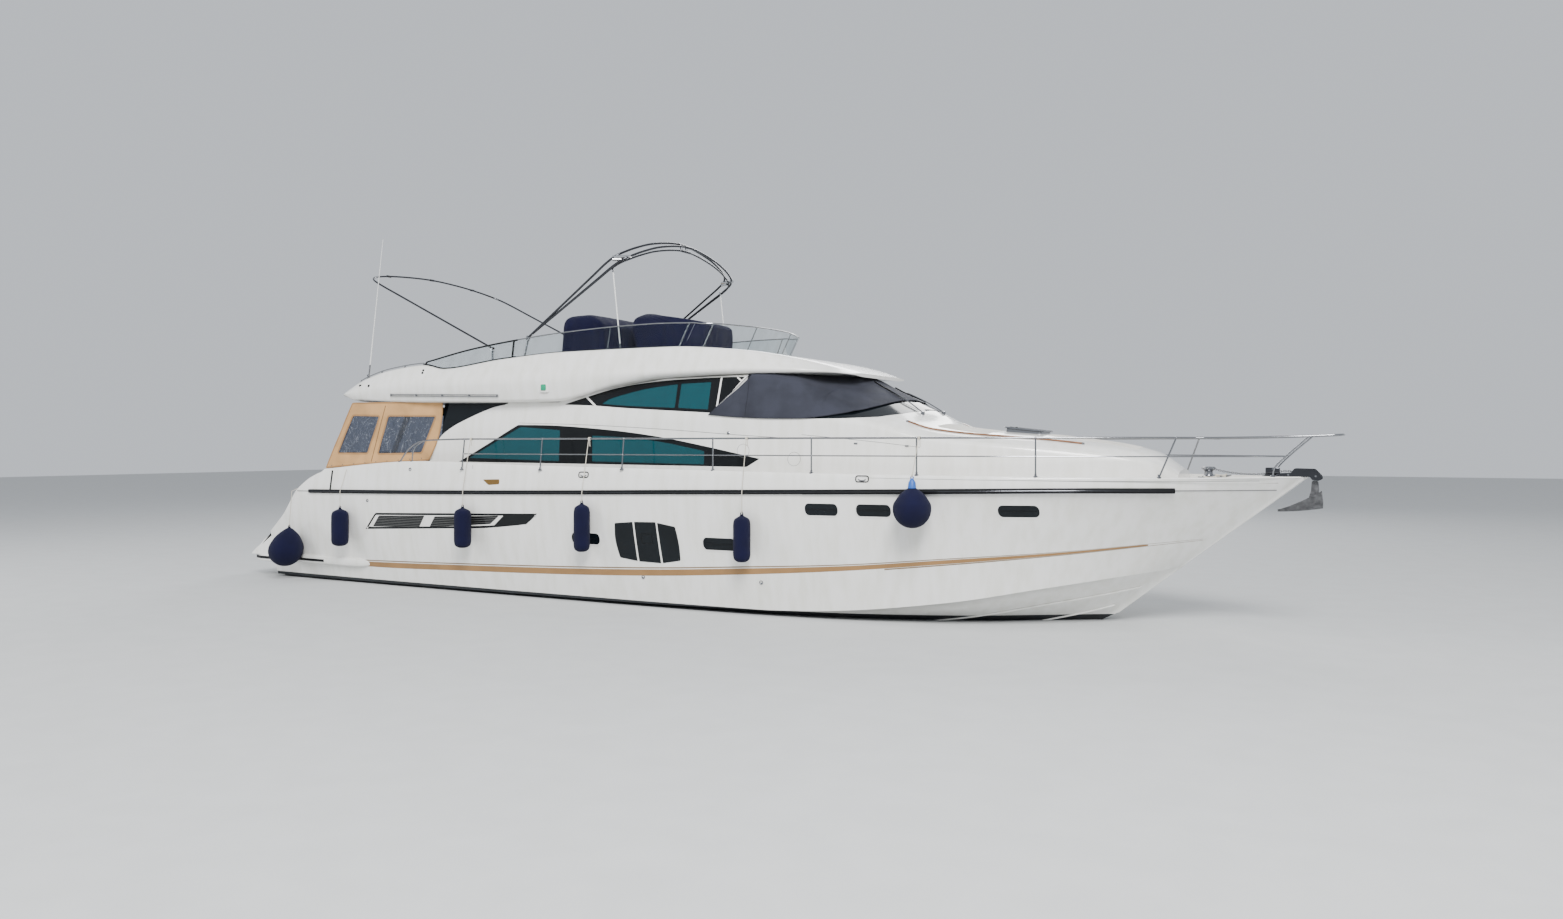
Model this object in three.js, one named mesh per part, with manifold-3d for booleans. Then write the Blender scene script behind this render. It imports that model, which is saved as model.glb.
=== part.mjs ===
// Motor yacht with a flying bridge, 20 m long, built in millimetres.
// X points to the bow, Y to port and Z up. The origin is on the centreline at the waterline.
import * as THREE from "three";
import { mergeVertices } from "three/addons/utils/BufferGeometryUtils.js";
import Module from "manifold-3d";

const wasm = await Module();
wasm.setup();

// Driving dimensions
const FLOAT_Z = 100; // the tables' heights start at the bottom paint's upper edge, this far above the water
const SEAT_GAP = 0.3; // between pieces that touch
const RUN_GAP = 5; // between pieces that move past each other
const PIN_GAP = 0.6; // round a shaft or a pin in its bore
const PIN_SIDES = 24;
const TUBE_SIDES = 6;
const KEEL_HALF = 30; // half the width of the keel's flat
const DECK_Z = 2080; // side decks and foredeck
const BULWARK = 75; // width of the bulwark's cap
const DECK_AFT_X = -4950; // aft end of the side decks
const RAIL_Z = 2740; // top of the guard rail
const MID_RAIL_Z = 2470;
const COCKPIT = { aftX: -7450, foreX: -4400, halfY: 2000, floorZ: 1250, floorT: 60 };
const ENGINE_ROOM = { aftX: -7100, foreX: -4700, halfY: 1500, floorZ: -150 };
const SALOON = { foreX: 2900, halfY: 1900, floorZ: 1400 };
const TRANSOM_X = -8300; // aft face of the block between cockpit and platform
const PLATFORM = { aftX: -9950, bottomZ: 200, topZ: 360, halfY: 2330 };
const WING_HALF_Y = 2060; // inner faces of the quarter wings
const WALL = 70; // wall of deckhouse and roof
const ROOF_CUT_Y = 3500; // more than any half-breadth

const SIDES = [
  { name: "starboard", sign: -1 },
  { name: "port", sign: 1 },
];

// Colours, roughness and metalness
const FINISH = {
  gelcoat: new THREE.MeshStandardMaterial({ color: 0xf1ede6, roughness: 0.25 }),
  antifouling: new THREE.MeshStandardMaterial({ color: 0x1a1d22, roughness: 0.8 }),
  stainless: new THREE.MeshStandardMaterial({ color: 0xc9ccd0, roughness: 0.2, metalness: 1 }),
  rubber: new THREE.MeshStandardMaterial({ color: 0x2b2b2e, roughness: 0.7 }),
  glass: new THREE.MeshStandardMaterial({ color: 0x12404a, roughness: 0.05 }),
  acrylic: new THREE.MeshStandardMaterial({ color: 0xc8ccd0, roughness: 0.1 }),
  navyFabric: new THREE.MeshStandardMaterial({ color: 0x1b1d3e, roughness: 0.9 }),
  vinyl: new THREE.MeshStandardMaterial({ color: 0xe0dcd2, roughness: 0.6 }),
  tanFabric: new THREE.MeshStandardMaterial({ color: 0xd0ab78, roughness: 0.9 }),
  meshFabric: new THREE.MeshStandardMaterial({ color: 0x4c4f5c, roughness: 0.9 }),
  teak: new THREE.MeshStandardMaterial({ color: 0x9a7449, roughness: 0.7 }),
  bronze: new THREE.MeshStandardMaterial({ color: 0xa07a3a, roughness: 0.4, metalness: 1 }),
  castIron: new THREE.MeshStandardMaterial({ color: 0xd9d9d4, roughness: 0.5 }),
};

const yacht = new THREE.Group();

// Solids from closed geometries
function solid(geometry) {
  const bare = geometry.index ? geometry.toNonIndexed() : geometry.clone();
  bare.deleteAttribute("normal");
  bare.deleteAttribute("uv");
  const merged = mergeVertices(bare, 1e-3);
  const triVerts = new Uint32Array(merged.index.array);
  const vertProperties = merged.attributes.position.array;
  const made = new wasm.Manifold(new wasm.Mesh({ numProp: 3, vertProperties, triVerts }));
  if (made.volume() > 0) return made;
  for (let i = 0; i < triVerts.length; i += 3) triVerts.subarray(i, i + 3).reverse();
  return new wasm.Manifold(new wasm.Mesh({ numProp: 3, vertProperties, triVerts }));
}

function join(first, ...others) {
  return others.reduce((sum, other) => sum.add(other), first);
}

function cut(body, ...tools) {
  return tools.reduce((rest, tool) => rest.subtract(tool), body);
}

function mirrored(body) {
  return body.mirror([0, 1, 0]);
}

function forSide(body, side) {
  return side.sign > 0 ? body : mirrored(body);
}

// Adds a named piece, lifted to its height above the water.
// A piece that is built about its own pin is placed by its position.
function add(name, body, material, position = [0, 0, 0], rotation = [0, 0, 0]) {
  const { numProp, vertProperties, triVerts } = body.getMesh();
  const geometry = new THREE.BufferGeometry();
  geometry.setAttribute("position", new THREE.BufferAttribute(vertProperties, numProp));
  geometry.setIndex(new THREE.BufferAttribute(triVerts, 1));
  geometry.computeVertexNormals();
  const mesh = new THREE.Mesh(geometry, material);
  mesh.name = name;
  mesh.position.set(position[0], position[1], position[2] + FLOAT_Z);
  mesh.rotation.set(...rotation);
  yacht.add(mesh);
  return mesh;
}

// Simple shapes
function box(x0, x1, y0, y1, z0, z1) {
  const geometry = new THREE.BoxGeometry(x1 - x0, y1 - y0, z1 - z0);
  return solid(geometry.translate((x0 + x1) / 2, (y0 + y1) / 2, (z0 + z1) / 2));
}

function outline(points) {
  return new THREE.Shape(points.map(([a, b]) => new THREE.Vector2(a, b)));
}

// A side view, points of x and z, carried across the boat from y0 to y1
function sideProfile(points, y0, y1) {
  const geometry = new THREE.ExtrudeGeometry(outline(points), { depth: y1 - y0, bevelEnabled: false });
  return solid(geometry.rotateX(Math.PI / 2).translate(0, y1, 0));
}

// A plan view, points of x and y, carried up from z0 to z1
function planProfile(points, z0, z1) {
  const geometry = new THREE.ExtrudeGeometry(outline(points), { depth: z1 - z0, bevelEnabled: false });
  return solid(geometry.translate(0, 0, z0));
}

function rod(from, to, radius, sides = 8) {
  const start = new THREE.Vector3(...from);
  const along = new THREE.Vector3(...to).sub(start);
  const geometry = new THREE.CylinderGeometry(radius, radius, along.length(), sides);
  const up = new THREE.Vector3(0, 1, 0);
  geometry.applyQuaternion(new THREE.Quaternion().setFromUnitVectors(up, along.clone().normalize()));
  const middle = start.addScaledVector(along, 0.5);
  return solid(geometry.translate(middle.x, middle.y, middle.z));
}

// The radius of a many-sided bore that a round pin turns in
function boreRadius(pin, sides) {
  return (pin + PIN_GAP) / Math.cos(Math.PI / sides);
}

function tube(points, radius, steps, sides = 8) {
  const path = new THREE.CatmullRomCurve3(points.map((p) => new THREE.Vector3(...p)), false, "centripetal");
  const ring = [];
  for (let i = 0; i < sides; i += 1) {
    const angle = (2 * Math.PI * i) / sides;
    ring.push([radius * Math.cos(angle), radius * Math.sin(angle)]);
  }
  return solid(new THREE.ExtrudeGeometry(outline(ring), { steps, extrudePath: path, bevelEnabled: false }));
}

// A body of revolution about Z, from a profile of radius and height
function turned(profile, sides = 16) {
  const half = profile.map(([r, z]) => new THREE.Vector2(r, z));
  return solid(new THREE.LatheGeometry(half, sides).rotateX(Math.PI / 2));
}

// A body with the same breadth on both sides: each section lists points of y and z from the keel up
function symmetricLoft(sections) {
  const positions = [];
  const put = (...corners) => corners.forEach(([x, y, z]) => positions.push(x, y, z));
  const quad = (a, b, c, d) => put(a, b, c, a, c, d);
  const other = ([x, y, z]) => [x, -y, z];
  const both = (a, b, c, d) => {
    quad(a, b, c, d);
    put(other(a), other(c), other(b), other(a), other(d), other(c));
  };
  const last = sections[0].length - 1;
  for (let s = 0; s + 1 < sections.length; s += 1) {
    const here = sections[s];
    const next = sections[s + 1];
    for (let i = 0; i < last; i += 1) both(here[i], next[i], next[i + 1], here[i + 1]);
    quad(here[last], next[last], other(next[last]), other(here[last]));
    quad(other(here[0]), other(next[0]), next[0], here[0]);
  }
  const stern = sections[0];
  const bow = sections[sections.length - 1];
  for (let i = 0; i < last; i += 1) {
    quad(stern[i], stern[i + 1], other(stern[i + 1]), other(stern[i]));
    quad(bow[i + 1], bow[i], other(bow[i]), other(bow[i + 1]));
  }
  const geometry = new THREE.BufferGeometry();
  geometry.setAttribute("position", new THREE.Float32BufferAttribute(positions, 3));
  return solid(geometry);
}

// Hull stations from the transom to the stem. Each line gives x, y and z on the port side.
// Bulge is how far the topsides stand out of a straight line between chine and rub rail.
const HULL_STATIONS = [
  { keel: [-9150, 30, -620], chine: [-9150, 2160, -60],
    rub: [-9150, 2440, 1690], sheer: [-9150, 2380, 2060], bulge: 30 },
  { keel: [-7500, 30, -730], chine: [-7500, 2220, -60],
    rub: [-7500, 2545, 1712], sheer: [-7500, 2465, 2150], bulge: 35 },
  { keel: [-5000, 30, -860], chine: [-5000, 2270, -55],
    rub: [-5000, 2600, 1745], sheer: [-5000, 2525, 2325], bulge: 40 },
  { keel: [-2000, 30, -950], chine: [-2000, 2290, -50],
    rub: [-2000, 2620, 1800], sheer: [-2000, 2550, 2280], bulge: 45 },
  { keel: [1000, 30, -980], chine: [1000, 2280, -30],
    rub: [1000, 2610, 1865], sheer: [1000, 2550, 2240], bulge: 40 },
  { keel: [3500, 30, -920], chine: [3500, 2170, 40],
    rub: [3500, 2530, 1915], sheer: [3500, 2490, 2205], bulge: 20 },
  { keel: [5300, 30, -720], chine: [5400, 1900, 250],
    rub: [5600, 2290, 1955], sheer: [5600, 2270, 2185], bulge: -30 },
  { keel: [6400, 30, -450], chine: [6700, 1420, 480],
    rub: [7200, 1840, 1980], sheer: [7300, 1800, 2175], bulge: -60 },
  { keel: [7100, 30, -230], chine: [7800, 700, 665],
    rub: [8700, 1050, 1980], sheer: [8900, 1010, 2170], bulge: -60 },
  { keel: [7620, 25, 30], chine: [8530, 30, 770],
    rub: [10040, 50, 1980], sheer: [10280, 60, 2180], bulge: 0 },
];
const RINGS_PER_STATION = 2;

function hullLine(key) {
  const points = HULL_STATIONS.map((station) => new THREE.Vector3(...station[key]));
  return new THREE.CatmullRomCurve3(points, false, "catmullrom", 0.5);
}
const KEEL = hullLine("keel");
const CHINE = hullLine("chine");
const RUB = hullLine("rub");
const SHEER = hullLine("sheer");

// The topsides' bulge between two stations, t running from 0 at the transom to 1 at the stem
function bulgeAt(t) {
  const place = t * (HULL_STATIONS.length - 1);
  const index = Math.min(Math.floor(place), HULL_STATIONS.length - 2);
  return THREE.MathUtils.lerp(HULL_STATIONS[index].bulge, HULL_STATIONS[index + 1].bulge, place - index);
}

function hullSection(t) {
  const chine = CHINE.getPoint(t);
  const rub = RUB.getPoint(t);
  const side = [1 / 3, 2 / 3].map((part) => {
    const point = chine.clone().lerp(rub, part);
    point.y += bulgeAt(t);
    return point.toArray();
  });
  return [KEEL.getPoint(t).toArray(), chine.toArray(), ...side, rub.toArray(), SHEER.getPoint(t).toArray()];
}

// The point of a hull line at a given x
function atX(line, x) {
  let low = 0;
  let high = 1;
  for (let i = 0; i < 40; i += 1) {
    const middle = (low + high) / 2;
    if (line.getPoint(middle).x < x) low = middle;
    else high = middle;
  }
  return line.getPoint(low);
}

// The slope that the quarters fall along, from the deck to the platform
const QUARTER = [
  [-7600, 2700], [-7670, 2125], [-8050, 1940], [-8470, 1720], [-8760, 1450], [-9180, 1020],
  [-9300, 880],
];

function hullShell() {
  const rings = RINGS_PER_STATION * (HULL_STATIONS.length - 1);
  const sections = [];
  for (let i = 0; i <= rings; i += 1) sections.push(hullSection(i / rings));
  return symmetricLoft(sections);
}

function deckRecess() {
  const edge = [];
  for (let x = DECK_AFT_X; x < 10000; x += 400) {
    const sheer = atX(SHEER, x);
    if (sheer.y - BULWARK > 60) edge.push([sheer.x, sheer.y - BULWARK]);
  }
  const port = edge.map(([x, y]) => [x, -y]).reverse();
  return planProfile([...edge, ...port], DECK_Z, DECK_Z + 900);
}

const STEPS = 3; // from the platform up to each gate

function cockpitWell() {
  const { aftX, foreX, halfY, floorZ, floorT } = COCKPIT;
  const steps = [];
  for (const side of SIDES) {
    const rise = (floorZ - PLATFORM.topZ) / STEPS;
    const run = (aftX - TRANSOM_X) / STEPS;
    for (let i = 0; i < STEPS; i += 1) {
      const x = TRANSOM_X + run * i;
      const above = box(x - 1, aftX + 1, 1350, halfY, PLATFORM.topZ + rise * (i + 1), 3000);
      steps.push(forSide(above, side));
    }
  }
  const well = box(aftX, foreX, -halfY, halfY, floorZ - floorT, 3000);
  return { well, steps };
}

function engineRoom() {
  const { aftX, foreX, halfY, floorZ } = ENGINE_ROOM;
  return box(aftX, foreX, -halfY, halfY, floorZ, COCKPIT.floorZ);
}

// Ledges that carry the platform's edge forward along both quarters
function sideLedge() {
  const plan = [[-9150, 2200], [-9150, 2355], [-7800, 2425], [-6700, 2445], [-6250, 2408], [-6050, 2300]];
  return planProfile(plan, PLATFORM.bottomZ, PLATFORM.topZ + 40);
}

const SHAFT = { y: 1120, radius: 32, propX: -8000, propZ: -980, slope: 0.16, boreX: -4300 };
const RUDDER = { x: -8650, y: 1120, stock: 38, topZ: -230, bladeZ: -460, bottomZ: -1330 };

function shaftPoint(x) {
  return [x, SHAFT.y, SHAFT.propZ + (x - SHAFT.propX) * SHAFT.slope];
}
const shaftAngle = Math.atan(SHAFT.slope);

function hullBody() {
  const { well, steps } = cockpitWell();
  const quarterCut = sideProfile([...QUARTER, [-9300, 2700]], -ROOF_CUT_Y, ROOF_CUT_Y);
  const platformCut = box(-9400, TRANSOM_X, -WING_HALF_Y, WING_HALF_Y, PLATFORM.bottomZ - SEAT_GAP, 3000);
  const saloonWell = box(COCKPIT.foreX - 1, SALOON.foreX, -SALOON.halfY, SALOON.halfY, SALOON.floorZ, 3000);
  let body = join(hullShell(), sideLedge(), mirrored(sideLedge()));
  body = cut(body, deckRecess(), well, ...steps, engineRoom(), saloonWell, quarterCut, platformCut);
  for (const side of SIDES) {
    const { x, y, stock, topZ } = RUDDER;
    const bore = rod(shaftPoint(SHAFT.boreX), shaftPoint(SHAFT.propX), boreRadius(SHAFT.radius, 20), 20);
    const trunk = rod([x, y, topZ], [x, y, -900], boreRadius(stock, 20), 20);
    body = cut(body, forSide(join(bore, trunk), side));
  }
  return body;
}

const hull = hullBody();
add("hull", hull, FINISH.gelcoat);

// Cockpit sole with the engine hatch in it
const HATCH = { aftX: -6650, foreX: -5350, halfY: 620, lip: 40, lidT: 30 };

function cockpitFloor() {
  const { aftX, foreX, halfY, floorZ, floorT } = COCKPIT;
  const gap = SEAT_GAP;
  const slab = box(aftX + gap, foreX - gap, -halfY + gap, halfY - gap, floorZ - floorT + gap, floorZ);
  const { lip, lidT } = HATCH;
  const rebate = box(HATCH.aftX, HATCH.foreX, -HATCH.halfY, HATCH.halfY, floorZ - lidT, floorZ + 10);
  const inner = HATCH.halfY - lip;
  const hole = box(HATCH.aftX + lip, HATCH.foreX - lip, -inner, inner, floorZ - 100, floorZ + 10);
  return cut(slab, rebate, hole);
}

function engineHatch() {
  const { aftX, foreX, halfY, lidT } = HATCH;
  const edge = RUN_GAP;
  const lidZ = COCKPIT.floorZ - lidT + SEAT_GAP;
  return box(aftX + edge, foreX - edge, -halfY + edge, halfY - edge, lidZ, COCKPIT.floorZ);
}
add("cockpit_floor", cockpitFloor(), FINISH.teak);
add("engine_hatch", engineHatch(), FINISH.teak);

// Engines, each a plain block of its real size
const ENGINE = { length: 1750, width: 950, height: 1080, x: -5900, y: 780 };
for (const side of SIDES) {
  const { length, width, height } = ENGINE;
  const block = box(-length / 2, length / 2, -width / 2, width / 2, 0, height);
  const z = ENGINE_ROOM.floorZ + SEAT_GAP;
  add(`engine_${side.name}`, block, FINISH.castIron, [ENGINE.x, side.sign * ENGINE.y, z]);
}

// Swimming platform with the lower ends of the quarter wings on it
function swimPlatform() {
  const { aftX, bottomZ, topZ, halfY } = PLATFORM;
  const inner = WING_HALF_Y - SEAT_GAP;
  const rear = -9150 - SEAT_GAP;
  const corner = 420;
  const aft = [[aftX + corner, halfY - 30], [aftX + 120, halfY - 180], [aftX, halfY - corner]];
  const plan = [[rear, halfY], ...aft];
  const other = plan.map(([x, y]) => [x, -y]).reverse();
  const slab = planProfile([...plan, ...other], bottomZ, topZ);
  const tongue = box(rear - 50, TRANSOM_X - SEAT_GAP, -inner, inner, bottomZ, topZ);
  const fin = [[rear, topZ - 20], [rear, 1050], [-9400, 775], [-9700, 470], [-9790, topZ - 20]];
  const fins = SIDES.map((side) => forSide(sideProfile(fin, inner + 20, halfY - 60), side));
  return join(slab, tongue, ...fins);
}
add("swim_platform", swimPlatform(), FINISH.gelcoat);

// Rub rails, a strip swept along the widest line of the hull
const RUB_RAIL = { height: 72, depth: 46, aftX: -7950, foreX: 9900, steps: 30 };

function rubRail() {
  const { height, depth, aftX, foreX, steps } = RUB_RAIL;
  const sections = [];
  for (let i = 0; i <= steps; i += 1) {
    const p = atX(RUB, aftX + ((foreX - aftX) * i) / steps);
    const inY = p.y - 60;
    const outY = p.y + depth;
    sections.push([[p.x, inY, p.z - height / 2], [p.x, outY - 12, p.z - height / 2],
      [p.x, outY, p.z], [p.x, outY - 12, p.z + height / 2], [p.x, inY, p.z + height / 2]]);
  }
  return sections;
}

// A strip on one side: each section is a closed ring of points
function stripLoft(sections) {
  const positions = [];
  const put = (...corners) => corners.forEach(([x, y, z]) => positions.push(x, y, z));
  const count = sections[0].length;
  for (let s = 0; s + 1 < sections.length; s += 1) {
    for (let i = 0; i < count; i += 1) {
      const j = (i + 1) % count;
      const [a, b, c, d] = [sections[s][i], sections[s + 1][i], sections[s + 1][j], sections[s][j]];
      put(a, b, c, a, c, d);
    }
  }
  for (let i = 1; i + 1 < count; i += 1) {
    const first = sections[0];
    const end = sections[sections.length - 1];
    put(first[0], first[i], first[i + 1]);
    put(end[0], end[i + 1], end[i]);
  }
  const geometry = new THREE.BufferGeometry();
  geometry.setAttribute("position", new THREE.Float32BufferAttribute(positions, 3));
  return solid(geometry);
}

const rubStrip = cut(stripLoft(rubRail()), hull.translate([0, SEAT_GAP, 0]));
for (const side of SIDES) add(`rub_rail_${side.name}`, forSide(rubStrip, side), FINISH.rubber);

// Deckhouse sections. Half-breadths at base, shoulder and roof edge, with the heights of the last two,
// and the height at the centre.
const HOUSE_SECTIONS = [
  { x: -4900, baseY: 2100, shoulderY: 2105, shoulderZ: 2900, topY: 2010, topZ: 3560, crownZ: 3600 },
  { x: -2000, baseY: 2100, shoulderY: 2095, shoulderZ: 2950, topY: 1960, topZ: 3700, crownZ: 3750 },
  { x: 400, baseY: 2080, shoulderY: 2060, shoulderZ: 3080, topY: 1890, topZ: 3830, crownZ: 3880 },
  { x: 2050, baseY: 2030, shoulderY: 1990, shoulderZ: 3080, topY: 1810, topZ: 3830, crownZ: 3900 },
  { x: 2700, baseY: 1980, shoulderY: 1920, shoulderZ: 3070, topY: 1690, topZ: 3730, crownZ: 3880 },
  { x: 3350, baseY: 1910, shoulderY: 1850, shoulderZ: 3060, topY: 1620, topZ: 3380, crownZ: 3790 },
  { x: 3800, baseY: 1850, shoulderY: 1790, shoulderZ: 3040, topY: 1600, topZ: 3150, crownZ: 3575 },
  { x: 4530, baseY: 1740, shoulderY: 1660, shoulderZ: 2880, topY: 1450, topZ: 2990, crownZ: 3225 },
  { x: 5000, baseY: 1660, shoulderY: 1560, shoulderZ: 2760, topY: 1330, topZ: 2860, crownZ: 2970 },
  { x: 7000, baseY: 1230, shoulderY: 1120, shoulderZ: 2560, topY: 900, topZ: 2660, crownZ: 2760 },
  { x: 8200, baseY: 800, shoulderY: 720, shoulderZ: 2390, topY: 560, topZ: 2470, crownZ: 2540 },
  { x: 8600, baseY: 600, shoulderY: 560, shoulderZ: 2180, topY: 450, topZ: 2230, crownZ: 2270 },
];

function houseLoft(grow, baseZ, first = 0, last = HOUSE_SECTIONS.length - 1) {
  const sections = HOUSE_SECTIONS.slice(first, last + 1).map((s) => [
    [s.x, s.baseY + grow, baseZ],
    [s.x, s.shoulderY + grow, s.shoulderZ + grow * 0.4],
    [s.x, s.topY + grow * 0.8, s.topZ + grow * 0.8],
    [s.x, s.topY * 0.55, s.topZ * 0.3 + s.crownZ * 0.7 + grow],
    [s.x, KEEL_HALF, s.crownZ + grow],
  ]);
  return symmetricLoft(sections);
}

// The line that the deckhouse roof and the flying bridge meet on, in side view
const ROOF_LINE = [
  [-7400, 3660], [-6730, 3485], [-1800, 3400], [-440, 3660], [440, 3765], [2050, 3800],
  [3900, 3800],
];

function aboveRoofLine(lift) {
  const line = ROOF_LINE.map(([x, z]) => [x, z + lift]);
  return sideProfile([...line, [3900, 5000], [-7400, 5000]], -ROOF_CUT_Y, ROOF_CUT_Y);
}

function belowRoofLine(lift) {
  const line = ROOF_LINE.map(([x, z]) => [x, z + lift]);
  return sideProfile([...line, [3900, 1000], [-7400, 1000]], -ROOF_CUT_Y, ROOF_CUT_Y);
}

// The swept edge of the deckhouse's sides, aft
const SWOOSH = [
  [-5000, 2000], [-4900, 2300], [-4780, 2560], [-4600, 2790], [-4300, 2980], [-4000, 3110],
  [-3350, 3330], [-2990, 3392], [-2900, 3700], [-5000, 3700],
];
const SALOON_WINDOW = [
  [-4120, 2330], [-2700, 2985], [-2160, 3000], [-1210, 2945], [430, 2775], [1950, 2505],
  [2330, 2420], [2090, 2300], [-2160, 2300],
];
const UPPER_WINDOW = [
  [-1700, 3370], [-1270, 3490], [-440, 3630], [440, 3725], [1430, 3760], [1960, 3765],
  [1400, 3180], [440, 3235], [-990, 3330],
];
const WINDSCREEN = { aftX: 2950, foreX: 4180, halfY: 1440 };
const HOUSE_AFT_X = -4400;

const houseOuter = houseLoft(0, DECK_Z + SEAT_GAP);
const houseInner = join(
  houseLoft(-WALL, DECK_Z - 50, 0, 7),
  box(-5000, HOUSE_SECTIONS[0].x + 1, -1900, 1900, DECK_Z - 50, 3400),
);
// The roof's underside, a wall's thickness below the roof line
const houseShell = cut(houseOuter, cut(houseInner, aboveRoofLine(-WALL)), aboveRoofLine(-SEAT_GAP));

const GLASS_GAP = 1;

function windowTool(points, side) {
  return forSide(sideProfile(points, 1500, 2400), side);
}

function windscreenTool(gap) {
  const { aftX, foreX, halfY } = WINDSCREEN;
  return box(aftX + gap, foreX - gap, -halfY + gap, halfY - gap, 3080, 4200);
}

function deckhouse() {
  const outlines = [SALOON_WINDOW, UPPER_WINDOW];
  const windows = SIDES.flatMap((side) => outlines.map((points) => windowTool(points, side)));
  const sweep = sideProfile(SWOOSH, -ROOF_CUT_Y, ROOF_CUT_Y);
  return cut(houseShell, ...windows, windscreenTool(0), sweep);
}

const deckhouseShell = deckhouse();

// A pane is the piece of the shell that the window's cut takes out, with a gap all round
function pane(tool) {
  const moves = [[1, 0], [-1, 0], [0, 1], [0, -1]];
  const frames = moves.map(([x, z]) => deckhouseShell.translate([x * GLASS_GAP, 0, z * GLASS_GAP]));
  return cut(houseShell.intersect(tool), ...frames);
}
for (const side of SIDES) {
  add(`saloon_window_${side.name}`, pane(windowTool(SALOON_WINDOW, side)), FINISH.glass);
  add(`upper_window_${side.name}`, pane(windowTool(UPPER_WINDOW, side)), FINISH.glass);
}
add("windscreen", houseShell.intersect(windscreenTool(GLASS_GAP)), FINISH.glass);

// Mesh cover laced over the windscreen
const COVER_SIDE = [
  [2060, 3790], [1390, 3130], [2900, 3050], [3850, 3075], [4600, 3110], [4700, 3300],
  [3900, 4100], [2060, 4100],
];

function windscreenCover() {
  const skin = cut(houseLoft(12, 2500, 1, 8), houseLoft(0.7, 2400, 0, 9));
  return cut(skin.intersect(sideProfile(COVER_SIDE, -ROOF_CUT_Y, ROOF_CUT_Y)), aboveRoofLine(-1));
}
add("windscreen_cover", windscreenCover(), FINISH.meshFabric);

// Bulkhead between cockpit and saloon, with its doorway and track
const DOOR = { y0: -820, y1: 180, sillZ: 1420, headZ: 3190, leafT: 40, trackZ: 1406 };
const BULKHEAD_T = 50;

function aftBulkhead() {
  const aft = HOUSE_AFT_X - BULKHEAD_T;
  const fore = HOUSE_AFT_X - SEAT_GAP;
  const side = COCKPIT.halfY - SEAT_GAP;
  const lower = box(aft, fore, -side, side, COCKPIT.floorZ + SEAT_GAP, DECK_Z + 200);
  const upper = cut(houseLoft(-WALL - SEAT_GAP, DECK_Z - 40, 0, 1), aboveRoofLine(-WALL - SEAT_GAP))
    .intersect(box(aft, fore, -2500, 2500, DECK_Z, 4000));
  const doorway = box(aft - 10, fore + 10, DOOR.y0, DOOR.y1, DOOR.sillZ, DOOR.headZ);
  const track = box(aft, HOUSE_AFT_X + 70, DOOR.y0 - 60, 1350, SALOON.floorZ + SEAT_GAP, DOOR.trackZ);
  return join(cut(join(lower, upper), doorway), track);
}
add("aft_bulkhead", aftBulkhead(), FINISH.gelcoat);

function saloonDoor() {
  const x = HOUSE_AFT_X + RUN_GAP;
  return box(x, x + DOOR.leafT, DOOR.y0 - 40, DOOR.y1 + 40, DOOR.trackZ + SEAT_GAP, DOOR.headZ + 50);
}
add("saloon_door", saloonDoor(), FINISH.glass);

// Dark glass between the swept edge and the overhang
const QUARTER_GLASS = [[-4560, 2500], [-4560, 3450], [-3150, 3450], [-3150, 2500]];

function quarterGlass() {
  const above = sideProfile(SWOOSH, 0, ROOF_CUT_Y).translate([0, 0, GLASS_GAP]);
  return houseShell.intersect(sideProfile(QUARTER_GLASS, 1500, 2400)).intersect(above);
}
for (const side of SIDES) add(`quarter_glass_${side.name}`, forSide(quarterGlass(), side), FINISH.glass);

// Flying bridge sections: half-breadths at the bottom edge, the side and the coaming's top
const FLY_SECTIONS = [
  { x: -7140, lowY: 1750, sideY: 1800, sideZ: 3690, topY: 1740, topZ: 3725 },
  { x: -7000, lowY: 1980, sideY: 2060, sideZ: 3700, topY: 1960, topZ: 3800 },
  { x: -6640, lowY: 2130, sideY: 2230, sideZ: 3740, topY: 2110, topZ: 3950 },
  { x: -5860, lowY: 2220, sideY: 2320, sideZ: 3760, topY: 2170, topZ: 4110 },
  { x: -5030, lowY: 2240, sideY: 2340, sideZ: 3780, topY: 2170, topZ: 4170 },
  { x: -4500, lowY: 2240, sideY: 2340, sideZ: 3790, topY: 2160, topZ: 4080 },
  { x: -3100, lowY: 2220, sideY: 2315, sideZ: 3800, topY: 2110, topZ: 4220 },
  { x: -1700, lowY: 2180, sideY: 2265, sideZ: 3810, topY: 2050, topZ: 4305 },
  { x: 500, lowY: 2060, sideY: 2130, sideZ: 3860, topY: 1920, topZ: 4320 },
  { x: 1900, lowY: 1900, sideY: 1950, sideZ: 3890, topY: 1720, topZ: 4220 },
  { x: 2700, lowY: 1700, sideY: 1730, sideZ: 3880, topY: 1460, topZ: 4080 },
  { x: 3250, lowY: 1420, sideY: 1430, sideZ: 3850, topY: 1150, topZ: 3940 },
  { x: 3600, lowY: 1080, sideY: 1080, sideZ: 3810, topY: 850, topZ: 3830 },
];
const FLY_FLOOR = { aftZ: 3600, helmZ: 3850, stepX: -1150, aftX: -6800, foreX: 900, coaming: 235 };

function flyLoft() {
  return symmetricLoft(FLY_SECTIONS.map((s) => [
    [s.x, s.lowY, 3300], [s.x, s.lowY, 3600], [s.x, s.sideY, s.sideZ], [s.x, s.topY, s.topZ],
  ]));
}

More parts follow.
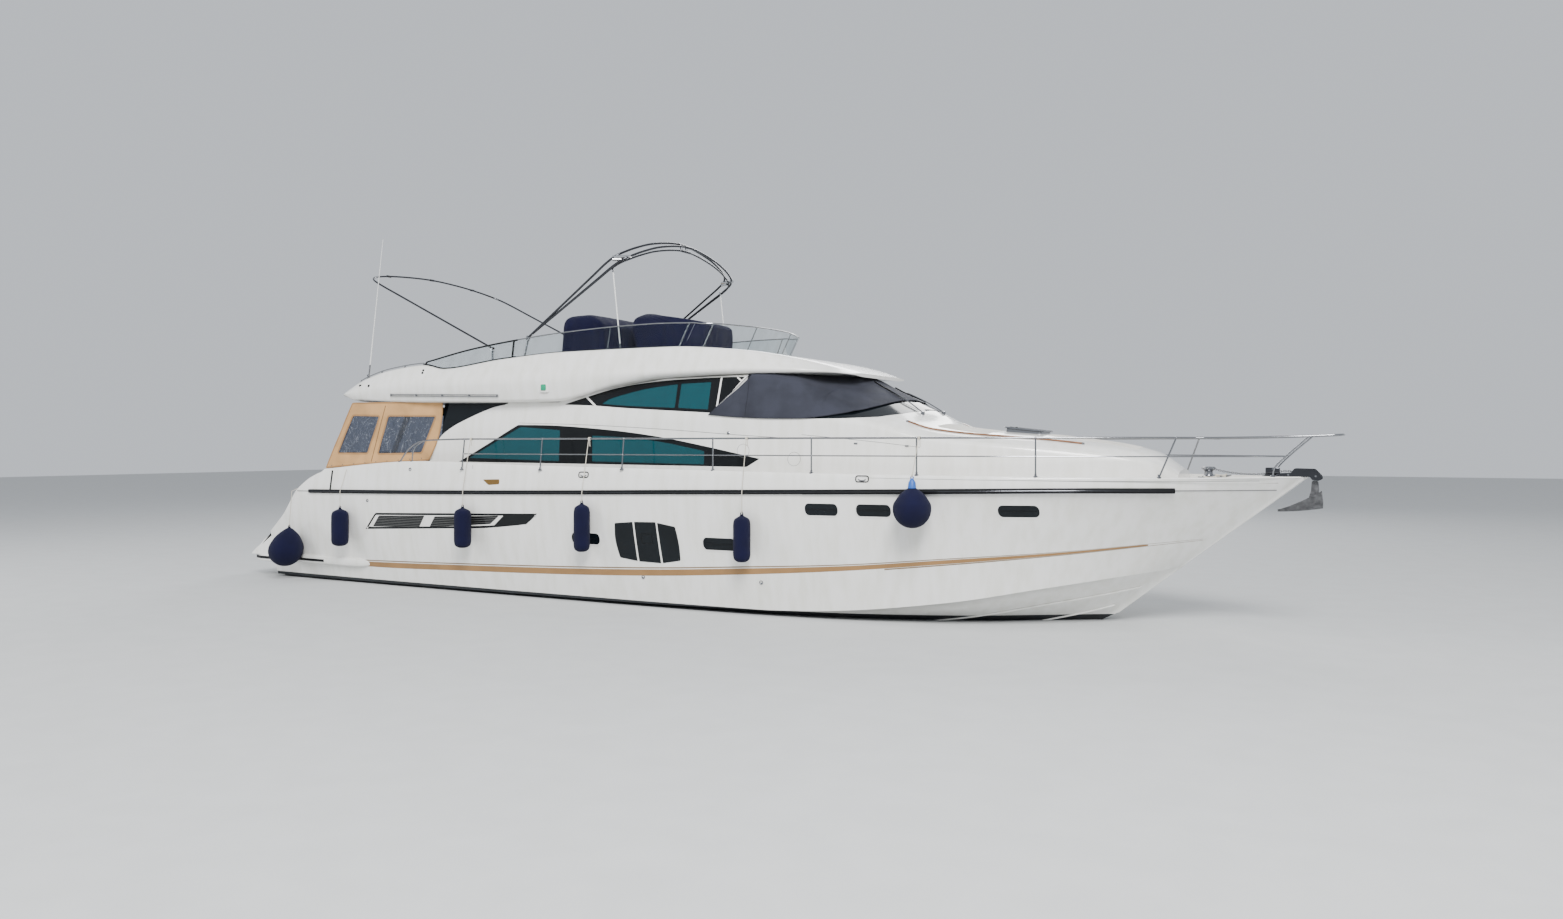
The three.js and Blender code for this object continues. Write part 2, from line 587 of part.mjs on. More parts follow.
function flyWell(foreX, aftX, floorZ) {
  const inside = FLY_SECTIONS.filter((s) => s.x > aftX && s.x < foreX);
  const edge = inside.map((s) => [s.x, s.topY - FLY_FLOOR.coaming]);
  edge.unshift([aftX, edge[0][1] - 120]);
  edge.push([foreX, edge[edge.length - 1][1] - 120]);
  const port = edge.map(([x, y]) => [x, -y]).reverse();
  return planProfile([...edge, ...port], floorZ, 5000);
}

function flybridge() {
  const body = cut(flyLoft(), belowRoofLine(0));
  return cut(body, flyWell(FLY_FLOOR.foreX, FLY_FLOOR.aftX, FLY_FLOOR.helmZ),
    flyWell(FLY_FLOOR.stepX, FLY_FLOOR.aftX, FLY_FLOOR.aftZ));
}
const flyMoulding = flybridge();

// Screens on the coaming. Columns: x, half-breadth, height of the top edge and how far it stands forward
const SCREEN_LINE = [
  { x: -5000, y: 2080, topZ: 4230, rake: 0 },
  { x: -3900, y: 2055, topZ: 4430, rake: 0 },
  { x: -2850, y: 2015, topZ: 4560, rake: 10 },
  { x: -1650, y: 1955, topZ: 4665, rake: 20 },
  { x: -600, y: 1895, topZ: 4715, rake: 40 },
  { x: 150, y: 1840, topZ: 4730, rake: 110 },
  { x: 700, y: 1720, topZ: 4720, rake: 200 },
];
const SCREEN_FRONT = [[710, 1710], [980, 1560], [1190, 1050], [1340, 500], [1380, 0]];
const SCREEN_T = 14;
const SCREEN_LEAN = 40; // the side screens' tops lean inboard
const SCREEN_FOOT_Z = 3980; // inside the coaming, which cuts the screens' feet
const FRONT_SCREEN = { rake: 210, topZ: 4700 };

function sideScreen() {
  const sections = SCREEN_LINE.map(({ x, y, topZ, rake }) => [
    [x, y, SCREEN_FOOT_Z], [x, y + SCREEN_T, SCREEN_FOOT_Z],
    [x + rake, y - SCREEN_LEAN + SCREEN_T, topZ], [x + rake, y - SCREEN_LEAN, topZ],
  ]);
  return cut(stripLoft(sections), flyMoulding.translate([0, 0, SEAT_GAP]));
}

function frontScreen() {
  const line = [...SCREEN_FRONT, ...SCREEN_FRONT.slice(0, -1).reverse().map(([x, y]) => [x, -y])];
  const { rake, topZ } = FRONT_SCREEN;
  const sections = line.map(([x, y]) => [
    [x, y, SCREEN_FOOT_Z], [x + SCREEN_T, y, SCREEN_FOOT_Z],
    [x + rake + SCREEN_T, y, topZ], [x + rake, y, topZ],
  ]);
  return cut(stripLoft(sections), flyMoulding.translate([0, 0, SEAT_GAP]));
}
const screen = sideScreen();
for (const side of SIDES) add(`fly_screen_${side.name}`, forSide(screen, side), FINISH.acrylic);
add("fly_screen_front", frontScreen(), FINISH.acrylic);

// Covered helm console and seats on the flying bridge
function flyConsole() {
  const floor = FLY_FLOOR.helmZ + SEAT_GAP;
  const top = [[-480, 4600], [-300, 5080], [-60, 5060], [350, 4760], [700, 4620]];
  return sideProfile([[-480, floor], ...top, [840, floor]], -650, 450);
}

function flySeat() {
  const floor = FLY_FLOOR.aftZ + SEAT_GAP;
  const top = [[-2800, 4960], [-2620, 5040], [-1900, 5040], [-1700, 4900], [-1600, 4500]];
  return sideProfile([[-2800, floor], ...top, [-1600, floor]], -1100, 900);
}
add("fly_console", flyConsole(), FINISH.navyFabric);
add("fly_seat", flySeat(), FINISH.navyFabric);

// Bimini frame without its cloth: two bows that fold aft, and two struts
const BIMINI = { tube: 17, halfY: 1880, boss: 26 };
const FORE_BOW = { pinX: -2620, pinZ: 4620, footX: -2790, endX: -330, endZ: 6010, crownZ: 6370 };
const AFT_BOW = { pinX: -3500, pinZ: 4450, footX: -3480, endX: -6960, endZ: 6080, crownZ: 6200 };
// legBow: how far the smoothed leg stands out from its straight line at the strut's pin
const STRUT = { y: 1820, radius: 12, topX: -750, footX: -580, boss: 14, legBow: 4.8 };

// A hoop in the plane that leans from its pins to the crown, the same on both sides
function hoop({ pinX, pinZ, endX, endZ, crownZ }) {
  const { halfY, tube: radius } = BIMINI;
  const rise = crownZ - endZ;
  const at = (part, y, lift = 0) => [pinX + (endX - pinX) * part, y, pinZ + (endZ - pinZ) * part + lift];
  const half = [
    at(0, halfY), at(0.35, halfY), at(0.7, halfY), at(0.92, halfY),
    at(0.985, halfY - 70, rise * 0.2), at(1, halfY - 260, rise * 0.45), at(1, halfY - 900, rise * 0.8),
  ];
  const port = half.map(([x, y, z]) => [x, -y, z]).reverse();
  return tube([...half, at(1, 0, rise), ...port], radius, 40, TUBE_SIDES);
}

function pinRod(x, z, y, halfLength, radius) {
  return rod([x, y - halfLength, z], [x, y + halfLength, z], radius, PIN_SIDES);
}

function bowBosses({ pinX, pinZ }) {
  return SIDES.map((side) => pinRod(pinX, pinZ, side.sign * BIMINI.halfY, 24, BIMINI.boss));
}

// The posts that carry a bow's pins on the coaming
function bowFeet({ pinX, pinZ, footX }) {
  const y = BIMINI.halfY;
  const post = rod([footX, y, 4000], [pinX, y, pinZ], 20);
  const clear = pinRod(pinX, pinZ, y, 60, boreRadius(BIMINI.boss, PIN_SIDES));
  return cut(post, clear);
}

function legZ(x) {
  const { pinX, pinZ, endX, endZ } = FORE_BOW;
  return pinZ + ((x - pinX) * (endZ - pinZ)) / (endX - pinX);
}

function strut() {
  const { y, radius, topX, footX, boss, legBow } = STRUT;
  const top = [topX, y, legZ(topX)];
  const foot = [footX, y, coamingTop(footX) + RUN_GAP + 4];
  const legSide = BIMINI.halfY + legBow - BIMINI.tube * Math.cos(Math.PI / TUBE_SIDES) - PIN_GAP;
  const pivot = rod([topX, y - boss, legZ(topX)], [topX, legSide, legZ(topX)], boss, 12);
  return join(rod(foot, top, radius), pivot);
}

function coamingTop(x) {
  const index = FLY_SECTIONS.findIndex((s) => s.x > x) - 1;
  const [here, next] = FLY_SECTIONS.slice(index, index + 2);
  return THREE.MathUtils.lerp(here.topZ, next.topZ, (x - here.x) / (next.x - here.x));
}

const feet = [FORE_BOW, AFT_BOW].map(bowFeet).flatMap((foot) => [foot, mirrored(foot)]);
add("flybridge", join(flyMoulding, ...feet), FINISH.gelcoat);

const secondBow = { ...FORE_BOW, endX: -560, endZ: 6060, crownZ: 6400 };
add("bimini_forward_bows", join(hoop(FORE_BOW), hoop(secondBow), ...bowBosses(FORE_BOW)), FINISH.stainless);
add("bimini_aft_bow", join(hoop(AFT_BOW), ...bowBosses(AFT_BOW)), FINISH.stainless);
for (const side of SIDES) add(`bimini_strut_${side.name}`, forSide(strut(), side), FINISH.stainless);

// Canvas round the cockpit, with clear windows in it
const CANOPY_T = 10;
const CANOPY_Y = 2100;
const CANOPY_SIDE = [
  [-6700, 3600], [-4620, 3600], [-4600, 3200], [-4700, 2760], [-4980, 2260], [-6450, 2150],
  [-7440, 2065], [-7440, 2320],
];

function canopySide() {
  const panel = sideProfile(CANOPY_SIDE, CANOPY_Y, CANOPY_Y + CANOPY_T);
  return cut(panel, aboveRoofLine(-SEAT_GAP), hull.translate([0, 0, SEAT_GAP]));
}

function canopyAft() {
  const front = [[-7440, 2065], [-7440, 2320], [-6700, 3560]];
  const profile = [...front, ...front.map(([x, z]) => [x + CANOPY_T + 2, z]).reverse()];
  const edge = CANOPY_Y - SEAT_GAP;
  return cut(sideProfile(profile, -edge, edge), aboveRoofLine(-SEAT_GAP), hull.translate([0, 0, SEAT_GAP]));
}
for (const side of SIDES) add(`canopy_${side.name}`, forSide(canopySide(), side), FINISH.tanFabric);
add("canopy_aft", canopyAft(), FINISH.tanFabric);

// Guard rails. The posts stand on the bulwark's cap and lean with its line.
const POSTS = [
  { topX: -3600, footX: -3600 },
  { topX: -1760, footX: -1760 },
  { topX: 0, footX: 0 },
  { topX: 1750, footX: 1750 },
  { topX: 3500, footX: 3500 },
  { topX: 5170, footX: 5170 },
  { topX: 6850, footX: 6850 },
  { topX: 8660, footX: 8440 },
];
const RAIL_R = 15;
const POST_R = 13;
const RAIL_JOINT_X = 8900; // where the rails meet the pulpit
const RAIL_INSET = 40;

function railPoint(x, z) {
  const sheer = atX(SHEER, x);
  return [x, sheer.y - RAIL_INSET, z];
}

function guardRail() {
  const top = [railPoint(-4640, atX(SHEER, -4640).z - 20), railPoint(-4350, 2560)];
  top.push([-4080, 2490, 2700], railPoint(-3700, RAIL_Z - 20));
  for (let x = -2000; x <= 8000; x += 2000) top.push(railPoint(x, RAIL_Z));
  top.push(railPoint(RAIL_JOINT_X + 60, RAIL_Z));
  const middleX = [...POSTS.map(({ footX }) => footX).filter((x) => x < 8000), 8000, RAIL_JOINT_X + 60];
  const middle = middleX.map((x) => railPoint(x, MID_RAIL_Z));
  const posts = POSTS.map(({ topX, footX }) => {
    const foot = railPoint(footX, atX(SHEER, footX).z - 20);
    return rod(foot, railPoint(topX, RAIL_Z), POST_R, TUBE_SIDES);
  });
  const ahead = box(RAIL_JOINT_X, RAIL_JOINT_X + 200, 0, 2500, DECK_Z, 3000);
  const bars = join(tube(top, RAIL_R, 24, TUBE_SIDES), tube(middle, POST_R - 2, 16, TUBE_SIDES), ...posts);
  return cut(bars, hull.translate([0, 0, SEAT_GAP]), ahead);
}
const rail = guardRail();
for (const side of SIDES) add(`guard_rail_${side.name}`, forSide(rail, side), FINISH.stainless);

// Pulpit, the rail's overhanging end round the bow
function pulpit() {
  const start = RAIL_JOINT_X - 60;
  const run = (z, endX, endY) => {
    const half = [railPoint(start, z), railPoint(9500, z), [10200, 400, z + 20]];
    half.push([endX - 60, endY + 20, z + 40]);
    const bow = [[endX, endY - 60, z + 45], [endX, 0, z + 45]];
    const other = [...half, bow[0]].reverse().map(([x, y, h]) => [x, -y, h]);
    return tube([...half, ...bow, ...other], RAIL_R, 30, TUBE_SIDES);
  };
  const leg = rod([9860, 300, 2150], [10340, 372, RAIL_Z + 22], POST_R, TUBE_SIDES);
  const legs = SIDES.map((side) => forSide(leg, side));
  const behind = box(start - 100, RAIL_JOINT_X + SEAT_GAP, -2500, 2500, DECK_Z, 3000);
  return cut(join(run(RAIL_Z, 10770, 300), ...legs), hull.translate([0, 0, SEAT_GAP]), behind);
}
add("pulpit", pulpit(), FINISH.stainless);

// Anchor gear on the foredeck and the stem
const tipZ = HULL_STATIONS[HULL_STATIONS.length - 1].sheer[2] + SEAT_GAP;
const ROLLER_DROP = 60;

function bowRoller() {
  const low = tipZ - ROLLER_DROP;
  const top = [[9700, tipZ], [9700, tipZ + 30], [10300, tipZ + 60], [10480, tipZ + 40], [10500, tipZ - 40]];
  return sideProfile([...top, [10450, low], [10360, low], [10330, tipZ]], -95, 95);
}

function anchor() {
  const topZ = tipZ - ROLLER_DROP - SEAT_GAP;
  const shank = [[10370, topZ], [10440, topZ], [10440, 1960], [10380, 1800], [10300, 1800], [10370, 1960]];
  const plough = [[9900, 1660], [10420, 1640], [10520, 1960], [10380, 1840], [9960, 1735]];
  return join(sideProfile(shank, -14, 14), sideProfile(plough, -130, 130));
}

function windlass() {
  const base = box(-190, 190, -130, 130, 0, 40);
  const drum = turned([[0, 30], [95, 30], [95, 90], [60, 130], [60, 160], [95, 190], [95, 230], [0, 230]]);
  return join(base, drum);
}
add("windlass", windlass(), FINISH.stainless, [8950, 0, DECK_Z + SEAT_GAP]);

add("bow_roller", bowRoller(), FINISH.stainless);
add("anchor", anchor(), FINISH.stainless);

// Foredeck hatch, its lid hinged at the forward edge
const FOREDECK_HATCH = { x: 6200, z: 2853, half: 320, tilt: 6, frameH: 22, lidT: 28 };

function hatchBox(half, z0, z1) {
  const { x, z, tilt } = FOREDECK_HATCH;
  return box(-half, half, -half, half, z0, z1).rotate([0, tilt, 0]).translate([x, 0, z]);
}
const { half: hatchHalf, frameH, lidT } = FOREDECK_HATCH;
add("deckhouse", join(deckhouseShell, hatchBox(hatchHalf - 30, -80, frameH)), FINISH.gelcoat);
add("foredeck_hatch", hatchBox(hatchHalf, frameH + SEAT_GAP, frameH + lidT), FINISH.acrylic);

// Gates at the head of the platform's steps, hinged on the coamings
const GATE = { x: -7600, hingeY: 1970, innerY: 1362, bottomZ: 1282, topZ: 2050, leaf: 36, barrel: 29.4 };

function transomGate() {
  const { innerY, hingeY, bottomZ, topZ, leaf, barrel } = GATE;
  const panel = box(-leaf / 2, leaf / 2, innerY - hingeY, 0, bottomZ, topZ);
  const pin = turned([[0, bottomZ + 60], [barrel, bottomZ + 60], [barrel, topZ - 60], [0, topZ - 60]], 24);
  return join(panel, pin);
}
for (const side of SIDES) {
  const place = [GATE.x, side.sign * GATE.hingeY, 0];
  add(`transom_gate_${side.name}`, forSide(transomGate(), side), FINISH.gelcoat, place);
}

// Bench across the cockpit's aft end
function cockpitSeat() {
  const z = COCKPIT.floorZ + SEAT_GAP;
  const x = COCKPIT.aftX + SEAT_GAP;
  const back = [[x, z], [x, z + 800], [x + 110, z + 800], [x + 170, z + 480]];
  return sideProfile([...back, [x + 600, z + 460], [x + 600, z + 400], [x + 540, z]], -1250, 1250);
}
add("cockpit_seat", cockpitSeat(), FINISH.vinyl);

// Running gear under the hull
const PROPELLER = { radius: 370, hub: 62, hubHalf: 95, blades: 4, pitch: 0.62 };

function propeller() {
  const { radius, hub, hubHalf, blades, pitch } = PROPELLER;
  const axisX = (profile) => turned(profile, 16).rotate([0, 90, 0]);
  const nose = [[0, -hubHalf - 60], [24, -hubHalf - 50], [hub - 12, -hubHalf]];
  const body = axisX([...nose, [hub, hubHalf], [0, hubHalf]]);
  const parts = [];
  for (let i = 0; i < blades; i += 1) {
    const shape = new THREE.Shape();
    shape.moveTo(-60, hub - 25);
    shape.quadraticCurveTo(-150, radius * 0.62, -70, radius * 0.95);
    shape.quadraticCurveTo(20, radius * 1.02, 110, radius * 0.86);
    shape.quadraticCurveTo(160, radius * 0.55, 60, hub - 25);
    const geometry = new THREE.ExtrudeGeometry(shape, { depth: 14, bevelEnabled: false, curveSegments: 3 });
    geometry.translate(0, 0, -7).rotateX(Math.PI / 2).rotateZ(pitch).rotateX((2 * Math.PI * i) / blades);
    parts.push(solid(geometry));
  }
  return join(body, ...parts);
}

function shaftBody() {
  const start = shaftPoint(SHAFT.propX + (PROPELLER.hubHalf + SEAT_GAP) * Math.cos(shaftAngle));
  return rod(start, shaftPoint(SHAFT.boreX - 60), SHAFT.radius, 16);
}

function shaftBracket() {
  const x = SHAFT.propX + 330;
  const half = 95;
  const boss = rod(shaftPoint(x - half), shaftPoint(x + half), 60, 16);
  const bore = rod(shaftPoint(x - 2 * half), shaftPoint(x + 2 * half), boreRadius(SHAFT.radius, 20), 20);
  const z = shaftPoint(x)[2];
  const foil = [[x - 70, 0], [x - 20, 15], [x + 50, 13], [x + 70, 0], [x + 50, -13], [x - 20, -15]];
  const leg = planProfile(foil.map(([a, b]) => [a, b + SHAFT.y]), z, -200);
  return cut(join(leg, boss), bore, hull.translate([0, 0, -SEAT_GAP]));
}

function rudder() {
  const { stock, topZ, bladeZ, bottomZ } = RUDDER;
  const plan = [[150, 0], [90, 26], [-60, 30], [-330, 6], [-330, -6], [-60, -30], [90, -26]];
  const blade = planProfile(plan, bottomZ, bladeZ);
  const [foot, head] = [bladeZ - 5, topZ - PIN_GAP];
  const pin = turned([[0, foot], [stock, foot], [stock, head], [0, head]]);
  return join(blade, pin);
}
for (const side of SIDES) {
  const y = side.sign * SHAFT.y;
  const place = [SHAFT.propX, y, SHAFT.propZ];
  add(`propeller_${side.name}`, propeller(), FINISH.bronze, place, [0, -shaftAngle, 0]);
  add(`shaft_${side.name}`, forSide(shaftBody(), side), FINISH.stainless);
  add(`shaft_bracket_${side.name}`, forSide(shaftBracket(), side), FINISH.antifouling);
  add(`rudder_${side.name}`, rudder(), FINISH.antifouling, [RUDDER.x, side.sign * RUDDER.y, 0]);
}

// Trim tabs on the transom's lower edge
const TAB = { y: 1350, z: -245, halfWidth: 400, length: 430, barrel: 20, tilt: 0.257 };

function trimTab() {
  const { halfWidth, length, barrel } = TAB;
  const plate = box(-length, 0, -halfWidth, halfWidth, -6, 6);
  return join(plate, rod([0, -halfWidth, 0], [0, halfWidth, 0], barrel, 12));
}
for (const side of SIDES) {
  const place = [-9150 - TAB.barrel - PIN_GAP, side.sign * TAB.y, TAB.z];
  add(`trim_tab_${side.name}`, trimTab(), FINISH.stainless, place, [side.sign * TAB.tilt, 0, 0]);
}

// Fenders on taut lines along the starboard side. Columns: x, top and bottom of the body, its radius,
// and the height that its line is made fast at
const FENDERS = [
  { name: "fender_quarter", x: -6680, topZ: 1390, bottomZ: 660, radius: 165, tieZ: 2150 },
  { name: "fender_aft", x: -3430, topZ: 1500, bottomZ: 770, radius: 155, tieZ: RAIL_Z },
  { name: "fender_midships", x: -720, topZ: 1640, bottomZ: 820, radius: 140, tieZ: RAIL_Z },
  { name: "fender_forward", x: 2380, topZ: 1530, bottomZ: 790, radius: 140, tieZ: RAIL_Z },
];
const BALLS = [
  { name: "ball_fender_stern", x: -8350, topZ: 980, bottomZ: 250, radius: 330, tieZ: 1760 },
  { name: "ball_fender_bow", x: 5210, topZ: 2120, bottomZ: 1420, radius: 285, tieZ: RAIL_Z },
];
const ROPE_R = 7;

// Slides a body inboard from the starboard side until it rests against the others
function restAgainst(body, others) {
  let resting = body;
  for (let i = 0; i < 14; i += 1) {
    const gap = Math.min(...others.map((other) => resting.minGap(other, 3000)));
    resting = resting.translate([0, gap - SEAT_GAP, 0]);
  }
  return resting;
}

function cylinderFender({ topZ, bottomZ, radius }) {
  const round = 60;
  const r = radius;
  return [
    [0, bottomZ], [r * 0.45, bottomZ], [r * 0.85, bottomZ + round * 0.6], [r, bottomZ + round * 1.6],
    [r, topZ - round * 2], [r * 0.85, topZ - round], [r * 0.35, topZ - round * 0.3], [ROPE_R * 3, topZ],
    [0, topZ],
  ];
}

function ballFender({ topZ, bottomZ, radius }) {
  const profile = [[0, bottomZ]];
  const centre = bottomZ + radius;
  for (let i = 1; i <= 6; i += 1) {
    const angle = -Math.PI / 2 + (i * Math.PI) / 9;
    profile.push([radius * Math.cos(angle), centre + radius * Math.sin(angle)]);
  }
  profile.push([radius * 0.42, centre + radius * 0.98], [ROPE_R * 3, topZ], [0, topZ]);
  return profile;
}

function hung(row, profile) {
  const start = -3600;
  const body = restAgainst(turned(profile, 16).translate([row.x, start, 0]), [hull, mirrored(rubStrip)]);
  const bounds = body.boundingBox();
  const y = (bounds.min[1] + bounds.max[1]) / 2;
  const rub = atX(RUB, row.x);
  const outY = -(rub.y + RUB_RAIL.depth + ROPE_R + 6);
  const sheer = atX(SHEER, row.x);
  const up = (row.tieZ - rub.z) / (sheer.z - rub.z);
  const sideY = THREE.MathUtils.lerp(rub.y, sheer.y, Math.min(Math.max(up, 0), 1));
  const onRail = sheer.y - RAIL_INSET + RAIL_R + ROPE_R + 2;
  const tieY = row.tieZ === RAIL_Z ? -onRail : -(sideY + ROPE_R + 12);
  const points = [[row.x, y, row.topZ - 10]];
  if (row.topZ < rub.z) points.push([row.x, Math.min(outY, y), rub.z]);
  points.push([row.x, tieY, row.tieZ]);
  const line = points.slice(1).map((point, i) => rod(points[i], point, ROPE_R, 6));
  return join(body, ...line);
}
for (const row of FENDERS) add(row.name, hung(row, cylinderFender(row)), FINISH.navyFabric);
for (const row of BALLS) add(row.name, hung(row, ballFender(row)), FINISH.navyFabric);

// Whip aerial on the starboard coaming
const WHIP = { foot: [-6640, -2010, 3850], tip: [-6240, -2010, 6700], radius: 14 };
const whip = cut(rod(WHIP.foot, WHIP.tip, WHIP.radius), flyMoulding.translate([0, 0, SEAT_GAP]));
add("whip_aerial", whip, FINISH.gelcoat);

export default yacht;
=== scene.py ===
import math

import bmesh
import bpy
from mathutils import Matrix, Vector, noise
from mathutils.bvhtree import BVHTree


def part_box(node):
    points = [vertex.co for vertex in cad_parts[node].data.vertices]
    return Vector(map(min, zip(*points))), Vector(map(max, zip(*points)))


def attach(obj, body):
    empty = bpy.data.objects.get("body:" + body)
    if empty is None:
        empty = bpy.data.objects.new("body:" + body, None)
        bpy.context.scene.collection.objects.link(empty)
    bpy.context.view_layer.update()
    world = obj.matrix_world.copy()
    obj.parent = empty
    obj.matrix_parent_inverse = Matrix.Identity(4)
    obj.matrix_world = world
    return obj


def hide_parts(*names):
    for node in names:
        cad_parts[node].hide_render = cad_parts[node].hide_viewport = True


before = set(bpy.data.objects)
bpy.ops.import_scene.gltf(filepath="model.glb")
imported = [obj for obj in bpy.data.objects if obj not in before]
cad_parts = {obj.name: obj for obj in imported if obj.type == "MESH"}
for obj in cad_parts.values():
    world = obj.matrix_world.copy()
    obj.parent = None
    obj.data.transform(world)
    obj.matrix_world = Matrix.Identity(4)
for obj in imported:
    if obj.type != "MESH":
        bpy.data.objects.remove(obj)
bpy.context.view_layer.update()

# The tables' heights start at the bottom paint's upper edge, this far above the water
LIFT = 0.1
SIDES = (("starboard", -1), ("port", 1))


# Camera at the photograph's place, level, with a small shift for its horizon
def make_camera():
    data = bpy.data.cameras.new("camera")
    data.sensor_width = 36
    data.lens = 26.0
    data.shift_y = -0.0099
    data.clip_end = 500
    cam = bpy.data.objects.new("camera", data)
    cam.location = (11.34, -17.98, 2.65 + LIFT)
    cam.rotation_euler = (math.radians(90), 0, math.radians(28.3))
    bpy.context.collection.objects.link(cam)
    bpy.context.scene.camera = cam


make_camera()


# Materials
def new_material(name):
    """A material with its nodes, its links and its shader."""
    made = bpy.data.materials.new(name)
    made.use_nodes = True
    nodes = made.node_tree.nodes
    return made, nodes, made.node_tree.links, nodes["Principled BSDF"]


def coordinates(nodes, links, scale=(1, 1, 1), turn=(0, 0, 0)):
    where = nodes.new("ShaderNodeTexCoord")
    mapping = nodes.new("ShaderNodeMapping")
    mapping.inputs["Scale"].default_value = scale
    mapping.inputs["Rotation"].default_value = turn
    links.new(where.outputs["Object"], mapping.inputs["Vector"])
    return mapping.outputs["Vector"]


def noise_node(nodes, links, vector, scale, detail=3.0):
    made = nodes.new("ShaderNodeTexNoise")
    made.inputs["Scale"].default_value = scale
    made.inputs["Detail"].default_value = detail
    links.new(vector, made.inputs["Vector"])
    return made.outputs["Fac"]


def blend_colors(nodes, links, factor, low, high, start=0.35, end=0.65):
    ramp = nodes.new("ShaderNodeValToRGB")
    ramp.color_ramp.elements[0].position = start
    ramp.color_ramp.elements[1].position = end
    ramp.color_ramp.elements[0].color = (*low, 1)
    ramp.color_ramp.elements[1].color = (*high, 1)
    links.new(factor, ramp.inputs["Fac"])
    return ramp.outputs["Color"]


def map_range(nodes, links, value, low, high):
    made = nodes.new("ShaderNodeMapRange")
    made.inputs["To Min"].default_value = low
    made.inputs["To Max"].default_value = high
    links.new(value, made.inputs["Value"])
    return made.outputs["Result"]


def add_bump(nodes, links, shader, height, strength, distance):
    bump = nodes.new("ShaderNodeBump")
    bump.inputs["Strength"].default_value = strength
    bump.inputs["Distance"].default_value = distance
    links.new(height, bump.inputs["Height"])
    links.new(bump.outputs["Normal"], shader.inputs["Normal"])


def plain(name, color, rough, metal=0.0, vary=0.06, scale=2.0, grain=60.0, bump=0.0, sockets=None):
    """A finish with soft changes of colour and gloss, and a fine grain."""
    made, nodes, links, shader = new_material(name)
    vector = coordinates(nodes, links)
    broad = noise_node(nodes, links, vector, scale)
    low = [c * (1 - vary) for c in color]
    high = [min(1, c * (1 + vary)) for c in color]
    links.new(blend_colors(nodes, links, broad, low, high), shader.inputs["Base Color"])
    fine = noise_node(nodes, links, vector, grain)
    links.new(map_range(nodes, links, fine, rough * 0.75, rough * 1.25), shader.inputs["Roughness"])
    shader.inputs["Metallic"].default_value = metal
    if bump:
        add_bump(nodes, links, shader, fine, bump, 0.002)
    for socket, value in (sockets or {}).items():
        shader.inputs[socket].default_value = value
    return made


def gelcoat(name, color, rough=0.16):
    """Polished moulding with faint streaks that run down and dull patches."""
    made, nodes, links, shader = new_material(name)
    streaks = noise_node(nodes, links, coordinates(nodes, links, (3.0, 3.0, 0.35)), 2.2, 5)
    low = [c * 0.9 for c in color]
    low[2] *= 0.96
    links.new(blend_colors(nodes, links, streaks, low, color, 0.3, 0.6), shader.inputs["Base Color"])
    dull = noise_node(nodes, links, coordinates(nodes, links), 1.4, 4)
    links.new(map_range(nodes, links, dull, rough * 0.7, rough * 1.6), shader.inputs["Roughness"])
    shader.inputs["Coat Weight"].default_value = 0.5
    shader.inputs["Coat Roughness"].default_value = 0.05
    return made


BAND_SCALE = 0.314  # the wave texture's scale at which its bands are 1 m apart


def woven(name, color, pitch, rough=0.85, depth=0.5, vary=0.12, sheen=0.3):
    """Cloth with a weave along and across, at its real pitch."""
    made, nodes, links, shader = new_material(name)
    vector = coordinates(nodes, links)
    waves = []
    for turn in ((0, 0, 0), (0, math.radians(90), 0)):
        wave = nodes.new("ShaderNodeTexWave")
        wave.wave_type = "BANDS"
        wave.inputs["Scale"].default_value = BAND_SCALE / pitch
        wave.inputs["Distortion"].default_value = 0.6
        mapping = nodes.new("ShaderNodeMapping")
        mapping.inputs["Rotation"].default_value = turn
        links.new(vector, mapping.inputs["Vector"])
        links.new(mapping.outputs["Vector"], wave.inputs["Vector"])
        waves.append(wave.outputs["Fac"])
    both = nodes.new("ShaderNodeMath")
    both.operation = "MULTIPLY"
    links.new(waves[0], both.inputs[0])
    links.new(waves[1], both.inputs[1])
    broad = noise_node(nodes, links, vector, 3.0, 4)
    low = [c * (1 - vary) for c in color]
    high = [min(1, c * (1 + vary)) for c in color]
    links.new(blend_colors(nodes, links, broad, low, high), shader.inputs["Base Color"])
    links.new(map_range(nodes, links, broad, rough * 0.9, min(1, rough * 1.1)),
              shader.inputs["Roughness"])
    shader.inputs["Sheen Weight"].default_value = sheen
    shader.inputs["Specular IOR Level"].default_value = 0.2
    add_bump(nodes, links, shader, both.outputs["Value"], depth, pitch * 0.5)
    return made


def glass(name, color, rough=0.02, transmission=1.0, smudge=0.03, bend=1.45):
    """Tinted or clear sheet with faint smears in its gloss."""
    made, nodes, links, shader = new_material(name)
    smear = noise_node(nodes, links, coordinates(nodes, links, (1, 1, 0.4)), 6.0, 4)
    links.new(map_range(nodes, links, smear, rough, rough + smudge), shader.inputs["Roughness"])
    low = [c * 0.92 for c in color]
    links.new(blend_colors(nodes, links, smear, low, color), shader.inputs["Base Color"])
    shader.inputs["Transmission Weight"].default_value = transmission
    shader.inputs["IOR"].default_value = bend
    return made


FOLD = 0.07  # half the change in the warped noise from one crease to the next


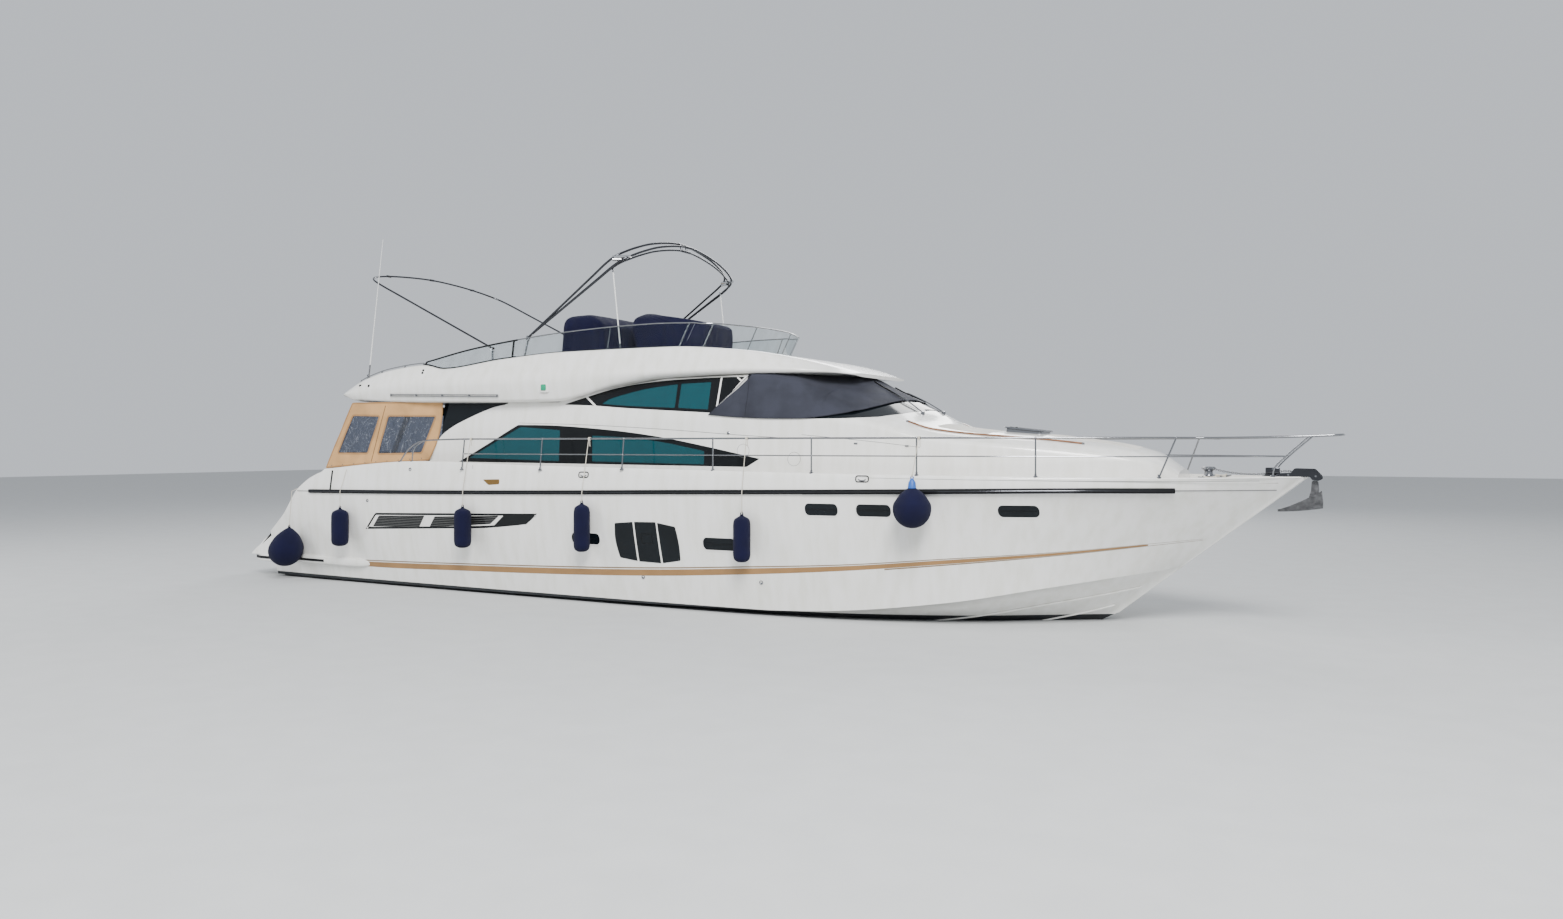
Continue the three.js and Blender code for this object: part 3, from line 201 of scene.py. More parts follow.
def creased(name, clear, crease):
    """Soft clear sheet whose creases carry painted glints, thin streaks blended towards a pale colour."""
    made, nodes, links, shader = new_material(name)
    warp = nodes.new("ShaderNodeTexNoise")
    warp.inputs["Scale"].default_value = 2.4
    warp.inputs["Detail"].default_value = 3.0
    warp.inputs["Distortion"].default_value = 1.2
    links.new(coordinates(nodes, links, (1.6, 1.6, 0.8), (0, 0.4, 0)), warp.inputs["Vector"])
    fold = nodes.new("ShaderNodeMath")
    fold.operation = "PINGPONG"
    fold.inputs[1].default_value = FOLD
    links.new(warp.outputs["Fac"], fold.inputs[0])
    crease_glint_mask = nodes.new("ShaderNodeMapRange")
    crease_glint_mask.inputs["From Min"].default_value = FOLD - 0.012
    crease_glint_mask.inputs["From Max"].default_value = FOLD
    links.new(fold.outputs["Value"], crease_glint_mask.inputs["Value"])
    # Painted highlight: the tint turns to the pale crease colour along the creases as glints
    links.new(blend_colors(nodes, links, crease_glint_mask.outputs["Result"], clear, crease, 0.2, 0.95),
              shader.inputs["Base Color"])
    links.new(map_range(nodes, links, crease_glint_mask.outputs["Result"], 0.04, 0.22), shader.inputs["Roughness"])
    shader.inputs["Transmission Weight"].default_value = 0.9
    shader.inputs["IOR"].default_value = 1.45
    return made


SEAM_HALF = 0.0028  # half the width of the caulking between planks


def planked(name, wood, seam, width):
    """Laid planks along the boat with dark caulking between them."""
    made, nodes, links, shader = new_material(name)
    vector = coordinates(nodes, links)
    split = nodes.new("ShaderNodeSeparateXYZ")
    links.new(vector, split.inputs["Vector"])
    across = nodes.new("ShaderNodeMath")
    across.operation = "PINGPONG"
    across.inputs[1].default_value = width / 2
    links.new(split.outputs["Y"], across.inputs[0])
    seams = nodes.new("ShaderNodeMath")
    seams.operation = "LESS_THAN"
    seams.inputs[1].default_value = SEAM_HALF
    links.new(across.outputs["Value"], seams.inputs[0])
    grain = noise_node(nodes, links, coordinates(nodes, links, (2.0, 60.0, 10.0)), 2.0, 6)
    low = [c * 0.72 for c in wood]
    color = blend_colors(nodes, links, grain, low, wood)
    mix = nodes.new("ShaderNodeMix")
    mix.data_type = "RGBA"
    mix.inputs["B"].default_value = (*seam, 1)
    links.new(seams.outputs["Value"], mix.inputs["Factor"])
    links.new(color, mix.inputs["A"])
    links.new(mix.outputs["Result"], shader.inputs["Base Color"])
    links.new(map_range(nodes, links, grain, 0.5, 0.8), shader.inputs["Roughness"])
    add_bump(nodes, links, shader, grain, 0.15, 0.001)
    return made


WHITE = (0.86, 0.85, 0.82)
MAT = {
    "gelcoat": gelcoat("gelcoat", WHITE),
    "nonskid": plain("nonskid", (0.62, 0.60, 0.55), 0.7, vary=0.08, grain=700, bump=0.6),
    "antifouling": plain("antifouling", (0.012, 0.014, 0.017), 0.55, vary=0.25, scale=4, bump=0.1),
    "gold": plain("gold", (0.30, 0.165, 0.062), 0.35, vary=0.1),
    "black": plain("black", (0.005, 0.006, 0.007), 0.15, vary=0.2, sockets={"Specular IOR Level": 0.25}),
    "shadow": plain("shadow", (0.10, 0.10, 0.105), 0.5, vary=0.1),
    "bronze_line": plain("bronze_line", (0.20, 0.13, 0.065), 0.35, vary=0.1),
    "port_rim": plain("port_rim", (0.78, 0.77, 0.74), 0.2, vary=0.05),
    "slat": plain("slat", (0.10, 0.10, 0.095), 0.35, vary=0.1),
    "rubber": plain("rubber", (0.005, 0.005, 0.006), 0.5, vary=0.15, bump=0.1,
                    sockets={"Specular IOR Level": 0.2}),
    "stainless": plain("stainless", (0.29, 0.295, 0.31), 0.16, metal=1.0, vary=0.05, grain=25),
    # Stainless darkened as painted shade: painted dark reflections on the bimini tubes and rub-rail strips,
    # painted shade on the bow roller
    "stainless_painted_shade": plain("stainless_painted_shade", (0.075, 0.077, 0.085), 0.14, metal=1.0, vary=0.08, grain=25),
    # Stainless brightened as painted highlight, for the bimini clamps
    "stainless_painted_highlight": plain("stainless_painted_highlight", (0.62, 0.63, 0.64), 0.12, metal=1.0, vary=0.04, grain=25),
    "bronze": plain("bronze", (0.42, 0.25, 0.09), 0.3, metal=1.0, vary=0.15, bump=0.1),
    "white_tube": plain("white_tube", (0.75, 0.75, 0.73), 0.3, vary=0.04),
    "teal_glass": glass("teal_glass", (0.003, 0.080, 0.100), 0.03, 0.38),
    "dark_glass": plain("dark_glass", (0.004, 0.006, 0.008), 0.08, vary=0.2,
                        sockets={"Specular IOR Level": 0.25}),
    "varnish": plain("varnish", (0.20, 0.085, 0.035), 0.25, vary=0.25, scale=9,
                     sockets={"Coat Weight": 0.5}),
    "acrylic": glass("acrylic", (0.88, 0.93, 0.94), 0.01, bend=1.18),
    # Vinyl: tint darkened as painted shade of the cockpit seen through it, pale painted glints on its
    # creases
    "vinyl": creased("vinyl", (0.27, 0.30, 0.37), (0.86, 0.88, 0.92)),
    "navy": woven("navy", (0.0045, 0.005, 0.026), 0.004, 0.9, 0.8, sheen=0.03),
    "galvanised": plain("galvanised", (0.13, 0.13, 0.135), 0.42, metal=0.85, vary=0.3, scale=14,
                        grain=120, bump=0.3),
    "smoked": plain("smoked", (0.012, 0.014, 0.016), 0.07, vary=0.2),
    "fender_neck": plain("fender_neck", (0.025, 0.11, 0.42), 0.45, vary=0.08),
    "navy_edge": woven("navy_edge", (0.003, 0.0035, 0.016), 0.003, 0.9, 0.6, sheen=0.03),
    "green_lens": glass("green_lens", (0.01, 0.42, 0.22), 0.08, 0.35),
    "red_lens": glass("red_lens", (0.55, 0.015, 0.01), 0.08, 0.35),
    "tan": woven("tan", (0.52, 0.30, 0.13), 0.0022, 0.85, 0.4, sheen=0.05),
    "tan_edge": woven("tan_edge", (0.36, 0.20, 0.085), 0.0022, 0.85, 0.4, sheen=0.05),
    "mesh": woven("mesh", (0.028, 0.030, 0.042), 0.003, 0.75, 0.6, 0.2, sheen=0.05),
    "mesh_edge": woven("mesh_edge", (0.014, 0.015, 0.022), 0.002, 0.8, 0.5, 0.2, sheen=0.05),
    "upholstery": plain("upholstery", (0.66, 0.63, 0.57), 0.5, vary=0.05, grain=260, bump=0.25),
    "piping": plain("piping", (0.46, 0.44, 0.40), 0.5, vary=0.05),
    "blind": plain("blind", (0.75, 0.74, 0.70), 0.8, vary=0.05),
    "teak": planked("teak", (0.40, 0.25, 0.13), (0.012, 0.011, 0.010), 0.052),
    "rope": woven("rope", (0.62, 0.58, 0.49), 0.006, 0.9, 0.8),
    "engine": plain("engine", (0.55, 0.55, 0.53), 0.4, vary=0.1, bump=0.1),
}


# Points on smooth curves
def spline(points, steps=8, closed=False):
    """A Catmull-Rom curve through points of any size, as tuples."""
    pts = [Vector(p) for p in points]
    if closed:
        pts = [pts[-1], *pts, pts[0], pts[1]]
    else:
        pts = [pts[0] * 2 - pts[1], *pts, pts[-1] * 2 - pts[-2]]
    made = []
    for a, b, c, d in zip(pts, pts[1:], pts[2:], pts[3:]):
        ta = 0.0
        tb = ta + max((b - a).length, 1e-6) ** 0.5
        tc = tb + max((c - b).length, 1e-6) ** 0.5
        td = tc + max((d - c).length, 1e-6) ** 0.5
        for i in range(steps):
            t = tb + (tc - tb) * i / steps
            a1 = a * ((tb - t) / (tb - ta)) + b * ((t - ta) / (tb - ta))
            a2 = b * ((tc - t) / (tc - tb)) + c * ((t - tb) / (tc - tb))
            a3 = c * ((td - t) / (td - tc)) + d * ((t - tc) / (td - tc))
            b1 = a1 * ((tc - t) / (tc - ta)) + a2 * ((t - ta) / (tc - ta))
            b2 = a2 * ((td - t) / (td - tb)) + a3 * ((t - tb) / (td - tb))
            made.append(b1 * ((tc - t) / (tc - tb)) + b2 * ((t - tb) / (tc - tb)))
    if not closed:
        made.append(pts[-2])
    return made


def curve(points, steps=6):
    """A smooth curve as plain tuples."""
    return [tuple(p) for p in spline(points, steps)]


def angles(count):
    """Evenly spaced angles round a circle."""
    return [2 * math.pi * k / count for k in range(count)]


def spread(start, end, count):
    """Evenly spaced values from start to end, one more than count."""
    return [start + (end - start) * k / count for k in range(count + 1)]


def flipped(points):
    """Points mirrored to the other side of the boat, in reverse order."""
    return [Vector((p.x, -p.y, p.z)) for p in reversed(points)]


def rounded(points, radius, steps=5, closed=True):
    """An outline with its corners rounded. radius is one number or one for each corner."""
    pts = [Vector(p) for p in points]
    radii = [radius] * len(pts) if isinstance(radius, (int, float)) else radius
    made = []
    for i, p in enumerate(pts):
        if not closed and i in (0, len(pts) - 1):
            made.append(p)
            continue
        before = pts[i - 1] - p
        after = pts[(i + 1) % len(pts)] - p
        reach = min(radii[i], before.length * 0.49, after.length * 0.49)
        if reach < 1e-5:
            made.append(p)
            continue
        start = p + before.normalized() * reach
        end = p + after.normalized() * reach
        for k in range(steps + 1):
            t = k / steps
            made.append(start * (1 - t) ** 2 + p * (2 * t * (1 - t)) + end * t * t)
    return made


def inset(outline, distance):
    """The outline moved inward by a distance."""
    pts = [Vector((p[0], p[1])) for p in outline]
    area = sum(a.x * b.y - b.x * a.y for a, b in zip(pts, pts[1:] + pts[:1]))
    turn = 1 if area > 0 else -1
    made = []
    for i, p in enumerate(pts):
        a = (p - pts[i - 1]).normalized() if (p - pts[i - 1]).length > 1e-6 else Vector((0, 0))
        after = pts[(i + 1) % len(pts)] - p
        b = after.normalized() if after.length > 1e-6 else a
        na, nb = Vector((-a.y, a.x)) * turn, Vector((-b.y, b.x)) * turn
        both = na + nb
        if both.length < 1e-6:
            continue
        both.normalize()
        made.append(p + both * min(distance / max(both.dot(na), 0.35), distance * 2.5))
    return made


def pchip(rows, x):
    """Smooth values between the rows of a table whose first column is x, without overshoot."""
    if x <= rows[0][0]:
        return list(rows[0][1:])
    if x >= rows[-1][0]:
        return list(rows[-1][1:])
    i = max(k for k in range(len(rows) - 1) if rows[k][0] <= x)
    h = rows[i + 1][0] - rows[i][0]
    t = (x - rows[i][0]) / h

    def slope(k, c):
        if k in (0, len(rows) - 1):
            j = 0 if k == 0 else k - 1
            return (rows[j + 1][c] - rows[j][c]) / (rows[j + 1][0] - rows[j][0])
        h0, h1 = rows[k][0] - rows[k - 1][0], rows[k + 1][0] - rows[k][0]
        d0 = (rows[k][c] - rows[k - 1][c]) / h0
        d1 = (rows[k + 1][c] - rows[k][c]) / h1
        if d0 * d1 <= 0:
            return 0.0
        w0, w1 = 2 * h1 + h0, h1 + 2 * h0
        return (w0 + w1) / (w0 / d0 + w1 / d1)

    values = []
    for c in range(1, len(rows[0])):
        m0, m1 = slope(i, c) * h, slope(i + 1, c) * h
        y0, y1 = rows[i][c], rows[i + 1][c]
        values.append(y0 * (2 * t**3 - 3 * t**2 + 1) + m0 * (t**3 - 2 * t**2 + t)
                      + y1 * (3 * t**2 - 2 * t**3) + m1 * (t**3 - t**2))
    return values


# Closed shells collected into one piece
class Shape:
    def __init__(self):
        self.verts = []
        self.faces = []
        self.mats = []

    def add(self, verts, faces, mat=0):
        base = len(self.verts)
        self.verts += [Vector(v) for v in verts]
        self.faces += [[base + i for i in f] for f in faces]
        self.mats += [mat] * len(faces)
        return self

    def join(self, other, mat=None):
        base = len(self.verts)
        self.verts += [v.copy() for v in other.verts]
        self.faces += [[base + i for i in f] for f in other.faces]
        self.mats += other.mats if mat is None else [mat] * len(other.faces)
        return self

    def loft(self, rings, mat=0, closed=False):
        """Rings of the same count, capped at both ends unless the rings themselves close."""
        count = len(rings[0])
        verts = [p for ring in rings for p in ring]
        faces = []
        spans = len(rings) if closed else len(rings) - 1
        for r in range(spans):
            a, b = r * count, ((r + 1) % len(rings)) * count
            for i in range(count):
                j = (i + 1) % count
                faces.append([a + i, b + i, b + j, a + j])
        if not closed:
            faces.append(list(range(count)))
            faces.append([(len(rings) - 1) * count + i for i in reversed(range(count))])
        return self.add(verts, faces, mat)

    def tube(self, points, radius, sides=10, mat=0, closed=False):
        """A round bar along points. radius is one number or one for each point."""
        pts = [Vector(p) for p in points]
        radii = [radius] * len(pts) if isinstance(radius, (int, float)) else radius
        rings = []
        normal = None
        for i, p in enumerate(pts):
            ahead = pts[(i + 1) % len(pts)] if closed or i + 1 < len(pts) else p
            behind = pts[i - 1] if closed or i else p
            along = (ahead - behind).normalized()
            if normal is None:
                seed = Vector((0, 0, 1)) if abs(along.z) < 0.9 else Vector((1, 0, 0))
                normal = along.cross(seed).normalized()
            else:
                normal = (normal - along * normal.dot(along)).normalized()
            side = along.cross(normal)
            rings.append([p + (normal * math.cos(a) + side * math.sin(a)) * radii[i]
                          for a in angles(sides)])
        return self.loft(rings, mat, closed)

    def lathe(self, profile, centre, axis=(0, 0, 1), sides=24, mat=0):
        """A turned body, from a profile of radius and height along its axis."""
        turn = Vector((0, 0, 1)).rotation_difference(Vector(axis).normalized()).to_matrix()
        rings = []
        for r, h in profile:
            r = max(r, 1e-4)
            ring = [(r * math.cos(a), r * math.sin(a), h) for a in angles(sides)]
            rings.append([Vector(centre) + turn @ Vector(p) for p in ring])
        return self.loft(rings, mat)

    def block(self, low, high, radius=0.01, steps=2, mat=0, turn=None):
        """A box with rounded edges. turn is a matrix about its centre."""
        low, high = Vector(low), Vector(high)
        centre, size = (low + high) / 2, high - low
        bm = bmesh.new()
        bmesh.ops.create_cube(bm, size=1)
        bmesh.ops.scale(bm, vec=size, verts=bm.verts)
        if radius > 0:
            bmesh.ops.bevel(bm, geom=bm.edges[:], offset=min(radius, min(size) * 0.49), segments=steps,
                            profile=0.5, affect="EDGES")
        turn = turn or Matrix.Identity(3)
        self.add([centre + turn @ v.co for v in bm.verts], [[v.index for v in f.verts] for f in bm.faces],
                 mat)
        bm.free()
        return self

    def prism(self, outline, across, start, end, mat=0):
        """A flat outline carried from start to end along the axis that across names."""
        def at(p, h):
            u, v = p[0], p[1]
            return {"x": (h, u, v), "y": (u, h, v), "z": (u, v, h)}[across]

        pts = [Vector(p) for p in outline]
        area = sum(a[0] * b[1] - b[0] * a[1] for a, b in zip(pts, pts[1:] + pts[:1]))
        if (area > 0) == (across == "y"):
            pts.reverse()
        n = len(pts)
        verts = [at(p, start) for p in pts] + [at(p, end) for p in pts]
        faces = [list(reversed(range(n))), [n + i for i in range(n)]]
        faces += [[i, (i + 1) % n, n + (i + 1) % n, n + i] for i in range(n)]
        return self.add(verts, faces, mat)

    def moved(self, matrix):
        made = Shape()
        made.verts = [matrix @ v for v in self.verts]
        made.faces = [f[:] for f in self.faces]
        made.mats = self.mats[:]
        return made

    def mirrored(self):
        made = Shape()
        made.verts = [Vector((v.x, -v.y, v.z)) for v in self.verts]
        made.faces = [f[::-1] for f in self.faces]
        made.mats = self.mats[:]
        return made

    def side(self, sign):
        """Shapes are made to starboard. sign is 1 for the port side."""
        return self.mirrored() if sign > 0 else self

    def mesh(self, name, lift=0.0):
        data = bpy.data.meshes.new(name)
        data.from_pydata([(v.x, v.y, v.z + lift) for v in self.verts], [], self.faces)
        data.polygons.foreach_set("material_index", self.mats)
        data.update()
        return data


def outward(data):
    """Turns every closed shell's faces outward."""
    bm = bmesh.new()
    bm.from_mesh(data)
    bmesh.ops.recalc_face_normals(bm, faces=bm.faces)
    bm.to_mesh(data)
    bm.free()


def scratch(shape):
    """A throwaway object for the modifiers."""
    data = shape.mesh("scratch")
    outward(data)
    made = bpy.data.objects.new("scratch", data)
    bpy.context.collection.objects.link(made)
    return made


def carve(base, tools, operation="DIFFERENCE"):
    """Cuts, joins or intersects a shape with others, one after another."""
    body = scratch(base)
    extra = []
    for tool in tools:
        other = scratch(tool)
        extra.append(other)
        change = body.modifiers.new("carve", "BOOLEAN")
        change.operation = operation
        change.solver = "MANIFOLD"
        change.object = other
    graph = bpy.context.evaluated_depsgraph_get()
    data = bpy.data.meshes.new_from_object(body.evaluated_get(graph))
    made = Shape()
    made.add([v.co for v in data.vertices], [list(p.vertices) for p in data.polygons])
    made.mats = [p.material_index for p in data.polygons]
    for o in [body, *extra]:
        old = o.data
        bpy.data.objects.remove(o)
        bpy.data.meshes.remove(old)
    bpy.data.meshes.remove(data)
    return made


def piece(name, shape, mats, body="hull", slot=None, replaces=(), angle=32, lift=LIFT):
    """Makes one named piece that rides on a CAD body."""
    data = shape.mesh(name, lift)
    outward(data)
    for m in mats:
        data.materials.append(MAT[m])
    data.shade_smooth()
    data.set_sharp_from_angle(angle=math.radians(angle))
    made = bpy.data.objects.new(name, data)
    bpy.context.collection.objects.link(made)
    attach(made, body)
    if replaces:
        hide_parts(*replaces)
    return made


def pair(name, make, mats, slot=None, replaces=None, **more):
    """The same piece on both sides. make(sign) gives the shape."""
    made = []
    for side, sign in SIDES:
        stood = () if replaces is None else (f"{replaces}_{side}",)
        made.append(piece(f"{name}_{side}", make(sign), mats, slot=slot, replaces=stood, **more))
    return made


# Hull lines at the CAD's stations. Columns: keel, chine, rub rail and sheer as x, y, z, then the bulge
STATIONS = [
    ((-9.15, 0.03, -0.62), (-9.15, 2.16, -0.06), (-9.15, 2.44, 1.69), (-9.15, 2.38, 2.06), 0.03),
    ((-7.5, 0.03, -0.73), (-7.5, 2.22, -0.06), (-7.5, 2.545, 1.712), (-7.5, 2.465, 2.15), 0.035),
    ((-5.0, 0.03, -0.86), (-5.0, 2.27, -0.055), (-5.0, 2.6, 1.745), (-5.0, 2.525, 2.325), 0.04),
    ((-2.0, 0.03, -0.95), (-2.0, 2.29, -0.05), (-2.0, 2.62, 1.8), (-2.0, 2.55, 2.28), 0.045),
    ((1.0, 0.03, -0.98), (1.0, 2.28, -0.03), (1.0, 2.61, 1.865), (1.0, 2.55, 2.24), 0.04),
    ((3.5, 0.03, -0.92), (3.5, 2.17, 0.04), (3.5, 2.53, 1.915), (3.5, 2.49, 2.205), 0.02),
    ((5.3, 0.03, -0.72), (5.4, 1.9, 0.25), (5.6, 2.29, 1.955), (5.6, 2.27, 2.185), -0.03),
    ((6.4, 0.03, -0.45), (6.7, 1.42, 0.48), (7.2, 1.84, 1.98), (7.3, 1.8, 2.175), -0.06),
    ((7.1, 0.03, -0.23), (7.8, 0.7, 0.665), (8.7, 1.05, 1.98), (8.9, 1.01, 2.17), -0.06),
    ((7.62, 0.025, 0.03), (8.53, 0.03, 0.77), (10.04, 0.05, 1.98), (10.28, 0.06, 2.18), 0.0),
]
KEEL, CHINE, RUB, SHEER = range(4)
DECK_Z = 2.08


def on_line(line, t):
    """A point of a hull line, t from 0 at the transom to 1 at the stem, as the CAD draws it."""
    rows = [Vector(s[line]) for s in STATIONS]
    place = t * (len(rows) - 1)
    i = min(int(place), len(rows) - 2)
    w = place - i
    p1, p2 = rows[i], rows[i + 1]
    p0 = rows[i - 1] if i else p1 * 2 - p2
    p3 = rows[i + 2] if i + 2 < len(rows) else p2 * 2 - p1
    m1, m2 = (p2 - p0) * 0.5, (p3 - p1) * 0.5
    return (p1 * (2 * w**3 - 3 * w**2 + 1) + m1 * (w**3 - 2 * w**2 + w)
            + p2 * (3 * w**2 - 2 * w**3) + m2 * (w**3 - w**2))


def at_x(line, x):
    """The point of a hull line at x, found by halving."""
    low, high = 0.0, 1.0
    for _ in range(40):
        middle = (low + high) / 2
        if on_line(line, middle).x < x:
            low = middle
        else:
            high = middle
    return on_line(line, low)


def bulge_at(t):
    """How far the topsides swell at t."""
    place = t * (len(STATIONS) - 1)
    i = min(int(place), len(STATIONS) - 2)
    return STATIONS[i][4] + (STATIONS[i + 1][4] - STATIONS[i][4]) * (place - i)


def hull_half(t, grow=0.0):
    """One side of a hull section from keel to deck, in points of x, y, z with y positive."""
    keel, chine, rub, sheer = (on_line(k, t) for k in range(4))
    bulge = bulge_at(t)
    flat = min(0.075, 0.3 * chine.y)
    inner = Vector((chine.x, chine.y - flat, chine.z - 0.006))
    made = [keel.lerp(inner, k / 8) for k in range(9)]
    made.append(chine.copy())
    for k in range(1, 17):
        s = k / 16
        p = chine.lerp(rub, s)
        p.y += bulge * (1 - (2 * s - 1) ** 2) * 9 / 8
        made.append(p)
    edge = min(0.03, 0.3 * sheer.y)
    below = sheer.lerp(rub, edge / (sheer - rub).length)
    made += [rub.lerp(below, k / 4) for k in range(1, 5)]
    for k in range(1, 4):
        a = k * math.pi / 6
        made.append(Vector((sheer.x, sheer.y - edge * (1 - math.cos(a)),
                            sheer.z - edge * (1 - math.sin(a)))))
    for p in made:
        p.y += grow
    return made


def hull_loft(grow=0.0, rings=171):
    """The whole hull with its deck closed, rounded at the stem."""
    halves = [hull_half(k / (rings - 1), grow) for k in range(rings)]
    stem = halves[-1]
    for k in range(1, 5):
        a = k * math.pi / 8.5
        halves.append([Vector((p.x + p.y * math.sin(a) * 0.8, p.y * math.cos(a), p.z)) for p in stem])
    return Shape().loft([half + flipped(half) for half in halves])


def hull_skin(out, inner):
    """A thin skin between two sizes of the hull."""
    return carve(hull_loft(out), [hull_loft(inner)])


def box_tool(x0, x1, y0, y1, z0, z1):
    return Shape().block((x0, y0, z0), (x1, y1, z1), 0)


# Openings of the hull: cockpit, steps beside the transom, and the space between the quarter wings
COCKPIT = {"aft": -7.45, "fore": -4.4, "half": 2.0, "floor": 1.25}
PLATFORM_TOP = 0.36
TRANSOM_X = -8.3
WING_Y = 2.06
STEPS = 3
STEP_IN, STEP_OUT = 1.35, COCKPIT["half"]
STEP_RISE = (COCKPIT["floor"] - PLATFORM_TOP) / STEPS
STEP_RUN = (COCKPIT["aft"] - TRANSOM_X) / STEPS
SKY = 3.0  # above everything that the hull's tools cut

# The after slope in profile: between the wings, and of the wings themselves
QUARTER = [(-7.6, 2.7), (-7.67, 2.125), (-8.05, 1.94), (-8.47, 1.72), (-8.76, 1.45), (-9.18, 1.02),
           (-9.3, 0.88)]
WING = [(-7.3, 2.7), (-7.39, 2.14), (-7.59, 2.05), (-7.82, 1.95), (-8.1, 1.76), (-8.28, 1.59),
        (-8.6, 1.26), (-8.8, 1.10), (-9.0, 0.955), (-9.2, 0.81)]


def stairs(margin=0.0):
    """Number, sides, front edge and top of each step up from the platform, on both sides of the boat."""
    for sign in (-1, 1):
        for k in range(STEPS):
            y0, y1 = sorted(((STEP_IN + margin) * sign, (STEP_OUT - margin) * sign))
            yield k, y0, y1, TRANSOM_X + STEP_RUN * k, PLATFORM_TOP + STEP_RISE * (k + 1)


def deck_outline():
    """The deck inside its toe moulding, as far forward as it has any breadth."""
    edge = []
    x = -4.95
    while x < 10.0:
        sheer = at_x(SHEER, x)
        half = sheer.y - 0.075
        if half > 0.06:
            edge.append((x, half))
        x += 0.12
    return edge + [(x, -y) for x, y in reversed(edge)]


def make_hull():
    c = COCKPIT
    tools = [Shape().prism(deck_outline(), "z", DECK_Z, 3.2)]
    tools.append(box_tool(c["aft"], c["fore"], -c["half"], c["half"], c["floor"] - 0.06, SKY))
    tools.append(box_tool(c["fore"] - 0.001, 2.9, -1.9, 1.9, 1.4, SKY))
    tools.append(box_tool(-7.1, -4.7, -1.5, 1.5, -0.15, 1.25))
    for _, y0, y1, x, top in stairs():
        tools.append(box_tool(x - 0.001, c["aft"] + 0.001, y0, y1, top, SKY))
    slope = curve(QUARTER)
    tools.append(Shape().prism([*slope, (-9.6, 0.88), (-9.6, 2.7)], "y", -3, 3))
    edge = curve(WING)
    for y0, y1 in ((-3, 0.001 - c["half"]), (c["half"] - 0.001, 3)):
        tools.append(Shape().prism([*edge, (-9.6, 0.81), (-9.6, 2.7)], "y", y0, y1))
    tools.append(box_tool(-9.4, TRANSOM_X, -WING_Y, WING_Y, 0.1997, SKY))
    body = carve(hull_loft(), tools)
    body = split_level(body, 0.0)
    for i, face in enumerate(body.faces):
        pts = [body.verts[k] for k in face]
        z = sum(p.z for p in pts) / len(pts)
        normal = (pts[1] - pts[0]).cross(pts[2] - pts[1])
        body.mats[i] = 1 if z < 0 else 0
        if abs(z - DECK_Z) < 0.001 and abs(normal.z) > normal.length * 0.98:
            body.mats[i] = 2
    return body


def split_level(shape, z):
    """Cuts every face that crosses a level, so that paint can change there."""
    bm = bmesh.new()
    data = shape.mesh("split")
    bm.from_mesh(data)
    everything = bm.verts[:] + bm.edges[:] + bm.faces[:]
    bmesh.ops.bisect_plane(bm, geom=everything, plane_co=(0, 0, z), plane_no=(0, 0, 1))
    made = Shape()
    made.add([v.co for v in bm.verts], [[v.index for v in f.verts] for f in bm.faces])
    bm.free()
    bpy.data.meshes.remove(data)
    return made


piece("hull_moulding", make_hull(), ["gelcoat", "antifouling", "nonskid"], slot="gelcoat",
      replaces=("hull",))


def sweep(shape, points, profile, mat=0, up=(0, 0, 1)):
    """A section of (outward, upward) points carried along a line. Outward is to the line's right."""
    pts = [Vector(p) for p in points]
    rings = []
    for i, p in enumerate(pts):
        along = (pts[min(i + 1, len(pts) - 1)] - pts[max(i - 1, 0)]).normalized()
        out = along.cross(Vector(up)).normalized()
        rise = out.cross(along)
        rings.append([p + out * a + rise * b for a, b in profile])
    return shape.loft(rings, mat)


def starboard_line(line, x0, x1, count, down=0.0, inward=0.0):
    """Points of a hull line to starboard, shifted down or inward."""
    made = []
    for x in spread(x0, x1, count):
        p = at_x(line, x)
        made.append(Vector((p.x, -p.y + inward, p.z - down)))
    return made


# Rub rail: a dark moulding with stainless strips darkened as painted dark reflection, and the knuckle that
# runs on to the stem
RUB_AFT, RUB_FORE = -7.72, 8.63
RUB_BODY = [(-0.006, -0.036), (0.022, -0.036), (0.036, -0.024), (0.040, 0.0), (0.036, 0.024),
            (0.022, 0.036), (-0.006, 0.036)]
STRIP = [(0.0, -0.009), (0.006, -0.006), (0.009, 0.0), (0.006, 0.006), (0.0, 0.009)]


def make_rub_rail(sign):
    made = Shape()
    sweep(made, starboard_line(RUB, RUB_AFT, RUB_FORE, 120), RUB_BODY)
    sweep(made, [p + Vector((0, -0.037, 0)) for p in starboard_line(RUB, RUB_AFT, RUB_FORE, 120)], STRIP,
          1)
    upper = [(a * 0.8 + 0.02, b * 0.7 + 0.038) for a, b in STRIP]
    sweep(made, starboard_line(RUB, 5.2, RUB_FORE, 40), [(a, b - 0.006) for a, b in upper], 1)
    lower = [(a * 0.8 + 0.024, b * 0.7 - 0.034) for a, b in STRIP]
    sweep(made, starboard_line(RUB, 3.4, RUB_FORE, 50), lower, 1)
    knuckle = [(-0.004, -0.007), (0.005, -0.005), (0.006, 0.005), (-0.004, 0.007)]
    sweep(made, starboard_line(RUB, RUB_FORE + 0.004, 9.9, 20), knuckle, 2)
    sweep(made, starboard_line(RUB, -8.12, RUB_AFT - 0.004, 6), knuckle, 2)
    return made.side(sign)


# The strips take stainless darkened as painted dark reflection
pair("rub_rail_moulding", make_rub_rail, ["rubber", "stainless_painted_shade", "shadow"], "rubber", "rub_rail")


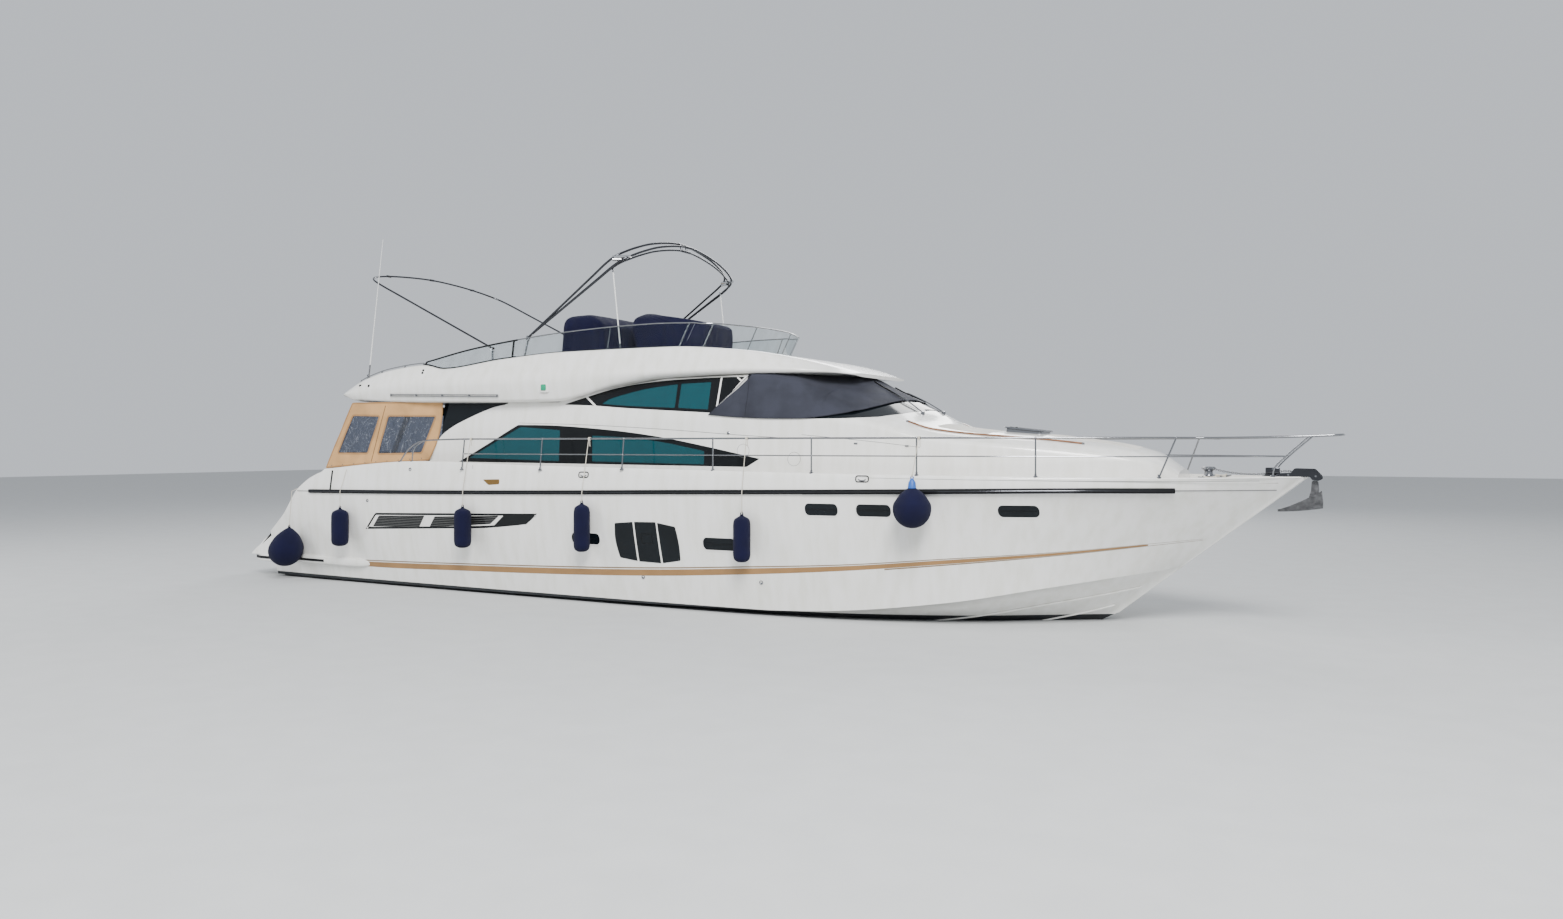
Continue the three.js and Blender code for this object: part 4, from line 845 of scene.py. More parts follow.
# Patches of the hull's own surface, cut to an outline of x, z
HULL_SKIN = {depth: hull_skin(depth, -0.012) for depth in (0.002, 0.006)}


def on_hull(outline, depth=0.002, hole=None):
    """The part of the hull's starboard skin inside an outline, outside a hole."""
    made = carve(HULL_SKIN[depth], [Shape().prism(outline, "y", -3.2, -0.08)], "INTERSECT")
    return carve(made, [Shape().prism(hole, "y", -3.3, -0.05)]) if hole else made


def outboard(shape, distance):
    """The shape a little further out to starboard."""
    return shape.moved(Matrix.Translation((0, -distance, 0)))


# Gold waterline stripe. Columns: x, top, bottom
STRIPE = [(-6.4, 0.372, 0.252), (-6.2, 0.376, 0.252), (-3.79, 0.437, 0.305), (-1.44, 0.507, 0.37),
          (0.47, 0.583, 0.45), (2.3, 0.69, 0.568), (3.97, 0.795, 0.702), (5.55, 0.938, 0.862),
          (7.24, 1.076, 1.036), (8.47, 1.198, 1.176), (8.9, 1.237, 1.221)]


def stripe_band(low, high, x0, x1, depth=0.002):
    """A band between two shares of the stripe's width, which may lie above it."""
    upper, lower = [], []
    for x in spread(x0, x1, 60):
        top, bottom = pchip(STRIPE, x)
        upper.append((x, bottom + (top - bottom) * high))
        lower.append((x, bottom + (top - bottom) * low))
    return on_hull([*lower, *reversed(upper)], depth)


def make_stripe(sign):
    made = stripe_band(0.0, 0.8, -6.4, 8.2)
    made.join(stripe_band(0.93, 1.08, -6.4, 8.9), 1)
    made.join(stripe_band(-0.3, -0.08, 4.6, 8.9), 1)
    return made.side(sign)


pair("waterline_stripe", make_stripe, ["gold", "bronze_line"], "gold_stripe")

# Windows and ports in the hull. Columns: x, z of the middle, half length, half height
PORTS = [(-0.79, 1.03, 0.30, 0.095), (1.86, 1.04, 0.30, 0.10), (3.68, 1.645, 0.27, 0.093),
         (4.51, 1.648, 0.27, 0.093), (6.6, 1.67, 0.28, 0.088)]


def port_outline(x, z, half, high, grow=0.0):
    line = [(x - half - grow, z - high * 0.45), (x - half * 0.86, z - high - grow),
            (x + half * 0.86, z - high - grow), (x + half + grow, z - high * 0.45),
            (x + half + grow, z + high * 0.45), (x + half * 0.86, z + high + grow),
            (x - half * 0.86, z + high + grow), (x - half - grow, z + high * 0.45)]
    return rounded(line, 0.05, 4)


PANELS = [
    rounded([(-0.15, 1.32), (0.215, 1.35), (0.245, 0.69), (-0.10, 0.735), (-0.172, 1.03)],
            [0.025, 0.01, 0.01, 0.025, 0.35], 6),
    rounded([(0.25, 1.352), (0.675, 1.36), (0.715, 0.675), (0.285, 0.686)], 0.01, 3),
    rounded([(0.71, 1.35), (1.05, 1.295), (1.105, 1.01), (1.10, 0.735), (0.755, 0.678)],
            [0.01, 0.025, 0.35, 0.025, 0.01], 6),
]


def make_ports(sign):
    made = Shape()
    for row in PORTS:
        rim = port_outline(*row, grow=0.022)
        made.join(on_hull(rim, 0.006, port_outline(*row)), 1)
        made.join(on_hull(port_outline(*row, grow=-0.001), 0.002), 0)
        x, z, half, _ = row
        bar = [(x - half * 0.9, z - 0.004), (x + half * 0.9, z - 0.004), (x + half * 0.9, z + 0.004),
               (x - half * 0.9, z + 0.004)]
        made.join(on_hull(bar, 0.006), 2)
    for panel in PANELS:
        made.join(on_hull(panel, 0.006), 0)
    opening = rounded([(0.36, 1.16), (0.58, 1.162), (0.595, 0.99), (0.375, 0.988)], 0.02, 3)
    made.join(outboard(on_hull(opening, 0.006, inset(opening, 0.012)), 0.002), 2)
    return made.side(sign)


pair("hull_ports", make_ports, ["dark_glass", "port_rim", "rubber"], "tinted_glass")

# Engine air intake: white outline in black, grilles, and a black tail
VENT = [(-6.19, 1.0), (-5.86, 1.325), (-1.81, 1.43), (-2.07, 1.23), (-3.02, 1.13)]
GRILLES = [[(-5.96, 1.06), (-5.76, 1.275), (-4.54, 1.312), (-4.71, 1.09)],
           [(-4.44, 1.10), (-4.28, 1.305), (-2.70, 1.365), (-2.92, 1.21)]]
TAIL = [(-2.86, 1.165), (-2.55, 1.40), (-1.83, 1.425), (-2.08, 1.235)]


def make_vent(sign):
    outer = rounded(VENT, [0.03, 0.03, 0.02, 0.3, 0.3], 4)
    made = on_hull(outer, 0.002, inset(outer, 0.035))
    made.join(on_hull(inset(outer, 0.04), 0.006), 1)
    for grille in GRILLES:
        backing = on_hull(rounded(grille, 0.02, 3), 0.006)
        made.join(outboard(backing, 0.002), 0)
        low, high = min(p[1] for p in grille), max(p[1] for p in grille)
        for k in range(1, 8):
            z = low + (high - low) * k / 8
            slat = [(-7, z - 0.004), (0, z - 0.004), (0, z + 0.004), (-7, z + 0.004)]
            part = carve(backing, [Shape().prism(slat, "y", -3.2, -0.1)], "INTERSECT")
            made.join(outboard(part, 0.004), 2)
    made.join(outboard(on_hull(rounded(TAIL, 0.01, 2), 0.006), 0.002), 0)
    return made.side(sign)


pair("air_intake", make_vent, ["black", "gelcoat", "slat"], "black_frame")


# Spray rails below the chine and a rounded capping along the chine itself
def spray_point(t, share):
    keel, chine = on_line(KEEL, t), on_line(CHINE, t)
    p = keel.lerp(Vector((chine.x, chine.y - 0.075, chine.z - 0.006)), share)
    return Vector((p.x, -p.y, p.z))


def make_spray_rails(sign):
    made = Shape()
    wedge = [(-0.03, 0.012), (0.028, 0.008), (0.034, -0.004), (0.028, -0.014), (-0.03, -0.004)]
    for share, start, end in ((0.68, 0.12, 0.955), (0.36, 0.30, 0.93)):
        line = [spray_point(t, share) for t in spread(start, end, 70)]
        sweep(made, line, wedge)
    return made.side(sign)


pair("spray_rails", make_spray_rails, ["gelcoat"], "gelcoat")


# Moulded ledge along the quarter, between the platform and the hull's side
def make_ledge(sign):
    """Its forward end is round in plan and in profile, and it fades into the hull's side."""
    rings = []
    count = 46
    for k in range(count + 1):
        x = -9.15 + 2.98 * k / count
        left = (-6.17 - x) / 0.42
        size = math.sqrt(max(0.0, 1 - max(0.0, 1 - left) ** 2)) if left < 1 else 1.0
        size = max(size, 0.03)
        wide = pchip([(-9.15, 0.0), (-8.6, 0.01), (-7.8, 0.03), (-6.7, 0.035), (-5.9, 0.03)], x)[0]
        hull_y = at_x(CHINE, x).y
        out = -(hull_y + 0.135 + wide * 1.6)
        back = -(hull_y - 0.10)
        middle, half = 0.308, 0.098 * size
        reach = back + (out - back) * (0.35 + 0.65 * size)
        ring = []
        for depth, height in ((0, -0.7), (0.45, -0.96), (0.80, -0.82), (0.95, -0.5), (1, -0.1), (1, 0.35),
                              (0.96, 0.72), (0.86, 0.95), (0.70, 1.0), (0, 1.0)):
            ring.append((x, back + (reach - back) * depth, middle + half * height))
        rings.append(ring)
    made = Shape().loft(rings)
    strip = [(ring[4][0], ring[4][1] - 0.003, 0.312) for ring in rings[:27]]
    sweep(made, strip, [(-0.006, -0.026), (0.004, -0.023), (0.008, 0.0), (0.004, 0.023), (-0.006, 0.026)],
          1)
    return made.side(sign)


pair("side_ledge", make_ledge, ["gelcoat", "rubber"], "gelcoat")


# Swim platform with planked top, rubber edge and the feet of the quarter wings
def platform_outline(pull):
    """The platform's edge in plan, pulled in all round."""
    line = curve([(-9.151, 2.33 - pull), (-9.53, 2.30 - pull), (-9.83 + pull * 0.7, 2.15 - pull * 0.7),
                  (-9.948 + pull, 1.80)])
    return line + [(x, -y) for x, y in reversed(line)]


def make_platform():
    rings = []
    for z, pull in ((0.205, 0.03), (0.215, 0.012), (0.24, 0.0), (0.325, 0.0), (0.348, 0.010),
                    (0.36, 0.032)):
        rings.append([(x, y, z) for x, y in platform_outline(pull)])
    made = Shape().loft(rings)
    made.block((-9.16, -2.0597, 0.21), (-8.3003, 2.0597, 0.36), 0.004)
    return made


def make_platform_teak():
    line = rounded([(-8.34, 1.98), (-9.12, 1.98), (-9.16, 2.02), (-9.50, 2.01), (-9.72, 1.90),
                    (-9.80, 1.66), (-9.80, -1.66), (-9.72, -1.90), (-9.50, -2.01), (-9.16, -2.02),
                    (-9.12, -1.98), (-8.34, -1.98)], 0.05, 4)
    return Shape().prism(line, "z", 0.355, 0.368)


def make_platform_edge():
    line = [Vector((x, y, 0.285)) for x, y in platform_outline(0.0)]
    made = Shape()
    return sweep(made, list(reversed(line)), [(-0.004, -0.028), (0.002, -0.028), (0.010, -0.018),
                                              (0.012, 0.0), (0.010, 0.018), (0.002, 0.028),
                                              (-0.004, 0.028)])


def make_wing_feet(sign):
    side = curve([(-9.152, 0.345), (-9.152, 0.62), (-9.152, 0.835)], 2)
    slope = curve([(-9.152, 0.835), (-9.30, 0.745), (-9.43, 0.67), (-9.59, 0.545), (-9.75, 0.43),
                   (-9.86, 0.345)], 5)
    outline = [*side, *slope[1:]]
    rings = []
    for y, pull in ((-2.075, 0.03), (-2.085, 0.008), (-2.10, 0.0), (-2.24, 0.0), (-2.275, 0.012),
                    (-2.30, 0.05)):
        ring = []
        for x, z in outline:
            away = pull if x < -9.16 else 0
            ring.append((x + away * 0.8, y + (0.0 if z > 0.5 else -0.01), max(0.345, z - away)))
        rings.append(ring)
    return Shape().loft(rings).side(sign)


piece("swim_platform_moulding", make_platform(), ["gelcoat"], slot="gelcoat", replaces=("swim_platform",))
piece("swim_platform_planks", make_platform_teak(), ["teak"], slot="teak")
piece("swim_platform_edge", make_platform_edge(), ["rubber"], slot="rubber")
pair("wing_foot", make_wing_feet, ["gelcoat"], "gelcoat")


def tree_of(shape):
    """A search tree of a shape's faces."""
    return BVHTree.FromPolygons([tuple(v) for v in shape.verts], shape.faces)


HULL_TREE = tree_of(hull_loft())


def surface_y(x, z):
    """The hull's starboard side at x, z."""
    place, _, _, _ = HULL_TREE.ray_cast(Vector((x, -6, z)), Vector((0, 1, 0)))
    return place.y if place else -2.5


# Small hull fittings: drains, and a copper vent with its louvres
def make_hull_fittings(sign):
    made = Shape()
    for x, z, r in ((0.32, 0.42, 0.022), (2.55, 0.45, 0.022), (-6.05, 1.56, 0.02), (-4.93, 2.17, 0.022)):
        y = surface_y(x, z)
        made.lathe([(r * 1.6, -0.01), (r * 1.6, 0.004), (r * 1.2, 0.009), (r, 0.009), (r * 0.8, 0.0),
                    (0, -0.002)],
                   (x, y, z), (0, -1, 0), 16)
    y = surface_y(-2.87, 1.965)
    cover = rounded([(-3.06, 2.01), (-2.68, 2.02), (-2.68, 1.93), (-2.93, 1.912)], 0.02, 3)
    made.prism(cover, "y", y - 0.008, y + 0.02, 1)
    for k in range(3):
        z = 1.945 + k * 0.024
        made.block((-2.98, y - 0.012, z - 0.004), (-2.70, y - 0.004, z + 0.004), 0.002, 1, 1)
    return made.side(sign)


pair("skin_fittings", make_hull_fittings, ["stainless", "bronze"], "stainless")


# Deckhouse. Columns: x, half-breadths and heights of base, shoulder and roof edge, height at the centre
HOUSE = [
    (-4.9, 2.1, 2.105, 2.9, 2.01, 3.56, 3.6),
    (-2.0, 2.1, 2.095, 2.95, 1.96, 3.7, 3.75),
    (0.4, 2.08, 2.06, 3.08, 1.89, 3.83, 3.88),
    (2.05, 2.03, 1.99, 3.08, 1.81, 3.83, 3.9),
    (2.7, 1.98, 1.92, 3.07, 1.69, 3.73, 3.88),
    (3.35, 1.91, 1.85, 3.06, 1.62, 3.38, 3.79),
    (3.8, 1.85, 1.79, 3.04, 1.6, 3.15, 3.575),
    (4.53, 1.74, 1.66, 2.88, 1.45, 2.99, 3.225),
    (5.0, 1.66, 1.56, 2.76, 1.33, 2.86, 2.97),
    (7.0, 1.23, 1.12, 2.56, 0.9, 2.66, 2.76),
    (8.2, 0.8, 0.72, 2.39, 0.56, 2.47, 2.54),
    (8.6, 0.6, 0.56, 2.18, 0.45, 2.23, 2.27),
]
ROOF_LINE = [(-7.4, 3.66), (-6.73, 3.485), (-1.8, 3.4), (-0.44, 3.66), (0.44, 3.765), (2.05, 3.8),
             (3.9, 3.8)]


def house_half(x, grow, base_z):
    """One side of a section of the house from its base to its crown."""
    base_y, shoulder_y, shoulder_z, top_y, top_z, crown_z = pchip(HOUSE, x)
    corners = [(base_y + grow, base_z), (shoulder_y + grow, shoulder_z + grow * 0.4),
               (top_y + grow * 0.8, top_z + grow * 0.8)]
    edge_y, edge_z = corners[2]
    crown = crown_z + grow
    roof = [(edge_y * (1 - k / 10),
             edge_z + (crown - edge_z) * (1 - (1 - k / 10) ** 2)) for k in range(1, 10)]
    line = [*corners, *roof]
    side = [Vector((corners[0][0], corners[0][1])).lerp(Vector(corners[1]), k / 5) for k in range(5)]
    smooth = rounded([side[-1], corners[1], corners[2], Vector(line[4])], 0.11, 5, closed=False)
    made = [Vector((x, p[0], p[1])) for p in [*side, *smooth[1:], *[Vector(p) for p in roof[2:]]]]
    made.append(Vector((x, 0.02, crown)))
    return made


def house_loft(grow=0.0, base_z=DECK_Z + 0.0003, start=-4.9, end=8.6, step=0.1):
    count = max(2, round((end - start) / step)) + 1
    rings = []
    for k in range(count):
        half = house_half(start + (end - start) * k / (count - 1), grow, base_z)
        rings.append(half + flipped(half))
    return Shape().loft(rings)


def above_roof(lift):
    """Everything above the line where the flying bridge begins."""
    line = [(x, z + lift) for x, z in ROOF_LINE]
    return Shape().prism([*line, (3.9, 5.0), (-7.4, 5.0)], "y", -3.5, 3.5)


# The swept edge at the house's after end
SWOOSH = [(-4.9, 2.3), (-4.78, 2.56), (-4.6, 2.79), (-4.3, 2.98), (-4.0, 3.11), (-3.35, 3.33),
          (-2.99, 3.392)]


def side_tool(outline, sign=-1):
    """A prism through one side of the house, from outside to the middle."""
    return Shape().prism(outline, "y", *((-2.6, -0.9) if sign < 0 else (0.9, 2.6)))


# Window openings, and the panes in them
SALOON_OUT = rounded([*curve([(-4.13, 2.315), (-3.4, 2.655), (-2.70, 2.995)], 3),
                      *curve([(-2.66, 3.0), (-1.9, 2.985), (-1.04, 2.93), (-0.18, 2.85), (0.65, 2.735),
                              (1.28, 2.62), (1.94, 2.49), (2.33, 2.41)], 4),
                      (2.10, 2.275), (-1.0, 2.298)], 0.012, 2)
SALOON_PANES = [
    rounded([(-3.86, 2.39), (-3.2, 2.70), (-2.62, 2.965), (-1.71, 2.90), (-1.73, 2.345)],
            [0.03, 0.3, 0.04, 0.02, 0.02], 4),
    rounded([(-1.0, 2.345), (-1.0, 2.80), (-0.18, 2.765), (0.48, 2.69), (1.30, 2.535), (1.30, 2.31)],
            [0.02, 0.02, 0.3, 0.3, 0.02, 0.02], 4),
]
UPPER_OUT = rounded([*curve([(-1.66, 3.362), (-1.40, 3.43), (-1.19, 3.482), (-0.66, 3.61), (-0.13, 3.69),
                             (0.43, 3.735), (0.95, 3.755), (1.51, 3.765), (1.96, 3.765)], 4),
                     (1.70, 3.46), (1.40, 3.17),
                     *curve([(1.36, 3.172), (0.44, 3.225), (-0.40, 3.278), (-1.0, 3.325), (-1.62, 3.352)],
                            4)],
                    0.008, 2)
UPPER_PANES = [
    rounded([(-0.84, 3.355), (-0.70, 3.435), *curve([(-0.45, 3.50), (0.05, 3.60), (0.69, 3.67)], 4),
             (0.69, 3.262), (-0.3, 3.31)], 0.02, 3),
    rounded([(0.755, 3.26), (0.755, 3.675), (1.34, 3.69), (1.34, 3.225)], 0.02, 3),
]


def make_house():
    shell = carve(house_loft(), [house_loft(-0.07, 1.9, -5.2, 6.9), above_roof(-0.0003)])
    tools = [side_tool(outline, sign) for outline in (SALOON_OUT, UPPER_OUT) for sign in (-1, 1)]
    tools.append(box_tool(2.95, 4.18, -1.44, 1.44, 3.08, 4.2))
    sweep_line = curve([(-5.0, 2.0), *SWOOSH])
    tools.append(Shape().prism([*sweep_line, (-2.9, 3.7), (-5.4, 3.7), (-5.4, 2.0)], "y", -3.5, 3.5))
    return carve(shell, tools)


piece("deckhouse_moulding", make_house(), ["gelcoat"], slot="gelcoat", replaces=("deckhouse",))


def house_skin(out, inner, start=-4.9, end=6.9):
    return carve(house_loft(out, start=start, end=end), [house_loft(inner, 1.9, start - 0.2, end + 0.2)])


# Skins of the house that the windows' parts are cut from: how far out and in each one reaches
SURROUND, PANE, BAR = (0.001, -0.014), (-0.004, -0.011), (0.004, -0.012)
HOUSE_SKIN = {depth: house_skin(*depth, -4.4, 2.4) for depth in (SURROUND, PANE, BAR)}


def on_house(outline, depth, holes=()):
    """The part of a skin of the house inside an outline, to starboard."""
    made = carve(HOUSE_SKIN[depth], [side_tool(outline)], "INTERSECT")
    return carve(made, [side_tool(hole) for hole in holes]) if holes else made


def strip(a, b, width):
    """A narrow outline from a to b."""
    a, b = Vector(a), Vector(b)
    side = (b - a).normalized() * (width / 2)
    side = Vector((-side.y, side.x))
    return [a + side, b + side, b - side, a - side]


def make_windows():
    for name, outline, panes in (("saloon_window", SALOON_OUT, SALOON_PANES),
                                 ("upper_window", UPPER_OUT, UPPER_PANES)):
        glazing = Shape()
        for line in panes:
            glazing.join(on_house(inset(line, -0.006), PANE))
        surround = on_house(inset(outline, 0.002), SURROUND, panes)
        pair(name + "_panes", lambda s, g=glazing: g.side(s), ["teal_glass"], "tinted_glass", name)
        pair(name + "_surround", lambda s, g=surround: g.side(s), ["black"], "black_frame")
    bars = Shape()
    for a, b, width in (((-1.21, 3.50), (-0.96, 3.31), 0.034), ((1.53, 3.79), (1.50, 3.15), 0.03),
                        ((1.82, 3.76), (1.93, 3.68), 0.024)):
        tool = side_tool(strip(a, b, width))
        part = carve(on_house(UPPER_OUT, BAR), [tool], "INTERSECT")
        bars.join(part)
    pair("window_bars", lambda s: bars.side(s), ["gelcoat"], "gelcoat")


make_windows()


def house_side_y(x, z):
    """The house's starboard side at x, z."""
    half = house_half(x, 0.0, DECK_Z)
    for a, b in zip(half, half[1:]):
        if a.z <= z <= b.z:
            return -(a.y + (b.y - a.y) * (z - a.z) / max(b.z - a.z, 1e-6))
    return -half[-3].y


def make_blinds(sign):
    """Slatted blinds close behind the upper panes."""
    made = Shape()
    slat = [(0.0, -0.004), (0.012, -0.001), (0.013, 0.001), (0.0, 0.006)]
    for k in range(22):
        z = 3.245 + k * 0.0205
        start = -0.86 + max(0, z - 3.42) * 2.6
        for x0, x1 in ((start, 0.70), (0.75, 1.36)):
            if x1 - x0 < 0.2:
                continue
            places = [(x, house_side_y(x, z) + 0.04) for x in (x0, (x0 + x1) / 2, x1)]
            made.loft([[(x, y + a, z + b) for a, b in slat] for x, y in places])
    return made.side(sign)


pair("window_blinds", make_blinds, ["blind"], "white_vinyl")


# A shallow moulded line over the saloon windows, seams and small fittings on the house side
def house_line(points, radius, mat=0, lift=0.0):
    made = Shape()
    return made.tube([(p[0], house_side_y(p[0], p[1]) - lift, p[1]) for p in curve(points, 8)], radius, 6,
                     mat)


def make_house_lines(sign):
    made = house_line([(-2.66, 3.035), (-1.07, 2.985), (0.62, 2.892), (2.07, 2.79), (2.9, 2.74)], 0.004)
    for x, z in ((2.03, 2.54), (2.93, 2.41)):
        ring = [(x + 0.11 * math.cos(a), z + 0.11 * math.sin(a)) for a in angles(24)]
        made.tube([(p[0], house_side_y(*p), p[1]) for p in ring], 0.003, 5, 0, closed=True)
    made.join(house_line([(3.05, 2.80), (4.1, 2.70), (4.95, 2.60)], 0.0035))
    y = house_side_y(1.75, 2.83)
    made.lathe([(0.028, -0.004), (0.028, 0.004), (0.02, 0.009), (0.012, 0.006), (0, 0.006)],
               (1.75, y, 2.83), (0, -1, 0.08), 20, 1)
    for x, z in ((3.95, 2.66), (4.75, 2.62)):
        y = house_side_y(x, z)
        made.block((x - 0.03, y - 0.016, z - 0.012), (x + 0.03, y + 0.004, z + 0.012), 0.006, 2, 1)
    return made.side(sign)


pair("house_lines", make_house_lines, ["shadow", "stainless"], "gelcoat")


# Trim strips on the coachroof's edges, in brown wood with bright ends
def roof_point(x, share, lift=0.0):
    """A point on the coachroof at a share of the way from its edge to its middle."""
    _, _, _, top_y, top_z, crown_z = pchip(HOUSE, x)
    y = top_y * (1 - share)
    return Vector((x, -y, top_z + (crown_z - top_z) * (1 - (1 - share) ** 2) + lift))


def make_roof_trim(sign):
    made = Shape()
    start, end, share = 4.62, 7.25, 0.10
    line = [roof_point(x, share, 0.012) for x in spread(start, end, 40)]
    sweep(made, line, [(-0.018, -0.012), (0.018, -0.012), (0.022, 0.002), (0.014, 0.014), (-0.014, 0.014),
                       (-0.022, 0.002)])
    for p in (line[0], line[-1]):
        made.lathe([(0.026, -0.02), (0.028, 0.0), (0.02, 0.012), (0, 0.016)], p, (0, 0, 1), 14, 1)
    return made.side(sign)


pair("coachroof_trim", make_roof_trim, ["varnish", "stainless"], "teak")


# Windscreen: black glass low on the roof's slope, seen under and ahead of its cover
GLASS_SIDE = [(2.02, 3.86), (1.98, 3.14), (2.6, 3.075), (3.2, 3.055), (3.8, 3.062), (4.2, 3.085),
              (4.42, 3.135), (4.56, 3.20), (4.50, 3.30), (4.2, 3.45), (3.7, 3.79), (3.7, 3.86)]
SCREEN_SKIN = {depth: house_skin(*depth, 1.9, 4.8) for depth in ((0.005, -0.012), (0.009, 0.002))}


def make_windscreen():
    pane = carve(SCREEN_SKIN[(0.005, -0.012)], [Shape().prism(GLASS_SIDE, "y", -2.6, 2.6)], "INTERSECT")
    return carve(pane, [above_roof(-0.002)])


def make_screen_bars():
    made = Shape()
    for y in (-0.52, 0.52):
        bar = carve(SCREEN_SKIN[(0.009, 0.002)], [box_tool(3.0, 4.50, y - 0.02, y + 0.02, 3.05, 3.79)],
                    "INTERSECT")
        made.join(bar)
    return made


piece("windscreen_panes", make_windscreen(), ["dark_glass"], slot="tinted_glass",
      replaces=("windscreen",))
piece("windscreen_bars", make_screen_bars(), ["black"], slot="black_frame")


def house_top(x, y, lift):
    """A point above the roof's crowned top."""
    _, _, _, top_y, top_z, crown_z = pchip(HOUSE, x)
    share = min(1.0, abs(y) / top_y)
    return Vector((x, y, top_z + (crown_z - top_z) * (1 - share**2) + lift))


def make_wipers():
    """Two wipers parked up the screen, each with a pivot, twin arms and a blade."""
    made = Shape()
    for base_y, tip_y in ((-0.62, -0.30), (0.36, 0.62)):
        base = house_top(4.62, base_y, 0.03)
        tip = house_top(3.86, tip_y, 0.065)
        made.lathe([(0.035, -0.04), (0.035, 0.0), (0.028, 0.02), (0, 0.024)], base, (0.25, 0, 1), 16)
        for offset in (-0.02, 0.02):
            line = [base.lerp(tip, k / 10) + Vector((0, offset, 0.02 * math.sin(math.pi * k / 10)))
                    for k in range(11)]
            made.tube(line, 0.007, 8)
        blade = [house_top(3.60 + 0.62 * k / 12, tip_y + 0.05 - 0.12 * k / 12, 0.05) for k in range(13)]
        sweep(made, blade, [(-0.006, -0.014), (0.006, -0.014), (0.008, 0.008), (-0.008, 0.008)], 1)
    return made


piece("wipers", make_wipers(), ["stainless", "rubber"], slot="stainless")


# Mesh cover over the windscreen: one cloth across both sides and the front, with folds from its corners
COVER_LOW = [(1.37, 3.135), (2.0, 3.085), (2.6, 3.062), (3.04, 3.058), (3.4, 3.085), (3.8, 3.14),
             (4.05, 3.235), (4.24, 3.37)]
COVER_STEPS = 22
COVER_AFT, COVER_CORNER, COVER_TOP = 1.37, 2.06, 3.79


def cover_point(x, z):
    """Where the cloth lies at x and height z to starboard, with its folds."""
    half = house_half(x, 0.0, DECK_Z)
    place, out = half[-1].copy(), Vector((0, 0, 1))
    for a, b in zip(half, half[1:]):
        if a.z <= z <= b.z:
            along = b - a
            place = a.lerp(b, (z - a.z) / max(b.z - a.z, 1e-6))
            out = Vector((0, along.z, -along.y)).normalized()
            break
    low = pchip(COVER_LOW, x)[0]
    tension = min(1, (z - low) / 0.25)
    crease = math.exp(-((z - 3.80 + (x - 2.65) * 0.55) / 0.035) ** 2) * 0.012
    fan = math.sin(9 * (x * 0.55 + z * 1.4) + 2.5 * noise.noise(Vector((x * 1.3, z * 1.7, 4.0)))) * 0.006
    small = noise.noise(Vector((x * 5.0 + z * 2.0, z * 9.0, 1.0))) * 0.006
    place += out * (0.026 + crease + (fan + small) * (0.35 + 0.65 * tension))
    return place


def cover_half():
    """Rows of the starboard half from its lower edge up, and whether each one meets the port half."""
    rows = []
    for i in range(73):
        x = COVER_AFT + 2.87 * i / 72
        low = pchip(COVER_LOW, x)[0]
        crown = pchip(HOUSE, x)[5]
        limit = COVER_TOP if x > COVER_CORNER else low + (3.792 - 3.135) * (x - COVER_AFT) / 0.69
        high = min(limit, crown)
        closes = crown <= COVER_TOP + 1e-6 and x > COVER_CORNER
        row = []
        for k in range(COVER_STEPS + 1):
            share = k / COVER_STEPS
            z = low + (high - low) * (share if not closes else math.sin(share * math.pi / 2))
            p = cover_point(x, z - (0.0005 if k == COVER_STEPS else 0))
            if closes and k == COVER_STEPS:
                p = Vector((x, 0, crown + 0.03))
            row.append(Vector((p.x, -abs(p.y), p.z)))
        rows.append((row, closes))
    return rows


def thick_sheet(verts, faces, thickness):
    """A closed thin sheet from one layer of faces, with its rim."""
    bm = bmesh.new()
    made = [bm.verts.new(v) for v in verts]
    for f in faces:
        if len(set(f)) > 2:
            bm.faces.new([made[i] for i in dict.fromkeys(f)])
    bmesh.ops.remove_doubles(bm, verts=bm.verts, dist=1e-5)
    bmesh.ops.dissolve_degenerate(bm, edges=bm.edges, dist=1e-5)
    bmesh.ops.recalc_face_normals(bm, faces=bm.faces)
    bm.verts.index_update()
    bm.normal_update()
    count = len(bm.verts)
    places = [v.co.copy() for v in bm.verts] + [v.co - v.normal * thickness for v in bm.verts]
    walls = [[v.index for v in f.verts] for f in bm.faces]
    walls += [[count + i for i in reversed(f)] for f in walls]
    for edge in bm.edges:
        if edge.is_boundary:
            loop = edge.link_loops[0]
            a, b = loop.vert.index, loop.link_loop_next.vert.index
            walls.append([b, a, count + a, count + b])
    bm.free()
    return Shape().add(places, walls)


def make_cover():
    rows = cover_half()
    verts, faces, index = [], [], {}
    for side in (-1, 1):
        for i, (row, closes) in enumerate(rows):
            for k, p in enumerate(row):
                if side > 0 and closes and k == COVER_STEPS:
                    index[(side, i, k)] = index[(-1, i, k)]
                    continue
                index[(side, i, k)] = len(verts)
                verts.append(Vector((p.x, p.y * -side, p.z)))
        for i in range(len(rows) - 1):
            for k in range(COVER_STEPS):
                face = [index[(side, i, k)], index[(side, i + 1, k)], index[(side, i + 1, k + 1)],
                        index[(side, i, k + 1)]]
                faces.append(face if side < 0 else face[::-1])
    return thick_sheet(verts, faces, 0.003)


